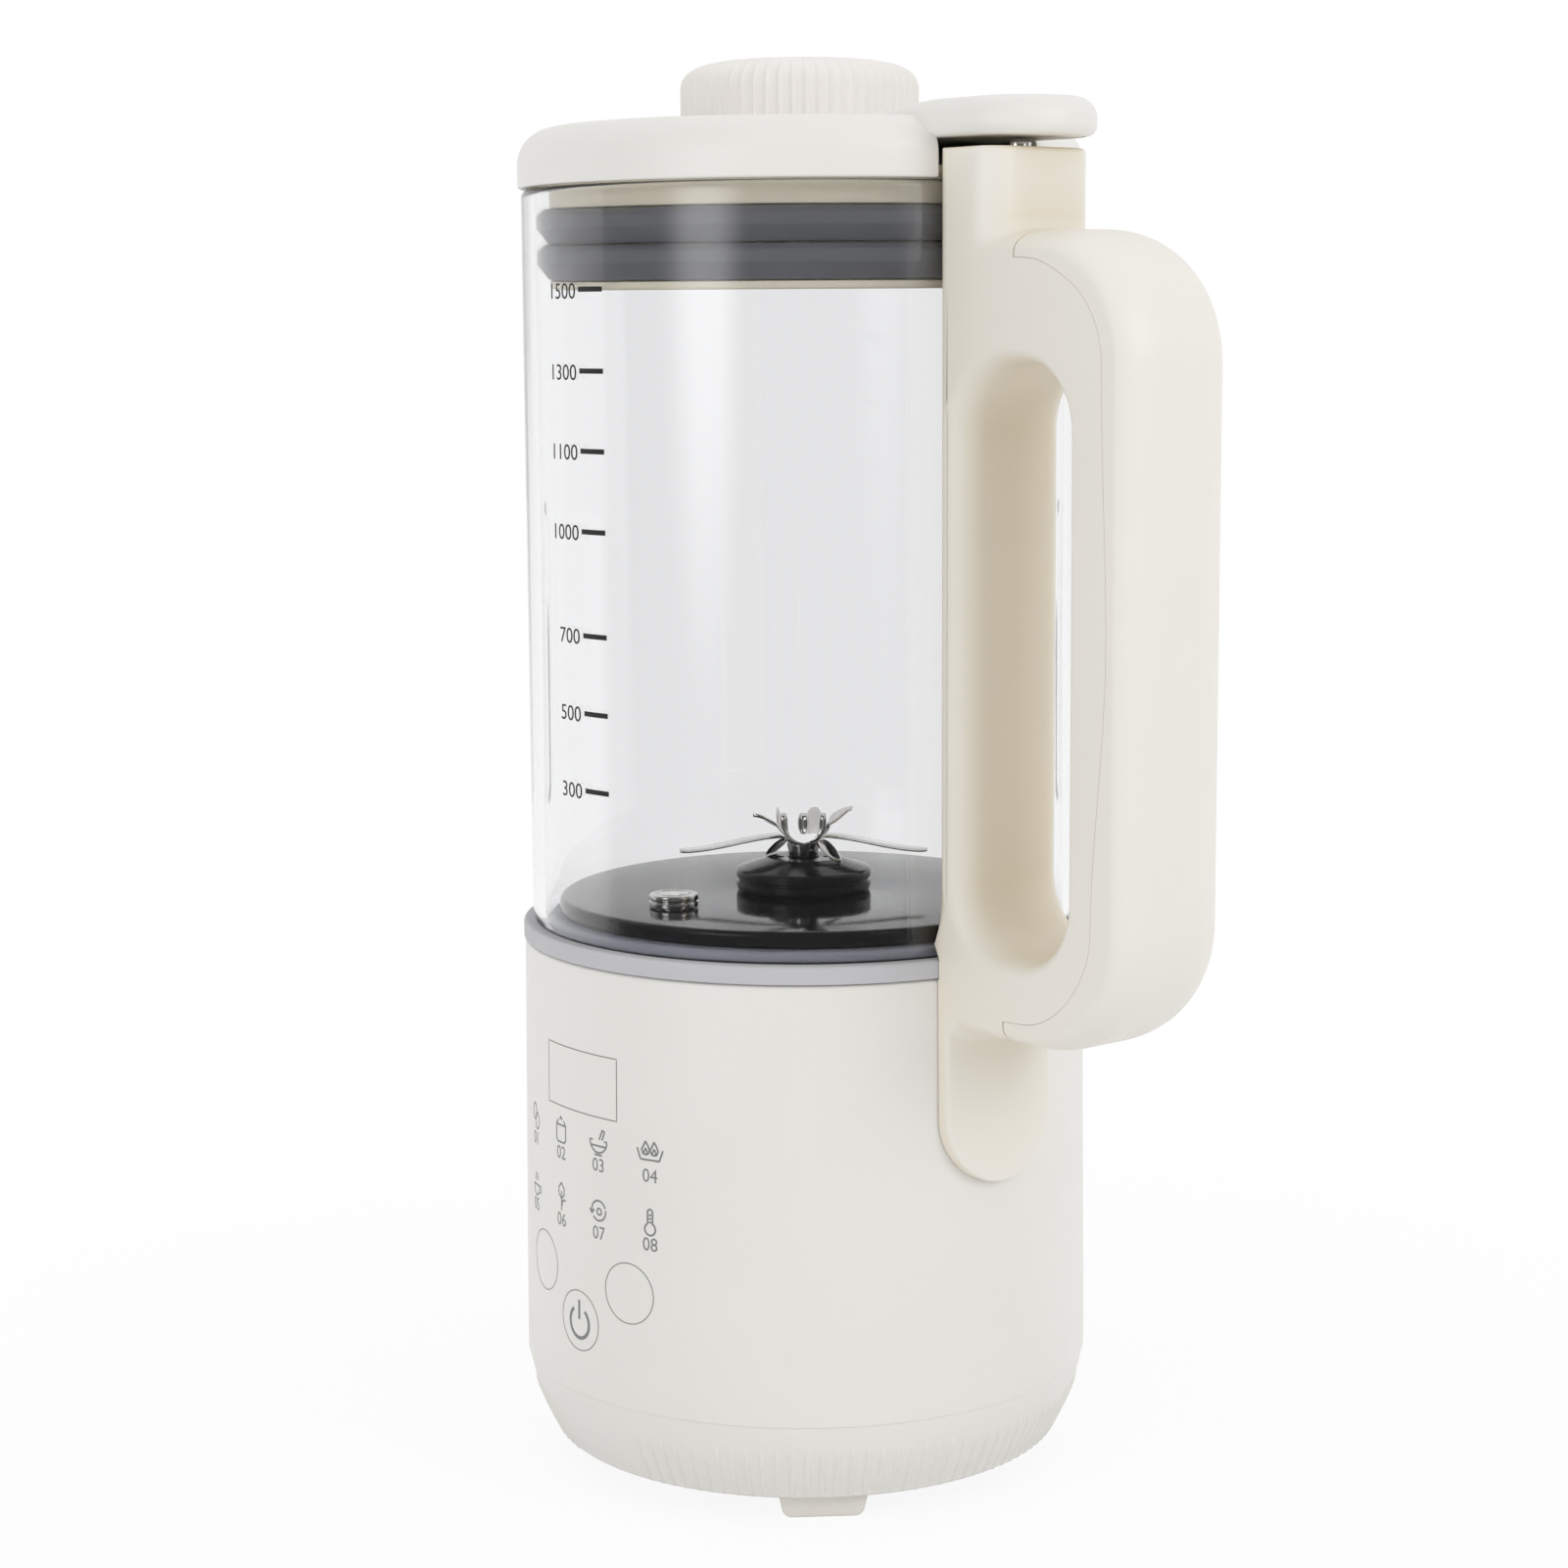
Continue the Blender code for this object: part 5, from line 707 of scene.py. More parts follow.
def inlet_outline(margin):
    """The inlet's outline from behind: a rectangle without its two lower corners, grown by a margin."""
    low, high = limits("mains_inlet")
    half = high[0] + margin
    bottom = low[2] - margin
    top = high[2] + margin
    corner = 0.004
    return np.array([(-half, bottom + corner), (-half + corner, bottom), (half - corner, bottom),
                     (half, bottom + corner), (half, top), (-half, top)])


def build_shell():
    """The base's barrel: a wall that leans in by under a millimetre to its shelf, and the inlet's mouth."""
    plastic = finish_for("satin shell plastic")
    low = SKIRT_HIGH[2] + SEAM_GAP
    bend = low + SHELL_STRAIGHT
    top = SHELL_HIGH[2]
    radius = SHELL_HIGH[1]
    wall = 0.0024
    shelf = 0.0570
    under = top - 0.0025
    outline = rounded([
        (radius, low, 0.0002), (radius, bend, 0), (SHELL_TOP_RADIUS, top, 0.0009), (shelf, top, 0.0003),
        (shelf, under, 0), (SHELL_TOP_RADIUS - wall, under, 0.001), (radius - wall, bend, 0),
        (radius - wall, low, 0)], 6)
    shell = turned("base_barrel", outline, plastic, 256)
    mouth_start = 0.050
    mouth_end = 0.070
    points = inlet_outline(GAP)
    rows = np.stack([np.stack([points[:, 0], np.full(len(points), back), points[:, 1]], -1)
                     for back in (mouth_start, mouth_end)])
    mouth = surface("mouth", [(rows, False, True)], plastic, capped=True)
    cut(shell, mouth)
    place(shell, "base", "white_shell", "base_shell")


def build_seat():
    """The silicone ring: a flange with a soft outer lip and a hollow that follows the glass's heel."""
    across = GLASS_RADIUS - GLASS_HEEL
    up = GLASS_LOW[2] + GLASS_HEEL
    bottom = SEAT_LOW[2]
    top = SEAT_HIGH[2]
    inner = 0.0573
    lean = np.degrees(np.arccos((inner - across) / (GLASS_HEEL + GAP)))
    reach = np.degrees(np.arcsin((up - top) / (GLASS_HEEL + GAP)))
    hollow = arc(across, up, GLASS_HEEL + GAP, -reach, -lean, 10)
    corners = [(inner, bottom, 0), (SEAT_HIGH[1], bottom, 0.0003), (SEAT_HIGH[1], top, 0.0009),
               (hollow[0, 0], top, 0)]
    outline = np.concatenate([rounded(corners, 6), hollow[1:]])
    ring = turned("silicone_seat", outline, finish_for("seat silicone"), 256)
    place(ring, "base", "pale_silicone", "seat_ring")


# Glass jug and what is printed on it

def from_ribs(angles):
    """How far each angle lies from each of the jug's ribs, within half a turn either way."""
    spots = np.radians(RIB_ANGLES)
    return (angles[:, None] - spots[None, :] + np.pi) % (2 * np.pi) - np.pi


def glass_angles():
    """Angles round the jug, closer together at the four moulded ribs."""
    band = 6.0
    beyond = band + 0.2
    fine = np.concatenate([np.radians(spot) + np.radians(np.linspace(-band, band, 48))
                           for spot in RIB_ANGLES])
    coarse = np.radians(np.arange(0, 360, 1.5))
    away = np.abs(from_ribs(coarse)).min(1)
    return np.unique(np.concatenate([fine, coarse[away > np.radians(beyond)]]))


def build_jug():
    """The jug: an outline of wall, round rim, heel and floor turned about the axis. Each rib lowers the
    inner radius by its depth times a squared cosine across it; its width follows an arch at both ends."""
    sizes = bpy.context.scene.milk_maker_sizes
    low = GLASS_LOW[2]
    top = GLASS_HIGH[2]
    inner = GLASS_RADIUS - sizes.glass_wall
    mouth = 0.0500
    floor = low + 0.0025
    corner = 0.0016
    start = low + 0.0289
    rib_length = 0.068
    lower_end = 0.06
    upper_end = 0.10
    taper = 0.4
    narrowest = 0.0001
    margin = 0.003
    rib_top = start + rib_length + margin
    heights = np.concatenate([
        np.linspace(top - 0.002, rib_top + 0.001, 8), np.linspace(rib_top, start - margin, 120),
        [start - 2 * margin, floor + 0.004]])
    rim = sizes.glass_wall / 2
    outline = np.concatenate([
        [(mouth, low)], arc(GLASS_RADIUS - GLASS_HEEL, low + GLASS_HEEL, GLASS_HEEL, -90, 0, 14),
        arc(GLASS_RADIUS - rim, top - rim, rim, 0, 180, 12),
        np.stack([np.full(len(heights), inner), heights], -1),
        arc(inner - corner, floor + corner, corner, 0, -90, 6), [(mouth, floor)]])
    angles = glass_angles()
    place_up = np.clip((outline[:, 1] - start) / rib_length, 0, 1)
    past = np.clip((place_up - (1 - upper_end)) / upper_end, 0, 1)
    past = past + np.clip((lower_end - place_up) / lower_end, 0, 1)
    arch = np.sqrt(np.clip(1 - past ** 2, 0, 1))
    half = np.maximum(sizes.rib_width / 2 * arch, narrowest) / inner
    share = np.clip(np.abs(from_ribs(angles))[None] / half[:, None, None], 0, 1)
    size = arch * (1 - taper * smooth_step(place_up, 0.5, 1.0))
    bump = (np.cos(np.pi / 2 * share) ** 2).sum(-1) * size[:, None]
    on_wall = (np.abs(outline[:, 0] - inner) < 0.000001)[:, None]
    swell = -sizes.rib_depth * bump * on_wall
    jug = surface("glass_wall", [(around(outline, angles, swell), True, True)],
                  finish_for("blown glass"), 50)
    place(jug, "base", "clear_glass", "glass_jug")


def wrapped(points, radius_at):
    """Flat drawing points (along, up, out) laid on a round wall: along becomes an angle about the jug's
    axis, and out adds to the wall's radius at that height."""
    radius = radius_at(points[..., 1])
    across, back = from_front(radius + points[..., 2], points[..., 0] / radius)
    return np.stack([across, back, points[..., 1]], -1)


def glass_side(up):
    """The glass's outer radius, the same at every height."""
    return GLASS_RADIUS + 0 * up


def stroke(line, width, closed):
    """A printed line: a drawn path widened to both sides along its normals and given the ink's height. Its
    four rows are the two edges below and above."""
    line = np.asarray(line, float)
    if closed:
        along = unit(np.roll(line, -1, 0) - np.roll(line, 1, 0))
    else:
        along = unit(np.gradient(line, axis=0))
    side = np.stack([-along[:, 1], along[:, 0]], -1) * width / 2
    out = np.full((len(line), 1), INK)
    below = out * 0 - INK
    rows = [np.concatenate([line + side, below], 1), np.concatenate([line - side, below], 1),
            np.concatenate([line - side, out], 1), np.concatenate([line + side, out], 1)]
    return np.stack(rows)


def straight(*corners, steps=8):
    """A path through corners with points spread along each side."""
    corners = np.asarray(corners, float)
    shares = np.linspace(0, 1, steps, endpoint=False)[:, None]
    sides = [a + (b - a) * shares for a, b in zip(corners, corners[1:])]
    return np.concatenate([*sides, corners[-1:]])


def print_piece(name, lines, radius_at, kind, body, slot):
    """Wrap printed lines, given as (path, width, closed), round the jug's axis as one piece."""
    parts = [(wrapped(stroke(line, width, closed), radius_at), True, closed)
             for line, width, closed in lines]
    piece = surface(name, parts, finish_for(kind), 40, True)
    return place(piece, body, slot)


def lettered(text, height, narrow, spot, radius_at):
    """Digits as a solid sheet of ink: Blender's own font, squeezed, centred on a spot, then wrapped."""
    size_per_digit_height = 1.37
    curve = bpy.data.curves.new("digits", "FONT")
    curve.body = text
    curve.align_x = "CENTER"
    curve.size = height * size_per_digit_height
    curve.extrude = INK
    curve.resolution_u = 4
    holder = bpy.data.objects.new("digits", curve)
    bpy.context.scene.collection.objects.link(holder)
    view = bpy.context.evaluated_depsgraph_get()
    mesh = bpy.data.meshes.new_from_object(holder.evaluated_get(view))
    bpy.data.objects.remove(holder)
    points = np.zeros(len(mesh.vertices) * 3)
    mesh.vertices.foreach_get("co", points)
    points = points.reshape(-1, 3) * (narrow, 1, 1) + (spot[0], spot[1] - height / 2, 0)
    mesh.vertices.foreach_set("co", wrapped(points, radius_at).ravel())
    return mesh


def lettering(name, words, radius_at, kind, body, slot):
    """Several words as one piece. Each is (text, height, narrow, (along, up))."""
    bm = bmesh.new()
    for text, height, narrow, spot in words:
        mesh = lettered(text, height, narrow, spot, radius_at)
        bm.from_mesh(mesh)
        bpy.data.meshes.remove(mesh)
    bmesh.ops.remove_doubles(bm, verts=bm.verts, dist=0.000001)
    return place(finish_mesh(name, bm, finish_for(kind), 40), body, slot)


def build_scale():
    """The volume scale: seven ticks and their plain numbers on the outside of the glass."""
    sizes = bpy.context.scene.milk_maker_sizes
    tick_start = 0.0008
    tick_end = 0.0085
    tick_width = 0.0011
    middle_of_four = -0.0057
    middle_of_three = -0.0045
    drop = 0.0002
    wide = 1.16
    ticks = [(straight((tick_start, up), (tick_end, up), steps=16), tick_width, False)
             for _, up in VOLUME_MARKS]
    print_piece("scale_ticks", ticks, glass_side, "scale ink", "base", "clear_glass")
    words = []
    for volume, up in VOLUME_MARKS:
        middle = middle_of_four if volume > 999 else middle_of_three
        words.append((str(volume), sizes.digit_height, wide, (middle, up - drop)))
    lettering("scale_numbers", words, glass_side, "scale ink", "base", "clear_glass")


def shell_radius(up):
    """The barrel's outer radius at a height: straight at first, then leaning in evenly to its top."""
    start = SKIRT_HIGH[2] + SEAM_GAP + SHELL_STRAIGHT
    share = np.clip((np.asarray(up, float) - start) / (SHELL_HIGH[2] - start), 0, 1)
    return SHELL_HIGH[1] + (SHELL_TOP_RADIUS - SHELL_HIGH[1]) * share


def mark_shapes():
    """Eight plain function marks as paths in millimetres about their own centres."""
    def loop(across, up, radius, start=0, end=360, squash=1.0):
        return arc(0, 0, 1, start, end, 28) * (radius, radius * squash) + (across, up)

    jar = straight((-1.2, 2.3), (-2.0, 1.2), (-2.0, -2.0), (-1.4, -2.6), (1.4, -2.6), (2.0, -2.0),
                   (2.0, 1.2), (1.2, 2.3))
    bowl = np.concatenate([loop(0, 0.5, 2.7, 180, 360), [(-2.7, 0.5)]])
    flame = np.array([(0, 2.6), (0.9, 1.2), (1.35, 0.0), (0.9, -1.1), (0, -1.4), (-0.9, -1.1),
                      (-1.35, 0.0), (-0.7, 1.1), (0, 2.6)])
    leaf = np.array([(0, 2.6), (1.3, 1.2), (1.3, -0.3), (0, -1.5), (-1.3, -0.3), (-1.3, 1.2), (0, 2.6)])
    thermometer = np.concatenate([
        loop(0, -1.6, 1.35, 118, 422), straight((0.63, -0.4), (0.63, 2.1)), loop(0, 2.1, 0.63, 0, 180),
        straight((-0.63, 2.1), (-0.63, -0.4))])
    return (
        [loop(-0.9, 1.0, 1.3, 0, 360, 1.4), loop(0.9, -0.9, 1.3, 0, 360, 1.4)],
        [jar, straight((-2.0, 1.2), (2.0, 1.2)), straight((-0.5, 2.4), (0, 3.1), (0.5, 2.4))],
        [bowl, straight((-2.2, -0.7), (2.2, -0.7)), straight((-1.2, -2.7), (1.2, -2.7)),
         straight((0.3, 0.7), (1.3, 2.9), (2.0, 2.6), (1.2, 0.7))],
        [flame * 0.75 + (-1.1, 0.6), flame * 0.75 + (1.1, 0.6), flame * 0.34 + (-1.1, 0.1),
         flame * 0.34 + (1.1, 0.1), straight((-3.3, 0.9), (-2.4, -1.5), (2.4, -1.5), (3.3, 0.9))],
        [loop(0, -0.6, 2.1, 180, 360, 1.1), straight((-2.1, -0.6), (2.1, -0.6)),
         loop(2.5, -1.2, 0.8, -100, 90), straight((-0.8, 0.4), (-0.4, 1.3), (-0.8, 2.2)),
         straight((0.6, 0.4), (1.0, 1.3), (0.6, 2.2))],
        [leaf * 0.9 + (0, 1.0), straight((0, 1.4), (0, -2.9)), loop(1.3, -1.4, 1.0, 60, 200)],
        [loop(0, 0, 2.2, 20, 200), loop(0, 0, 2.2, 220, 370),
         straight((-2.9, 0.1), (-2.2, -0.8), (-1.4, 0.1)), loop(0.2, -0.2, 0.7)],
        [thermometer, straight((-0.3, 1.5), (0.3, 1.5)), straight((-0.3, 0.7), (0.3, 0.7)),
         straight((-0.3, -0.1), (0.3, -0.1))],
    )


def build_panel():
    """The panel's print: the display's frame, eight plain marks with their numbers, two round keys and a
    power key with its ring and bar."""
    line = bpy.context.scene.milk_maker_sizes.line_width
    middle = -0.0010
    frame_left = middle - 0.0129
    frame_right = middle + 0.0129
    frame_low = 0.0888
    frame_high = 0.1026
    display_frame = straight((frame_left, frame_low), (frame_right, frame_low), (frame_right, frame_high),
                             (frame_left, frame_high), (frame_left, frame_low), steps=20)[:-1]
    lines = [(display_frame, line * 1.3, True)]
    circle = arc(0, 0, 1, 0, 360, 96)[:-1]
    key_radius = 0.0068
    for across, up in ((-0.0160, 0.0513), (0.0160, 0.0508), (0, 0.0413)):
        lines.append((circle * key_radius + (across + middle, up), line * 1.2, True))
    ring_up = 0.0408
    ring_radius = 0.0035
    lines.append((arc(middle, ring_up, ring_radius, 125, 415, 60), line * 4.4, False))
    lines.append((straight((middle, 0.0416), (middle, 0.0460)), line * 4.0, False))
    columns = (-0.0220, -0.0071, 0.0071, 0.0220)
    rows = (0.0833, 0.0680)
    mark_scale = 0.00102
    mark_drop = 0.0002
    number_drop = 0.0051
    number_height = 0.0031
    narrow = 0.96
    words = []
    for index, shapes in enumerate(mark_shapes()):
        across = columns[index % 4] + middle
        up = rows[index // 4]
        for shape in shapes:
            path = np.asarray(shape) * mark_scale + (across, up - mark_drop)
            lines.append((path, line * 2.2, False))
        words.append((f"0{index + 1}", number_height, narrow, (across, up - number_drop)))
    print_piece("panel_lines", lines, shell_radius, "panel ink", "base", "white_shell")
    lettering("panel_numbers", words, shell_radius, "panel ink", "base", "white_shell")


# Heated floor, bearing and blades

def build_floor():
    """Gasket, plate and temperature button, each an outline turned about its own axis."""
    low, high = limits("plate_gasket")
    inner = 0.0500
    outline = rounded([(inner, low[2], 0), (high[0], low[2], 0.0004), (high[0], high[2], 0.0008),
                       (inner, high[2], 0)], 5)
    gasket = turned("gasket_ring", outline, finish_for("gasket silicone"))
    place(gasket, "base", "grey_silicone", "plate_gasket")

    low, high = limits("heating_plate")
    radius = high[0]
    top = high[2]
    under = top - 0.0035
    wall_outer = 0.0497
    wall_inner = wall_outer - 0.003
    hole = 0.0110
    outline = rounded([
        (hole, under, 0), (wall_inner, under, 0.0005), (wall_inner, low[2], 0.0005),
        (wall_outer, low[2], 0.0005), (wall_outer, under, 0.0002), (radius, under, 0.0004),
        (radius, top, 0.0011), (hole, top, 0.0003)], 6)
    plate = turned("coated_plate", outline, finish_for("coated plate"), 256)
    place(plate, "base", "black_enamel", "heating_plate")

    low, high = limits("temperature_sensor")
    radius = high[0]
    top = high[2]
    under = top - 0.0029
    stem = 0.004
    groove = radius - 0.0003
    dish = top - 0.0003
    crisp = 0.0001
    outline = rounded([
        (0, low[2], 0), (stem, low[2], 0.0004), (stem, under, 0), (radius, under, 0.0002),
        (radius, top - 0.0017, crisp), (groove, top - 0.0016, crisp), (groove, top - 0.0014, crisp),
        (radius, top - 0.0013, crisp), (radius, top, 0.0004), (radius - 0.0010, top, crisp),
        (radius - 0.0013, dish, crisp), (radius - 0.0019, dish, crisp), (radius - 0.0022, top, crisp),
        (0, top, 0)], 4)
    points = around(outline, even_angles(96)) + np.array([0, (low[1] + high[1]) / 2, 0])
    button = surface("temperature_button", [(points, False, True)], finish_for("polished steel"))
    place(button, "base", "steel", "temperature_sensor")


def build_bearing():
    """The bearing nut: a waisted drum with a cone on top, and two spanner holes."""
    black = finish_for("black moulding")
    low, high = limits("bearing_nut")
    radius = high[0]
    top = high[2]
    drum = top - 0.0023
    base = drum - 0.0048
    middle = base + 0.0024
    waist = radius - 0.0005
    bore = 0.0072
    neck = 0.0106
    cone = 0.0078
    lip = 0.0036
    socket = top - 0.0016
    crisp = 0.0001
    outline = rounded([
        (bore, low[2], 0), (neck, low[2], 0.0003), (neck, base, 0.0004), (radius, base, 0.0008),
        (radius, middle - 0.0004, crisp), (waist, middle - 0.0002, crisp), (waist, middle + 0.0002, crisp),
        (radius, middle + 0.0004, crisp), (radius, drum, 0.0009), (cone, top, 0.0012), (lip, top, 0.0003),
        (lip, socket, 0), (bore, socket, 0)], 6)
    nut = turned("bearing_nut_finish", outline, black, 128)
    hole_radius = 0.0011
    hole_circle = 0.0055
    holes = []
    for angle in (50, 230):
        hole = drill(hole_radius, top - 0.001, top + 0.002, (hole_circle, 0), black)
        holes.append(turn(hole, angle))
    cut(nut, *holes)
    place(nut, "base", "black_plastic", "bearing_nut")


def build_shaft():
    """The blade shaft with its flared collar, and the domed hex nut on top."""
    steel = finish_for("polished steel")
    low, high = limits("blade_shaft")
    nut_top = limits("bearing_nut")[1][2]
    shoulder = nut_top - 0.0019
    collar = nut_top + 0.0033
    top = high[2]
    shank = 0.004
    neck = 0.0032
    flare = 0.0038
    stud = 0.0014
    outline = rounded([
        (0, low[2], 0), (shank, low[2], 0.0005), (shank, shoulder, 0), (neck, shoulder, 0),
        (neck, nut_top, 0.0002), (flare, collar, 0.0003), (stud, collar, 0), (stud, top, 0.0004),
        (0, top, 0)], 4)
    shaft = turned("drive_shaft", outline, steel, 64, ring=False)
    place(shaft, "blades", "steel", "blade_shaft")

    low, high = limits("blade_lock_nut")
    corner = 0.0027
    dome = 0.0006
    bore = 0.0016
    angles = even_angles(96)
    flat = corner * np.cos(np.pi / 6) / np.cos((angles % (np.pi / 3)) - np.pi / 6)
    share = np.linspace(0, 1, 7)[:, None]
    radius = np.minimum(flat[None], corner - dome * share ** 2)
    rows = np.concatenate([radius[:1] * 0 + bore, radius, radius[:1] * 0 + bore])
    heights = np.concatenate([[low[2]], low[2] + (high[2] - low[2]) * share[:, 0], [high[2]]])
    across, back = from_front(rows, angles[None])
    points = np.stack([across, back, np.broadcast_to(heights[:, None], rows.shape)], -1)
    nut = surface("lock_nut", [(points, True, True)], steel, 30)
    place(nut, "blades", "steel", "blade_lock_nut")


def build_blade(node, width, turn_degrees, shape, rise):
    """A blade: along its length its half width follows its shape's curve and its height a soft rise; across
    it the thickness falls off to a ground edge. The hub between the arms is flat."""
    low, high = limits(node)
    thickness = 0.0008
    flat = 0.0041
    hub = 0.0032
    hub_flat = 0.0026
    narrowest = 0.0001
    leaf_start = 0.14
    long_root = 0.62
    long_tip = 0.06
    ground = 0.30
    reach = blade_reach(node, turn_degrees)
    share = np.linspace(0, 1, 40)
    arm = flat + (reach - flat) * share
    if shape == "leaf":
        half = width / 2 * np.sin(np.pi * np.clip(leaf_start + (1 - leaf_start) * share, 0, 1)) ** 0.75
    else:
        half = width / 2 * (long_root + (1 - long_root) * np.sin(np.pi * share))
        half = half * np.sqrt(np.clip((1 - share) / long_tip, 0, 1))
    half[-1] = narrowest
    middle = np.linspace(-flat, flat, 13)[1:-1]
    waist = hub + (half[0] - hub) * smooth_step(np.abs(middle), hub_flat, flat)
    along = np.concatenate([-arm[::-1], middle, arm])
    halves = np.concatenate([half[::-1], waist, half])
    lift = rise * smooth_step(np.abs(along), flat, reach)
    foot = low[2] if rise > 0 else high[2] - thickness
    side = np.linspace(-1, 1, 15)
    grind = 0.5 * np.clip((1 - np.abs(side)) / ground, 0, 1) ** 0.8
    across = np.broadcast_to(along[:, None], (len(along), len(side)))
    back = halves[:, None] * side[None, :]
    centre = foot + lift[:, None] + thickness / 2 + 0 * back
    top = np.stack([across, back, centre + thickness * grind], -1)
    bottom = np.stack([across, back, centre - thickness * grind], -1)
    loop = np.concatenate([top, bottom[:, ::-1]], 1)
    piece = surface(node + "_finish", [(loop, False, True)], finish_for("polished steel"), 50, True)
    turn(piece, turn_degrees)
    place(piece, "blades", "steel", node)


def blade_reach(node, turn_degrees):
    """How far a CAD blade reaches from the axis, measured along its own direction."""
    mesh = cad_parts[node].data
    points = np.zeros(len(mesh.vertices) * 3)
    mesh.vertices.foreach_get("co", points)
    points = points.reshape(-1, 3) - (AXIS, 0, 0)
    angle = np.radians(turn_degrees)
    along = points[:, 0] * np.cos(angle) + points[:, 1] * np.sin(angle)
    return along.max()


def build_blades():
    """Four pairs of blades, stacked on the shaft: long and downswept, short and downswept, two upswept."""
    for node, width, angle, shape, rise in (
            ("long_blade", 0.0066, 50.0, "long", -0.0034),
            ("lower_blade", 0.0058, 15.0, "leaf", -0.0040),
            ("middle_blade", 0.0052, -15.0, "leaf", 0.0034),
            ("upper_blade", 0.0052, 75.0, "leaf", 0.0034)):
        build_blade(node, width, angle, shape, rise)


# Handle

def cross_levels(count):
    """Levels across the handle, from one side face to the other, closest together at the faces: half the
    width times the sine of evenly spread angles."""
    return BODY_HIGH[1] * np.sin(np.linspace(-np.pi / 2, np.pi / 2, count))


def grip_line():
    """The grip's outer line as arrays: place, direction it faces and depth of the seam below it. Three
    straights and two corner arcs, with the seam's depth easing from one value to the next."""
    top = COVER_HIGH[2]
    bottom = COVER_LOW[2]
    reach = COVER_HIGH[0]
    start = 0.0850
    end = 0.0828
    upper = 0.0270
    lower = 0.0280
    bend_high = top - upper
    bend_low = bottom + lower
    middle = (bend_high + bend_low) / 2
    end_steps = 6
    side_steps = 11
    arc_steps = 39
    line = np.concatenate([
        np.linspace((start, top), (reach - upper, top), end_steps + 1)[:-1],
        arc(reach - upper, bend_high, upper, 90, 0, arc_steps),
        np.linspace((reach, bend_high), (reach, bend_low), side_steps + 1)[1:-1],
        arc(reach - lower, bend_low, lower, 0, -90, arc_steps),
        np.linspace((reach - lower, bottom), (end, bottom), end_steps + 1)[1:]])
    angles = np.radians(np.concatenate([
        np.full(end_steps, 90.0), np.linspace(90, 0, arc_steps + 1), np.full(side_steps - 1, 0.0),
        np.linspace(0, -90, arc_steps + 1), np.full(end_steps, -90.0)]))
    facing = np.stack([np.cos(angles), np.sin(angles)], -1)
    across, up = line.T
    at_start, at_upper, at_middle, at_lower, at_end = 0.0055, 0.0075, 0.0056, 0.0094, 0.0058
    depth = np.select([up > bend_high, up > middle, up > bend_low], [
        at_start + (at_upper - at_start) * smooth_step(across, start, reach - upper / 2),
        at_upper + (at_middle - at_upper) * smooth_step(up, bend_high, middle),
        at_middle + (at_lower - at_middle) * smooth_step(up, middle, bend_low)],
        at_lower + (at_end - at_lower) * smooth_step(across, reach, end))
    return line, facing, depth


def jug_side(up, level):
    """Where the handle's inner face lies, at a height and at a level across the handle: on the cylinder
    round the glass, the seat or the barrel, a gap away from it."""
    seat_top = SEAT_HIGH[2] + GAP
    lead = 0.003
    radius = np.where(up > seat_top + lead, GLASS_RADIUS,
                      np.where(up > SHELL_HIGH[2], SEAT_HIGH[1], shell_radius(up)))
    rising = GLASS_RADIUS + (SEAT_HIGH[1] - GLASS_RADIUS) * (seat_top + lead - up) / lead
    radius = np.where((up > seat_top) & (up <= seat_top + lead), rising, radius)
    return np.sqrt((radius + GAP) ** 2 - level ** 2)


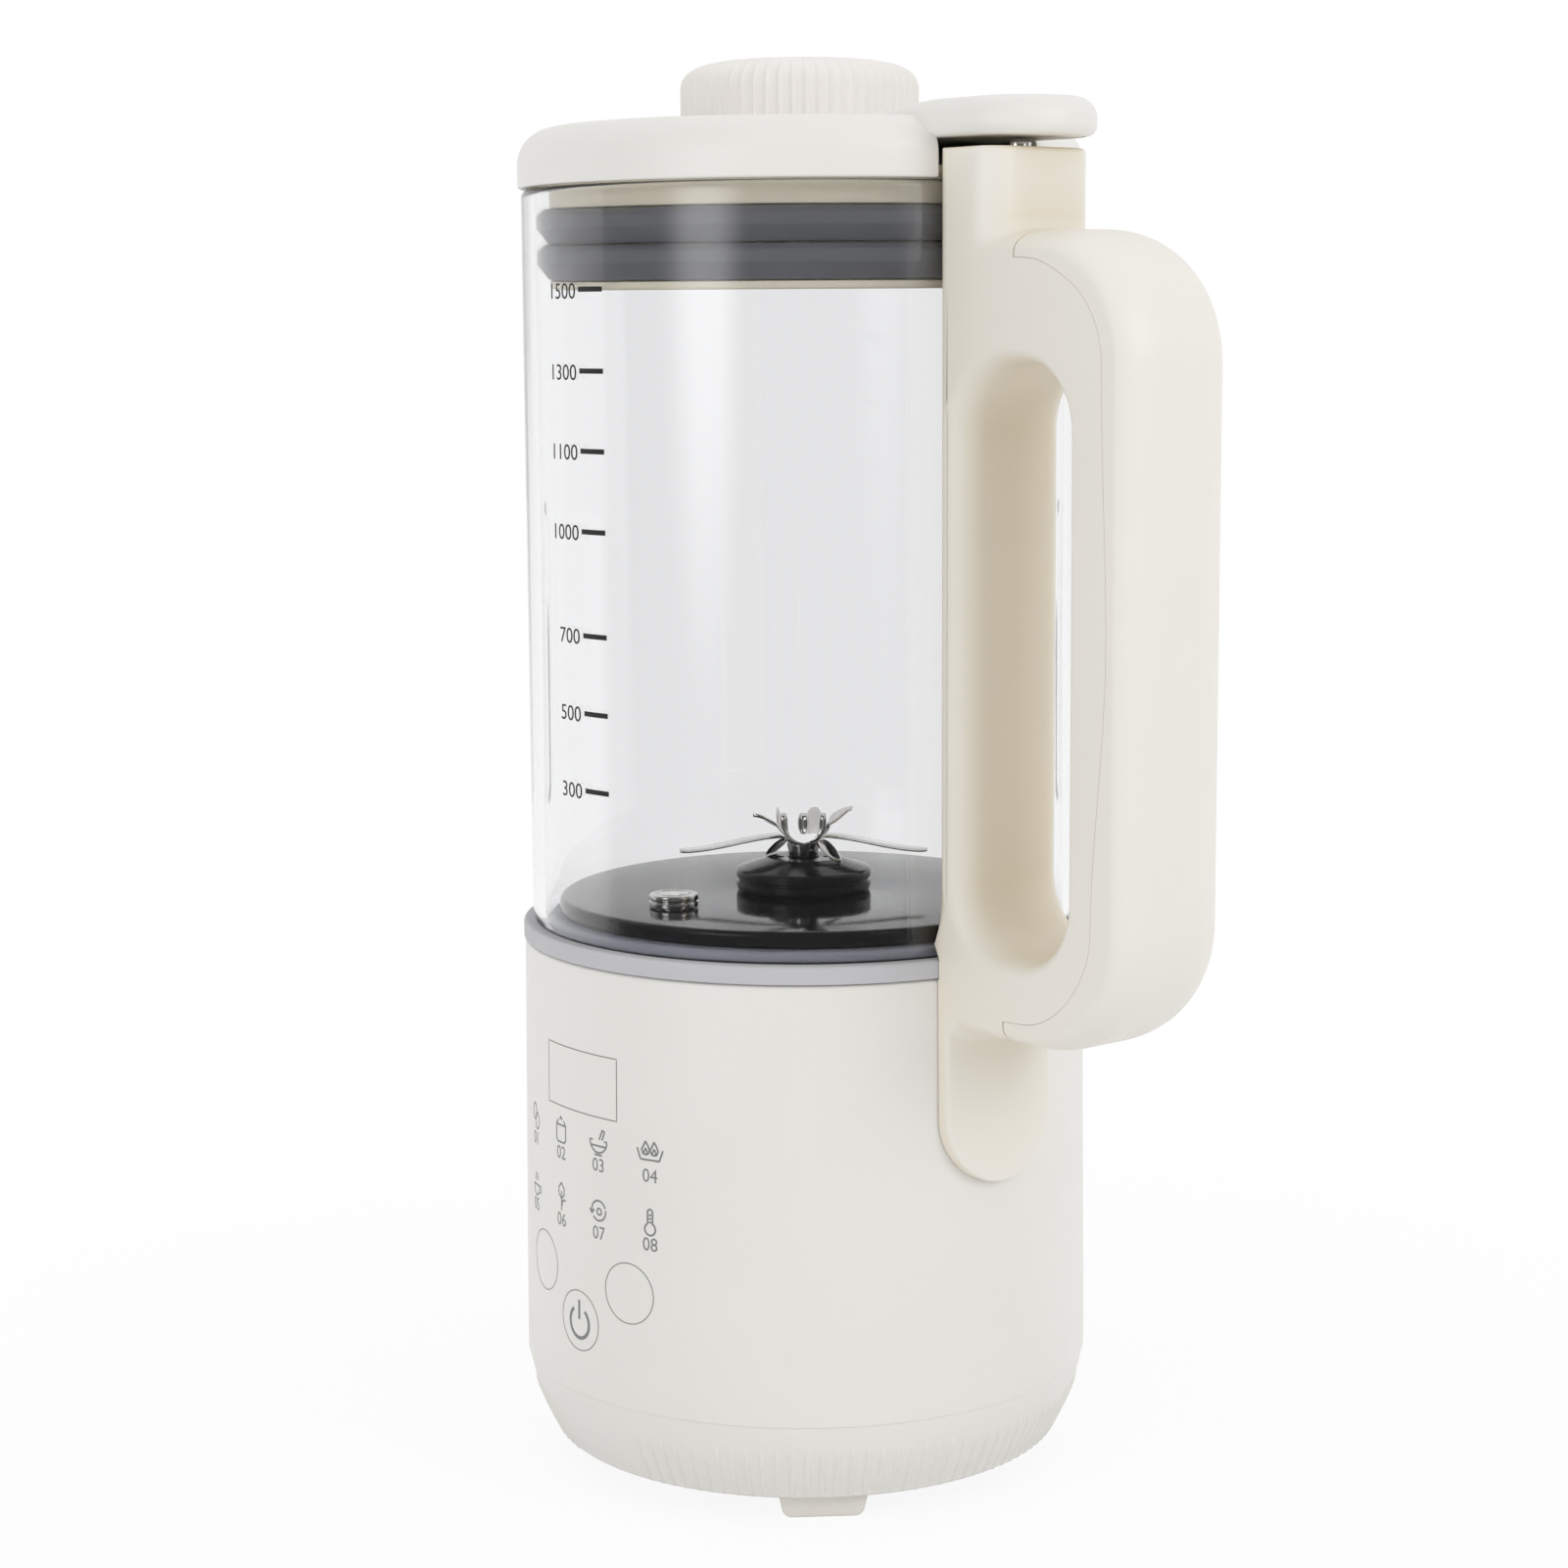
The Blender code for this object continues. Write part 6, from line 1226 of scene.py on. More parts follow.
def build_handle_body():
    """The handle's inner half: column, neck, tongue and the inside of the D. At each level across, its side
    view is an outline of straights and arcs; every edge is pulled in towards the side faces as a quarter
    ellipse. The finger gap has its own outline, softer on the column's side than on the grip's."""
    sizes = bpy.context.scene.milk_maker_sizes
    plastic = finish_for("cream handle plastic")
    half = BODY_HIGH[1]
    level = cross_levels(49)
    off = np.abs(level)

    def dropped(depth):
        return edge_drop(off, half - depth, half, depth)

    seat_top = SEAT_HIGH[2] + GAP
    shell_top = SHELL_HIGH[2]
    soft_height = 0.012
    tongue_wall = 0.0030
    neck_back = 0.0788
    soft = edge_drop(off, GRIP_FLAT, half, GRIP_DROP)
    shoulder = COVER_HIGH[2] - soft
    belly = COVER_LOW[2] + soft
    neck = neck_back - dropped(0.0070)
    top = BODY_HIGH[2] - dropped(0.0012)
    bottom = BODY_LOW[2] + half - np.sqrt(np.maximum(half ** 2 - level ** 2, 0))
    tongue_top = bottom + 0.004
    rim = dropped(0.0010)
    beside = dropped(0.0045)

    def by_glass(up):
        return jug_side(up, level) + beside * smooth_step(up, seat_top, seat_top + soft_height)

    def tongue(up):
        return np.sqrt((shell_radius(up) + tongue_wall) ** 2 - level ** 2) - rim

    upper_landing = 0.0847
    lower_landing = 0.0825
    line, facing, depth = grip_line()
    seam = line - facing * (depth + SEAM_GAP)[:, None]
    corners = [(by_glass(top), top, 0.0003), (neck, top, 0.0012), (neck, shoulder, 0.0030),
               (upper_landing, shoulder, 0), (upper_landing, seam[0, 1], 0)]
    corners += [(across, up, 0) for across, up in seam]
    corners += [(lower_landing, seam[-1, 1], 0), (lower_landing, belly, 0), (tongue(belly), belly, 0.0030),
                (tongue(tongue_top), tongue_top, 0), (tongue(bottom), bottom, 0.0008)]
    for share in (0, 0.2, 0.4, 0.6, 0.8):
        up = bottom + (shell_top - bottom) * share
        corners.append((jug_side(up, level), up, 0))
    for up in (shell_top, shell_top + GAP, seat_top, seat_top + 0.0031, seat_top + 0.006, seat_top + 0.009,
               seat_top + soft_height, 0.16, 0.20, 0.24, 0.27):
        up = np.full(len(level), up)
        corners.append((by_glass(up), up, 0))
    outline = rounded(corners, 7)

    gap_front = 0.0818
    gap_back = 0.0873
    gap_high = 0.238
    gap_low = 0.143
    gap_radius = 0.0140
    gap_flattening = 0.0024
    centres = np.array([(gap_back, gap_high), (gap_front, gap_high), (gap_front, gap_low),
                        (gap_back, gap_low)])
    arms = np.radians(np.stack([np.linspace(start, start + 90, 15) for start in (0, 90, 180, 270)]))
    spokes = np.stack([np.cos(arms), np.sin(arms)], -1)
    share = ((1 - spokes[..., 0]) / 2)[None]
    reach = gap_radius - gap_flattening * np.maximum(-spokes[..., 0], 0)[None]
    reach = reach + dropped(sizes.finger_edge)[:, None, None] * share
    reach = reach + dropped(sizes.grip_edge)[:, None, None] * (1 - share)
    hole = (centres[None, :, None] + reach[..., None] * spokes[None]).reshape(len(level), -1, 2)

    def raised(flat):
        side = np.broadcast_to(level[:, None], flat.shape[:2])
        return np.stack([flat[..., 0], side, flat[..., 1]], -1)

    bm = mesh_of([(raised(outline), False, True), (raised(hole), False, True)], 0.00000005)
    for side in (-1, 1):
        rim_edges = [item for item in bm.edges if item.is_boundary and item.verts[0].co.y * side > 0]
        bmesh.ops.triangle_fill(bm, use_beauty=True, edges=rim_edges)
    body = finish_mesh("handle_inner_half", bm, plastic, 35)
    pin_low, pin_high = limits("interlock_pin")
    bore = 0.0029
    bore_low = 0.270
    bore_high = 0.300
    middle = (pin_low[0] + pin_high[0]) / 2
    cut(body, drill(bore, bore_low, bore_high, (middle, 0), plastic, 48))
    place(body, "base", "cream_plastic", "handle_body")


def build_handle_cover():
    """The handle's outer half: at each place on the grip's line, a section whose outer face is pulled in
    towards both sides as a quarter ellipse and whose inner face lies at the seam."""
    half = BODY_HIGH[1]
    line, facing, depth = grip_line()
    level = cross_levels(41)
    inner_count = 9
    drop = edge_drop(np.abs(level), GRIP_FLAT, half, GRIP_DROP)
    outer = line[:, None] - facing[:, None] * drop[None, :, None]
    inner = np.repeat((line - facing * depth[:, None])[:, None], inner_count, 1)
    flat = np.concatenate([outer, inner], 1)
    across = np.concatenate([level, np.linspace(half, -half, inner_count)])
    side = np.broadcast_to(across[None], flat.shape[:2])
    points = np.stack([flat[..., 0], side, flat[..., 1]], -1)
    cover = surface("handle_outer_half", [(points, False, True)], finish_for("cream handle plastic"),
                    35, True)
    place(cover, "base", "cream_plastic", "handle_cover")


def build_pin():
    """The interlock pin: a rod with a domed, bevelled head, turned about its own axis."""
    low, high = limits("interlock_pin")
    radius = (high[0] - low[0]) / 2
    dome = 0.0007
    outline = rounded([(0, low[2], 0), (radius, low[2], 0.0003), (radius, high[2] - 0.0006, 0.0004),
                       (radius - dome, high[2], 0.0005), (0, high[2], 0)], 5)
    points = around(outline, even_angles(64)) + np.array([(low[0] + high[0]) / 2, 0, 0])
    pin = surface("interlock_pin_finish", [(points, False, True)], finish_for("polished steel"))
    place(pin, "safety_pin", "steel", "interlock_pin")


# Lid and feed cap

def build_tab(material):
    """The tab: its plan is two straight sides and a round end, pulled in at the top and bottom as quarter
    circles. Its top rises softly out of the lid's top, and strips between its two sides close it."""
    top = LID_HIGH[2]
    lid_top = KNOB_LOW[2] - GAP
    centre = LID_HIGH[0] - TAB_HALF
    root = 0.029
    risen = 0.060
    sunk = 0.0012
    upper_edge = 0.0042
    lower_edge = 0.0022
    least_edge = 0.0002
    round_end = np.radians(np.linspace(0, 90, 28)[1:])
    along = np.concatenate([np.linspace(root, centre, 40), centre + TAB_HALF * np.sin(round_end)])
    width = np.sqrt(np.maximum(TAB_HALF ** 2 - np.maximum(along - centre, 0) ** 2, 0))
    front = np.stack([along, -width], -1)
    back = np.stack([along[::-1], width[::-1]], -1)[1:]
    plan = np.concatenate([front, back])
    arm = np.stack([np.maximum(plan[:, 0] - centre, 0), plan[:, 1]], -1)
    inward = -unit(arm)
    rise = smooth_step(plan[:, 0], root, risen)
    height = lid_top - sunk + (top - lid_top + sunk) * rise - TAB_LOW
    angles = np.radians(np.linspace(0, 90, 9))
    upper = upper_edge * rise[None] + least_edge
    falling = (1 - np.sin(angles))[:, None]
    rising = (1 - np.cos(angles))[:, None]
    inset = np.concatenate([lower_edge * falling + 0 * upper, upper * rising])
    lift = np.concatenate([lower_edge * rising + 0 * upper, height[None] - upper * falling])
    flat = plan[None] + inward[None] * inset[..., None]
    points = np.concatenate([flat, (TAB_LOW + lift)[..., None]], -1)
    count = len(along)
    shares = np.linspace(0, 1, 11)[None, :, None]
    caps = []
    for row in (points[0], points[-1]):
        left = row[:count]
        right = row[count - 1:][::-1]
        caps.append((left[:, None] * (1 - shares) + right[:, None] * shares, False, False))
    return surface("tab", [(points, False, False), *caps], material, 35, True)


def build_lid():
    """The lid's cover: an outline with a full round edge and the feed tube's sleeve, turned about the axis,
    joined to the tab and notched for the handle's column and the cap's lugs."""
    plastic = finish_for("satin shell plastic")
    low = GLASS_HIGH[2] + GAP
    top = KNOB_LOW[2] - GAP
    under = top - 0.0025
    step = top - 0.0032
    sleeve_low = top - 0.0100
    radius = -LID_LOW[0]
    inner = radius - 0.0025
    mouth = 0.0200
    sleeve = TUBE_RADIUS + 0.0025
    outline = rounded([
        (radius, low, 0.0006), (radius, top, 0.0080), (mouth, top, 0.0006), (mouth, step, 0),
        (TUBE_RADIUS, step, 0), (TUBE_RADIUS, sleeve_low, 0.0003), (sleeve, sleeve_low, 0.0003),
        (sleeve, under, 0.0010), (inner, under, 0.0055), (inner, low, 0.0003)], 14)
    lid = turned("lid_shell", outline, plastic, 256)
    join(lid, build_tab(plastic))

    thin_edge = 0.00005
    notch_start = 0.0550
    notch_end = 0.0670
    notch_half = 0.0142
    notch_plan = [(notch_start, -notch_half), (notch_end, -notch_half), (notch_end, notch_half),
                  (notch_start, notch_half)]
    notch = slab("notch", notch_plan, low - 0.004, TAB_LOW, thin_edge, plastic)
    plate_top = 0.2996
    recess = slab("recess", tab_plan(GAP), TAB_LOW - 0.004, plate_top + GAP, thin_edge, plastic)
    slot_half = 16
    slot_low = top - 0.0072
    slot_plan = np.concatenate([arc(0, 0, TUBE_RADIUS, -slot_half, slot_half, 10),
                                arc(0, 0, mouth - 0.004, slot_half, -slot_half, 10)])
    slots = [turn(slab("slot", slot_plan, slot_low, top + 0.004, thin_edge, plastic), angle)
             for angle in (0, 180)]
    cut(lid, notch, recess, *slots)
    place(lid, "lid", "white_shell", "lid_cover")
    cover = slab("tab_plate", tab_plan(0), TAB_LOW, plate_top, 0.0002, plastic)
    place(cover, "lid", "white_shell", "tab_cover")


def tab_plan(margin):
    """The plate under the tab seen from above: a straight inner end and a round outer end."""
    inner_end = 0.0670 - margin
    rim = 0.0028
    radius = TAB_HALF - rim + margin
    round_end = arc(LID_HIGH[0] - TAB_HALF, 0, radius, -90, 90, 24)
    return np.concatenate([[(inner_end, -radius)], round_end, [(inner_end, radius)]])


def build_plug():
    """The plug inside the glass with its flange, seal grooves and feed tube, and its two lip seals."""
    low, high = limits("lid_plug")
    top = high[2]
    bottom = low[2]
    wall = 0.0022
    flange = 0.0601
    flange_low = top - 0.0018
    band = 0.0560
    groove = 0.0535
    inner = groove - wall
    floor = bottom + wall
    tube = TUBE_RADIUS
    tube_outer = tube + wall
    tube_top = top - 0.0074 + GAP
    upper_top = limits("upper_lip_seal")[1][2] + GAP
    lower_low = limits("lower_lip_seal")[0][2] - GAP
    outline = rounded([
        (inner, top, 0.0003), (flange, top, 0.0004), (flange, flange_low, 0.0004),
        (band, flange_low, 0.0008), (band, upper_top, 0.0003), (groove, upper_top, 0),
        (groove, lower_low, 0), (band, lower_low, 0.0003), (band, bottom, 0.0008),
        (tube, bottom, 0.0006), (tube, tube_top, 0.0003), (tube_outer, tube_top, 0.0003),
        (tube_outer, floor, 0.0005), (inner, floor, 0.0008)], 5)
    plug = turned("plug_body", outline, finish_for("warm plug plastic"), 224)
    place(plug, "lid", "cream_plastic", "lid_plug")

    root = groove + GAP
    lip_rise = 0.0036
    for node in ("upper_lip_seal", "lower_lip_seal"):
        low, high = limits(node)
        outline = rounded([
            (root, low[2], 0), (band + 0.0004, low[2], 0.0006), (high[1], low[2] + lip_rise, 0.0016),
            (high[1], high[2] - 0.0012, 0.0010), (band + 0.0012, high[2], 0.0006),
            (root, high[2], 0)], 6)
        seal = turned(node + "_finish", outline, finish_for("seal silicone"), 224)
        place(seal, "lid", "grey_silicone", node)


def build_knob():
    """The feed cap's knob: an outline turned about the axis with a rib wave on its side that fades into the
    crowned top, and a seal's groove and a spigot's recess below."""
    sizes = bpy.context.scene.milk_maker_sizes
    low = KNOB_LOW[2]
    top = KNOB_HIGH[2]
    root = KNOB_HIGH[1] - sizes.knob_rib_height
    recess = 0.0199
    recess_top = low + 0.0043
    groove_inner = 0.0215
    groove_outer = 0.0243
    groove_top = low + 0.0015
    below = rounded([
        (0, recess_top, 0), (recess, recess_top, 0.0003), (recess, low, 0.0002),
        (groove_inner, low, 0.0002), (groove_inner, groove_top, 0.0002), (groove_outer, groove_top, 0.0002),
        (groove_outer, low, 0.0002), (root, low, 0.0005), (root, low + 0.001, 0)], 3)[:-1]
    side_top = low + 0.0080
    side = np.linspace((root, low + 0.0012), (root, side_top), 8)
    crown_start = root - 0.0120
    crown_rise = 0.0003
    roundness = 0.85
    angles = np.radians(np.linspace(0, 90, 26)[1:])
    corner = np.stack([crown_start + (root - crown_start) * np.cos(angles) ** roundness,
                       side_top + (top - crown_rise - side_top) * np.sin(angles) ** roundness], -1)
    share = np.linspace(0, 1, 12)[1:]
    crown = np.stack([crown_start * (1 - share), top - crown_rise * (1 - share) ** 2], -1)
    outline = np.concatenate([below, side, corner, crown])
    ribs_fade = 0.45
    ribs_end = 0.85
    lift = np.concatenate([
        smooth_step(np.arange(len(below)), len(below) - 5, len(below) - 1), np.ones(len(side)),
        1 - smooth_step(np.linspace(0, 1, len(corner)), ribs_fade, ribs_end), np.zeros(len(crown))])
    columns, crest = rib_columns(sizes.knob_rib_count, 0.0, 14)
    swell = sizes.knob_rib_height * lift[:, None] * crest[None]
    knob = surface("ribbed_knob", [(around(outline, columns, swell), False, True)],
                   finish_for("ribbed cap plastic"), 50)
    place(knob, "cap", "cream_plastic", "cap_knob")


def build_cap_plug():
    """The cap's seal, a ring with rounded corners, and its hollow plug with two bayonet lugs."""
    low, high = limits("cap_seal")
    outer = high[1]
    inner = outer - 0.0022
    outline = rounded([(inner, low[2], 0.0003), (outer, low[2], 0.0003), (outer, high[2], 0.0003),
                       (inner, high[2], 0.0003)], 4)
    ring = turned("cap_seal_ring", outline, finish_for("seal silicone"), 128)
    place(ring, "cap_ring", "grey_silicone", "cap_seal")

    plastic = finish_for("warm plug plastic")
    low, high = limits("cap_plug")
    radius = 0.0196
    wall = 0.002
    inner = radius - wall
    floor = low[2] + wall
    outline = rounded([
        (0, low[2], 0), (radius, low[2], 0.0015), (radius, high[2], 0.0003), (inner, high[2], 0.0003),
        (inner, floor, 0.0010), (0, floor, 0)], 5)
    cup = turned("cap_cup", outline, plastic, 128, ring=False)
    lug_top = KNOB_LOW[2] - GAP - 0.0036
    lug_low = lug_top - 0.0025
    lug_reach = radius + 0.0018
    lug_half = 11
    lug_plan = np.concatenate([arc(0, 0, lug_reach, -lug_half, lug_half, 8),
                               arc(0, 0, radius - 0.001, lug_half, -lug_half, 8)])
    lugs = [turn(slab("lug", lug_plan, lug_low, lug_top, 0.0003, plastic), angle) for angle in (0, 180)]
    join(cup, *lugs)
    place(cup, "cap", "cream_plastic", "cap_plug")


# Pieces inside that keep their CAD shape

INNER_FINISHES = {
    "drawn steel": (
        "plate_clamp", "heating_element", "thermal_fuse", "lower_motor_bracket", "upper_motor_bracket",
        "upper_handle_screw", "lower_handle_screw", "bottom_screw_1", "bottom_screw_2", "bottom_screw_3"),
    "seal silicone": ("shaft_seal",),
    "turned copper": ("shaft_bush", "commutator"),
    "stacked iron": ("motor_stator", "motor_rotor"),
    "wound copper": ("upper_field_coil", "lower_field_coil"),
    "pressed carbon": ("left_carbon_brush", "right_carbon_brush"),
    "lacquered board": ("panel_board", "power_board"),
    "black moulding": ("cooling_fan", "display", "mains_inlet", "interlock_switch"),
}


def finish_inner_pieces():
    """Give every carried-over CAD node its procedural finish."""
    for kind, nodes in INNER_FINISHES.items():
        for node in nodes:
            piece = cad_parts[node]
            piece.data.materials.clear()
            piece.data.materials.append(finish_for(kind))


# Stage

def build_camera():
    """The camera at the photograph's place. Its line of sight is given by a yaw and a pitch away from +Y
    and a roll about itself, in a frame that is then turned about the jug's axis."""
    pitch = 0.145
    yaw = -0.006
    roll = -0.006
    turned_by = np.radians(50.0)
    place_at = (0.56036 + AXIS, -0.47020, 0.26236)
    focal_pixels = 3286.6
    frame_pixels = 1601
    sensor = 36
    forward = np.array([np.sin(yaw) * np.cos(pitch), np.cos(yaw) * np.cos(pitch), -np.sin(pitch)])
    right = np.array([np.cos(yaw), -np.sin(yaw), 0])
    up = np.cross(right, forward)
    side = np.cos(roll) * right + np.sin(roll) * up
    above = -np.sin(roll) * right + np.cos(roll) * up
    cosine = np.cos(turned_by)
    sine = np.sin(turned_by)
    spin = np.array([(cosine, -sine, 0), (sine, cosine, 0), (0, 0, 1)])
    data = bpy.data.cameras.new("camera")
    data.sensor_width = sensor
    data.lens = sensor * focal_pixels / frame_pixels
    camera = bpy.data.objects.new("camera", data)
    bpy.context.scene.collection.objects.link(camera)
    axes = np.stack([spin @ side, spin @ above, -(spin @ forward)], 1)
    matrix = Matrix(axes.tolist()).to_4x4()
    matrix.translation = Vector(place_at)
    camera.matrix_world = matrix
    bpy.context.scene.camera = camera


def soft_rise(tree, value, start, end, lowest=0.0):
    """A soft rise from its lowest value to 1 while the given value goes from a start to an end."""
    node = tree.nodes.new("ShaderNodeMapRange")
    node.interpolation_type = "SMOOTHSTEP"
    node.inputs["From Min"].default_value = start
    node.inputs["From Max"].default_value = end
    node.inputs["To Min"].default_value = lowest
    tree.links.new(value, node.inputs["Value"])
    return node.outputs["Result"]


def greatest(tree, share, *others):
    """The greatest of several shares, and never more than 1."""
    for other in others:
        larger = tree.nodes.new("ShaderNodeMath")
        larger.operation = "MAXIMUM"
        larger.use_clamp = True
        tree.links.new(share, larger.inputs[0])
        tree.links.new(other, larger.inputs[1])
        share = larger.outputs[0]
    return share


def soft_lamp(name, place_at, aim, size, power):
    """A square soft box that points at a spot and fades out from its middle to its edges."""
    dark_from = 0.5
    full_within = 0.1
    data = bpy.data.lights.new(name, "AREA")
    data.shape = "SQUARE"
    data.size = size
    data.energy = power
    data.use_nodes = True
    tree = data.node_tree
    face = tree.nodes.new("ShaderNodeNewGeometry")
    reach = tree.nodes.new("ShaderNodeVectorMath")
    reach.operation = "DISTANCE"
    reach.inputs[1].default_value = (0.5, 0.5, 0)
    tree.links.new(face.outputs["Parametric"], reach.inputs[0])
    fade = soft_rise(tree, reach.outputs["Value"], dark_from, full_within)
    tree.links.new(fade, tree.nodes["Emission"].inputs["Strength"])
    lamp = bpy.data.objects.new(name, data)
    bpy.context.scene.collection.objects.link(lamp)
    lamp.location = place_at
    lamp.rotation_mode = "QUATERNION"
    lamp.rotation_quaternion = (Vector(aim) - Vector(place_at)).to_track_quat("-Z", "Y")


def white_when_seen(tree):
    """1 on rays that come from the camera, a gloss or a glass, 0 on those that carry soft light."""
    path = tree.nodes.new("ShaderNodeLightPath")
    return greatest(tree, path.outputs["Is Camera Ray"], path.outputs["Is Glossy Ray"],
                    path.outputs["Is Transmission Ray"])


def room_brightness(tree, place_at, start, end):
    """1 on rays that nothing has reflected and on those that bring a matt surface its light. On the rest it
    rises along VIEW_LINE, from the dim room on the camera's side to the white behind the object."""
    dim = 0.12
    along = tree.nodes.new("ShaderNodeVectorMath")
    along.operation = "DOT_PRODUCT"
    along.inputs[1].default_value = VIEW_LINE
    tree.links.new(place_at, along.inputs[0])
    rise = soft_rise(tree, along.outputs["Value"], start, end, dim)
    path = tree.nodes.new("ShaderNodeLightPath")
    straight_on = tree.nodes.new("ShaderNodeMath")
    straight_on.operation = "LESS_THAN"
    straight_on.inputs[1].default_value = 0.5
    tree.links.new(path.outputs["Glossy Depth"], straight_on.inputs[0])
    return greatest(tree, rise, straight_on.outputs[0], path.outputs["Diffuse Depth"])


def build_world():
    """A white room: the camera sees white, gloss and glass see white behind the object and a dim room in
    front of it, and the light on the object is even, a little brighter from above."""
    level_light = 0.49
    light_from_above = 1.0
    white = (1, 1, 1, 1)
    world = bpy.data.worlds.new("studio")
    bpy.context.scene.world = world
    world.use_nodes = True
    tree = world.node_tree
    tree.nodes.clear()
    direction = tree.nodes.new("ShaderNodeTexCoord").outputs["Generated"]
    seen = tree.nodes.new("ShaderNodeBackground")
    seen.inputs["Color"].default_value = white
    tree.links.new(room_brightness(tree, direction, -0.3, 0.4), seen.inputs["Strength"])
    light = tree.nodes.new("ShaderNodeBackground")
    light.inputs["Color"].default_value = white
    split = tree.nodes.new("ShaderNodeSeparateXYZ")
    tree.links.new(direction, split.inputs["Vector"])
    height = tree.nodes.new("ShaderNodeMapRange")
    height.inputs["To Min"].default_value = level_light
    height.inputs["To Max"].default_value = light_from_above
    tree.links.new(split.outputs["Z"], height.inputs["Value"])
    tree.links.new(height.outputs["Result"], light.inputs["Strength"])
    mix = tree.nodes.new("ShaderNodeMixShader")
    output = tree.nodes.new("ShaderNodeOutputWorld")
    tree.links.new(white_when_seen(tree), mix.inputs["Fac"])
    tree.links.new(light.outputs[0], mix.inputs[1])
    tree.links.new(seen.outputs[0], mix.inputs[2])
    tree.links.new(mix.outputs[0], output.inputs["Surface"])


def build_floor_plane():
    """A plain pale floor that fades into the white background away from the object and keeps its shadow."""
    size = 6.0
    fade_start = 0.05
    fade_end = 0.45
    white_near = 0.90
    mesh = bpy.data.meshes.new("floor")
    corners = ((-size, -size, 0), (size, -size, 0), (size, size, 0), (-size, size, 0))
    mesh.from_pydata(corners, [], [(0, 1, 2, 3)])
    floor = bpy.data.objects.new("floor", mesh)
    bpy.context.scene.collection.objects.link(floor)
    finish, tree, shader, coordinates = new_finish("pale floor")
    shader.inputs["Base Color"].default_value = (0.9, 0.9, 0.9, 1)
    shader.inputs["Roughness"].default_value = 0.6
    shader.inputs["Specular IOR Level"].default_value = 0.0
    glow = tree.nodes.new("ShaderNodeEmission")
    glow.inputs["Color"].default_value = (1, 1, 1, 1)
    tree.links.new(room_brightness(tree, coordinates, -0.12, 0.08), glow.inputs["Strength"])
    distance = tree.nodes.new("ShaderNodeVectorMath")
    distance.operation = "LENGTH"
    tree.links.new(coordinates, distance.inputs[0])
    fade = soft_rise(tree, distance.outputs["Value"], fade_start, fade_end, white_near)
    amount = tree.nodes.new("ShaderNodeMath")
    amount.operation = "MULTIPLY"
    tree.links.new(white_when_seen(tree), amount.inputs[0])
    tree.links.new(fade, amount.inputs[1])
    mix = tree.nodes.new("ShaderNodeMixShader")
    tree.links.new(amount.outputs[0], mix.inputs["Fac"])
    tree.links.new(shader.outputs[0], mix.inputs[1])
    tree.links.new(glow.outputs[0], mix.inputs[2])
    tree.links.new(mix.outputs[0], tree.nodes["Material Output"].inputs["Surface"])
    mesh.materials.append(finish)


def build_stage():
    """Camera, floor, white room and two soft boxes, with plain colour management."""
    bpy.context.scene.view_settings.view_transform = "Standard"
    build_camera()
    build_world()
    build_floor_plane()
    centre = (0, 0, 0.16)
    soft_lamp("key", (1.25, 0.30, 0.75), centre, 1.1, 13.0)
    soft_lamp("window", (0.21, -1.20, 0.42), centre, 0.9, 6.5)


# Operators, panel and start

class MILKMAKER_OT_base(bpy.types.Operator):
    """Build the ribbed skirt, the feet, the barrel and the seat ring"""

    bl_idname = "milkmaker.base"
    bl_label = "Base"
    bl_options = {"REGISTER", "UNDO"}

    def execute(self, context):
        build_skirt()
        build_feet()
        build_shell()
        build_seat()
        return {"FINISHED"}


class MILKMAKER_OT_jug(bpy.types.Operator):
    """Build the glass jug with its moulded ribs"""

    bl_idname = "milkmaker.jug"
    bl_label = "Glass jug"
    bl_options = {"REGISTER", "UNDO"}

    def execute(self, context):
        build_jug()
        return {"FINISHED"}


class MILKMAKER_OT_print(bpy.types.Operator):
    """Print the volume scale on the glass and the marks on the panel"""

    bl_idname = "milkmaker.print"
    bl_label = "Print"
    bl_options = {"REGISTER", "UNDO"}

    def execute(self, context):
        build_scale()
        build_panel()
        return {"FINISHED"}


class MILKMAKER_OT_floor(bpy.types.Operator):
    """Build the gasket, the coated plate, the button and the bearing nut"""

    bl_idname = "milkmaker.floor"
    bl_label = "Heated floor"
    bl_options = {"REGISTER", "UNDO"}

    def execute(self, context):
        build_floor()
        build_bearing()
        return {"FINISHED"}


class MILKMAKER_OT_blades(bpy.types.Operator):
    """Build the shaft, its lock nut and the four pairs of blades"""

    bl_idname = "milkmaker.blades"
    bl_label = "Blades"
    bl_options = {"REGISTER", "UNDO"}

    def execute(self, context):
        build_shaft()
        build_blades()
        return {"FINISHED"}


class MILKMAKER_OT_handle(bpy.types.Operator):
    """Build both halves of the handle and the interlock pin"""

    bl_idname = "milkmaker.handle"
    bl_label = "Handle"
    bl_options = {"REGISTER", "UNDO"}

    def execute(self, context):
        build_handle_body()
        build_handle_cover()
        build_pin()
        return {"FINISHED"}


class MILKMAKER_OT_lid(bpy.types.Operator):
    """Build the lid's cover, its tab's plate, its plug and its lip seals"""

    bl_idname = "milkmaker.lid"
    bl_label = "Lid"
    bl_options = {"REGISTER", "UNDO"}

    def execute(self, context):
        build_lid()
        build_plug()
        return {"FINISHED"}


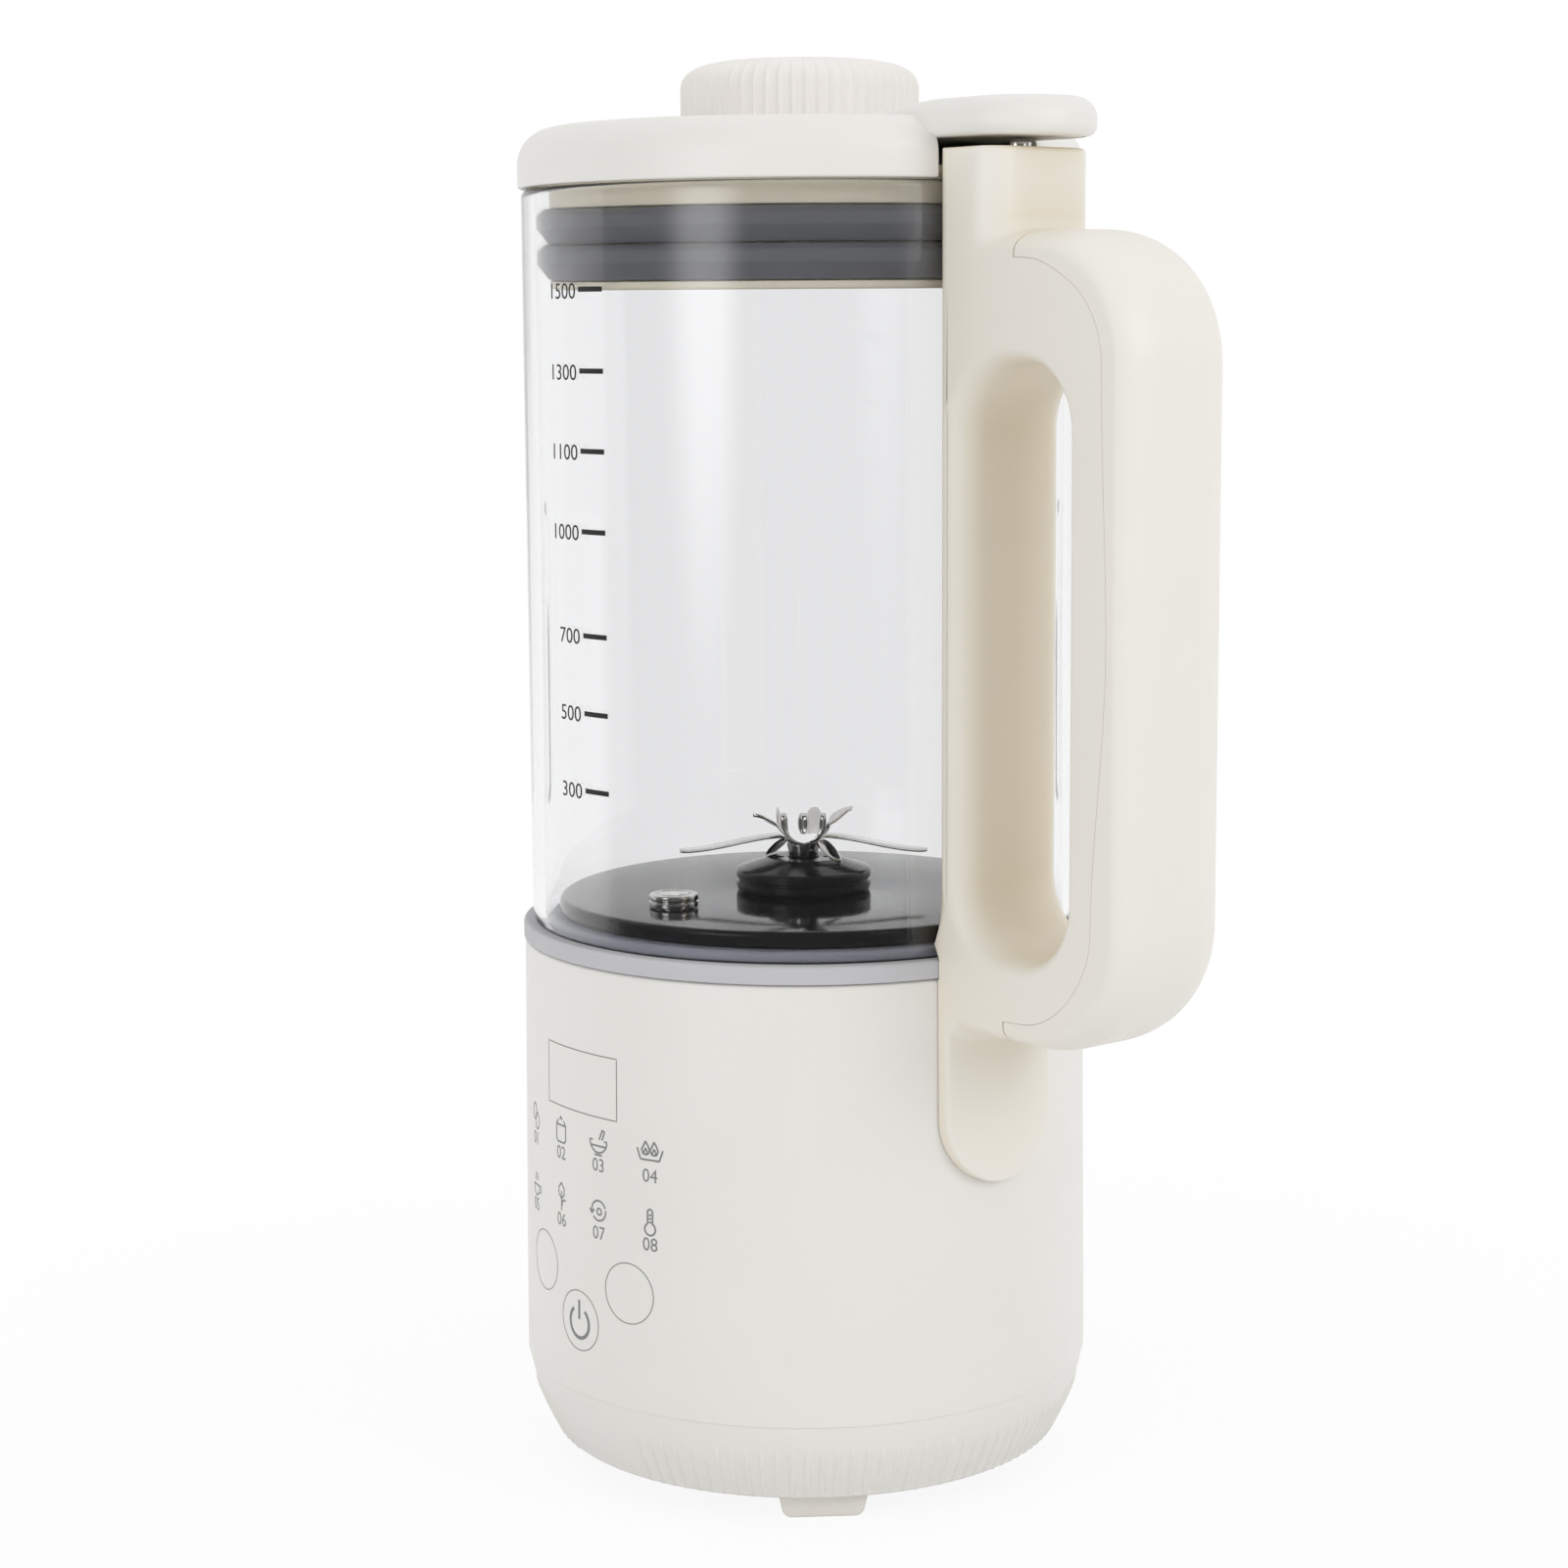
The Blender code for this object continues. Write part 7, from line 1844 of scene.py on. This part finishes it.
class MILKMAKER_OT_cap(bpy.types.Operator):
    """Build the ribbed knob, its seal and its plug"""

    bl_idname = "milkmaker.cap"
    bl_label = "Feed cap"
    bl_options = {"REGISTER", "UNDO"}

    def execute(self, context):
        build_knob()
        build_cap_plug()
        return {"FINISHED"}


class MILKMAKER_OT_inside(bpy.types.Operator):
    """Give the CAD pieces inside the base their finishes"""

    bl_idname = "milkmaker.inside"
    bl_label = "Inside"
    bl_options = {"REGISTER", "UNDO"}

    def execute(self, context):
        finish_inner_pieces()
        return {"FINISHED"}


class MILKMAKER_OT_stage(bpy.types.Operator):
    """Build the camera, the floor, the white room and the lamps"""

    bl_idname = "milkmaker.stage"
    bl_label = "Stage"
    bl_options = {"REGISTER", "UNDO"}

    def execute(self, context):
        build_stage()
        return {"FINISHED"}


class MILKMAKER_PT_panel(bpy.types.Panel):
    """Lists the steps that build the milk maker's looks."""

    bl_idname = "MILKMAKER_PT_panel"
    bl_label = "Milk maker"
    bl_space_type = "VIEW_3D"
    bl_region_type = "UI"
    bl_category = "Milk maker"

    def draw(self, context):
        for step in STEPS:
            self.layout.operator(step.bl_idname)
        for settings in (context.scene.milk_maker_sizes, context.scene.milk_maker_colours):
            for name in settings.__annotations__:
                self.layout.prop(settings, name)


STEPS = (
    MILKMAKER_OT_base,
    MILKMAKER_OT_jug,
    MILKMAKER_OT_print,
    MILKMAKER_OT_floor,
    MILKMAKER_OT_blades,
    MILKMAKER_OT_handle,
    MILKMAKER_OT_lid,
    MILKMAKER_OT_cap,
    MILKMAKER_OT_inside,
    MILKMAKER_OT_stage,
)
CLASSES = (MilkMakerSizes, MilkMakerColours, *STEPS, MILKMAKER_PT_panel)


def register():
    for item in CLASSES:
        bpy.utils.register_class(item)
    bpy.types.Scene.milk_maker_sizes = bpy.props.PointerProperty(type=MilkMakerSizes)
    bpy.types.Scene.milk_maker_colours = bpy.props.PointerProperty(type=MilkMakerColours)


def unregister():
    del bpy.types.Scene.milk_maker_colours
    del bpy.types.Scene.milk_maker_sizes
    for item in reversed(CLASSES):
        bpy.utils.unregister_class(item)


def main():
    register()
    for step in STEPS:
        getattr(bpy.ops.milkmaker, step.bl_idname.split(".")[1])()


if __name__ == "__main__":
    main()
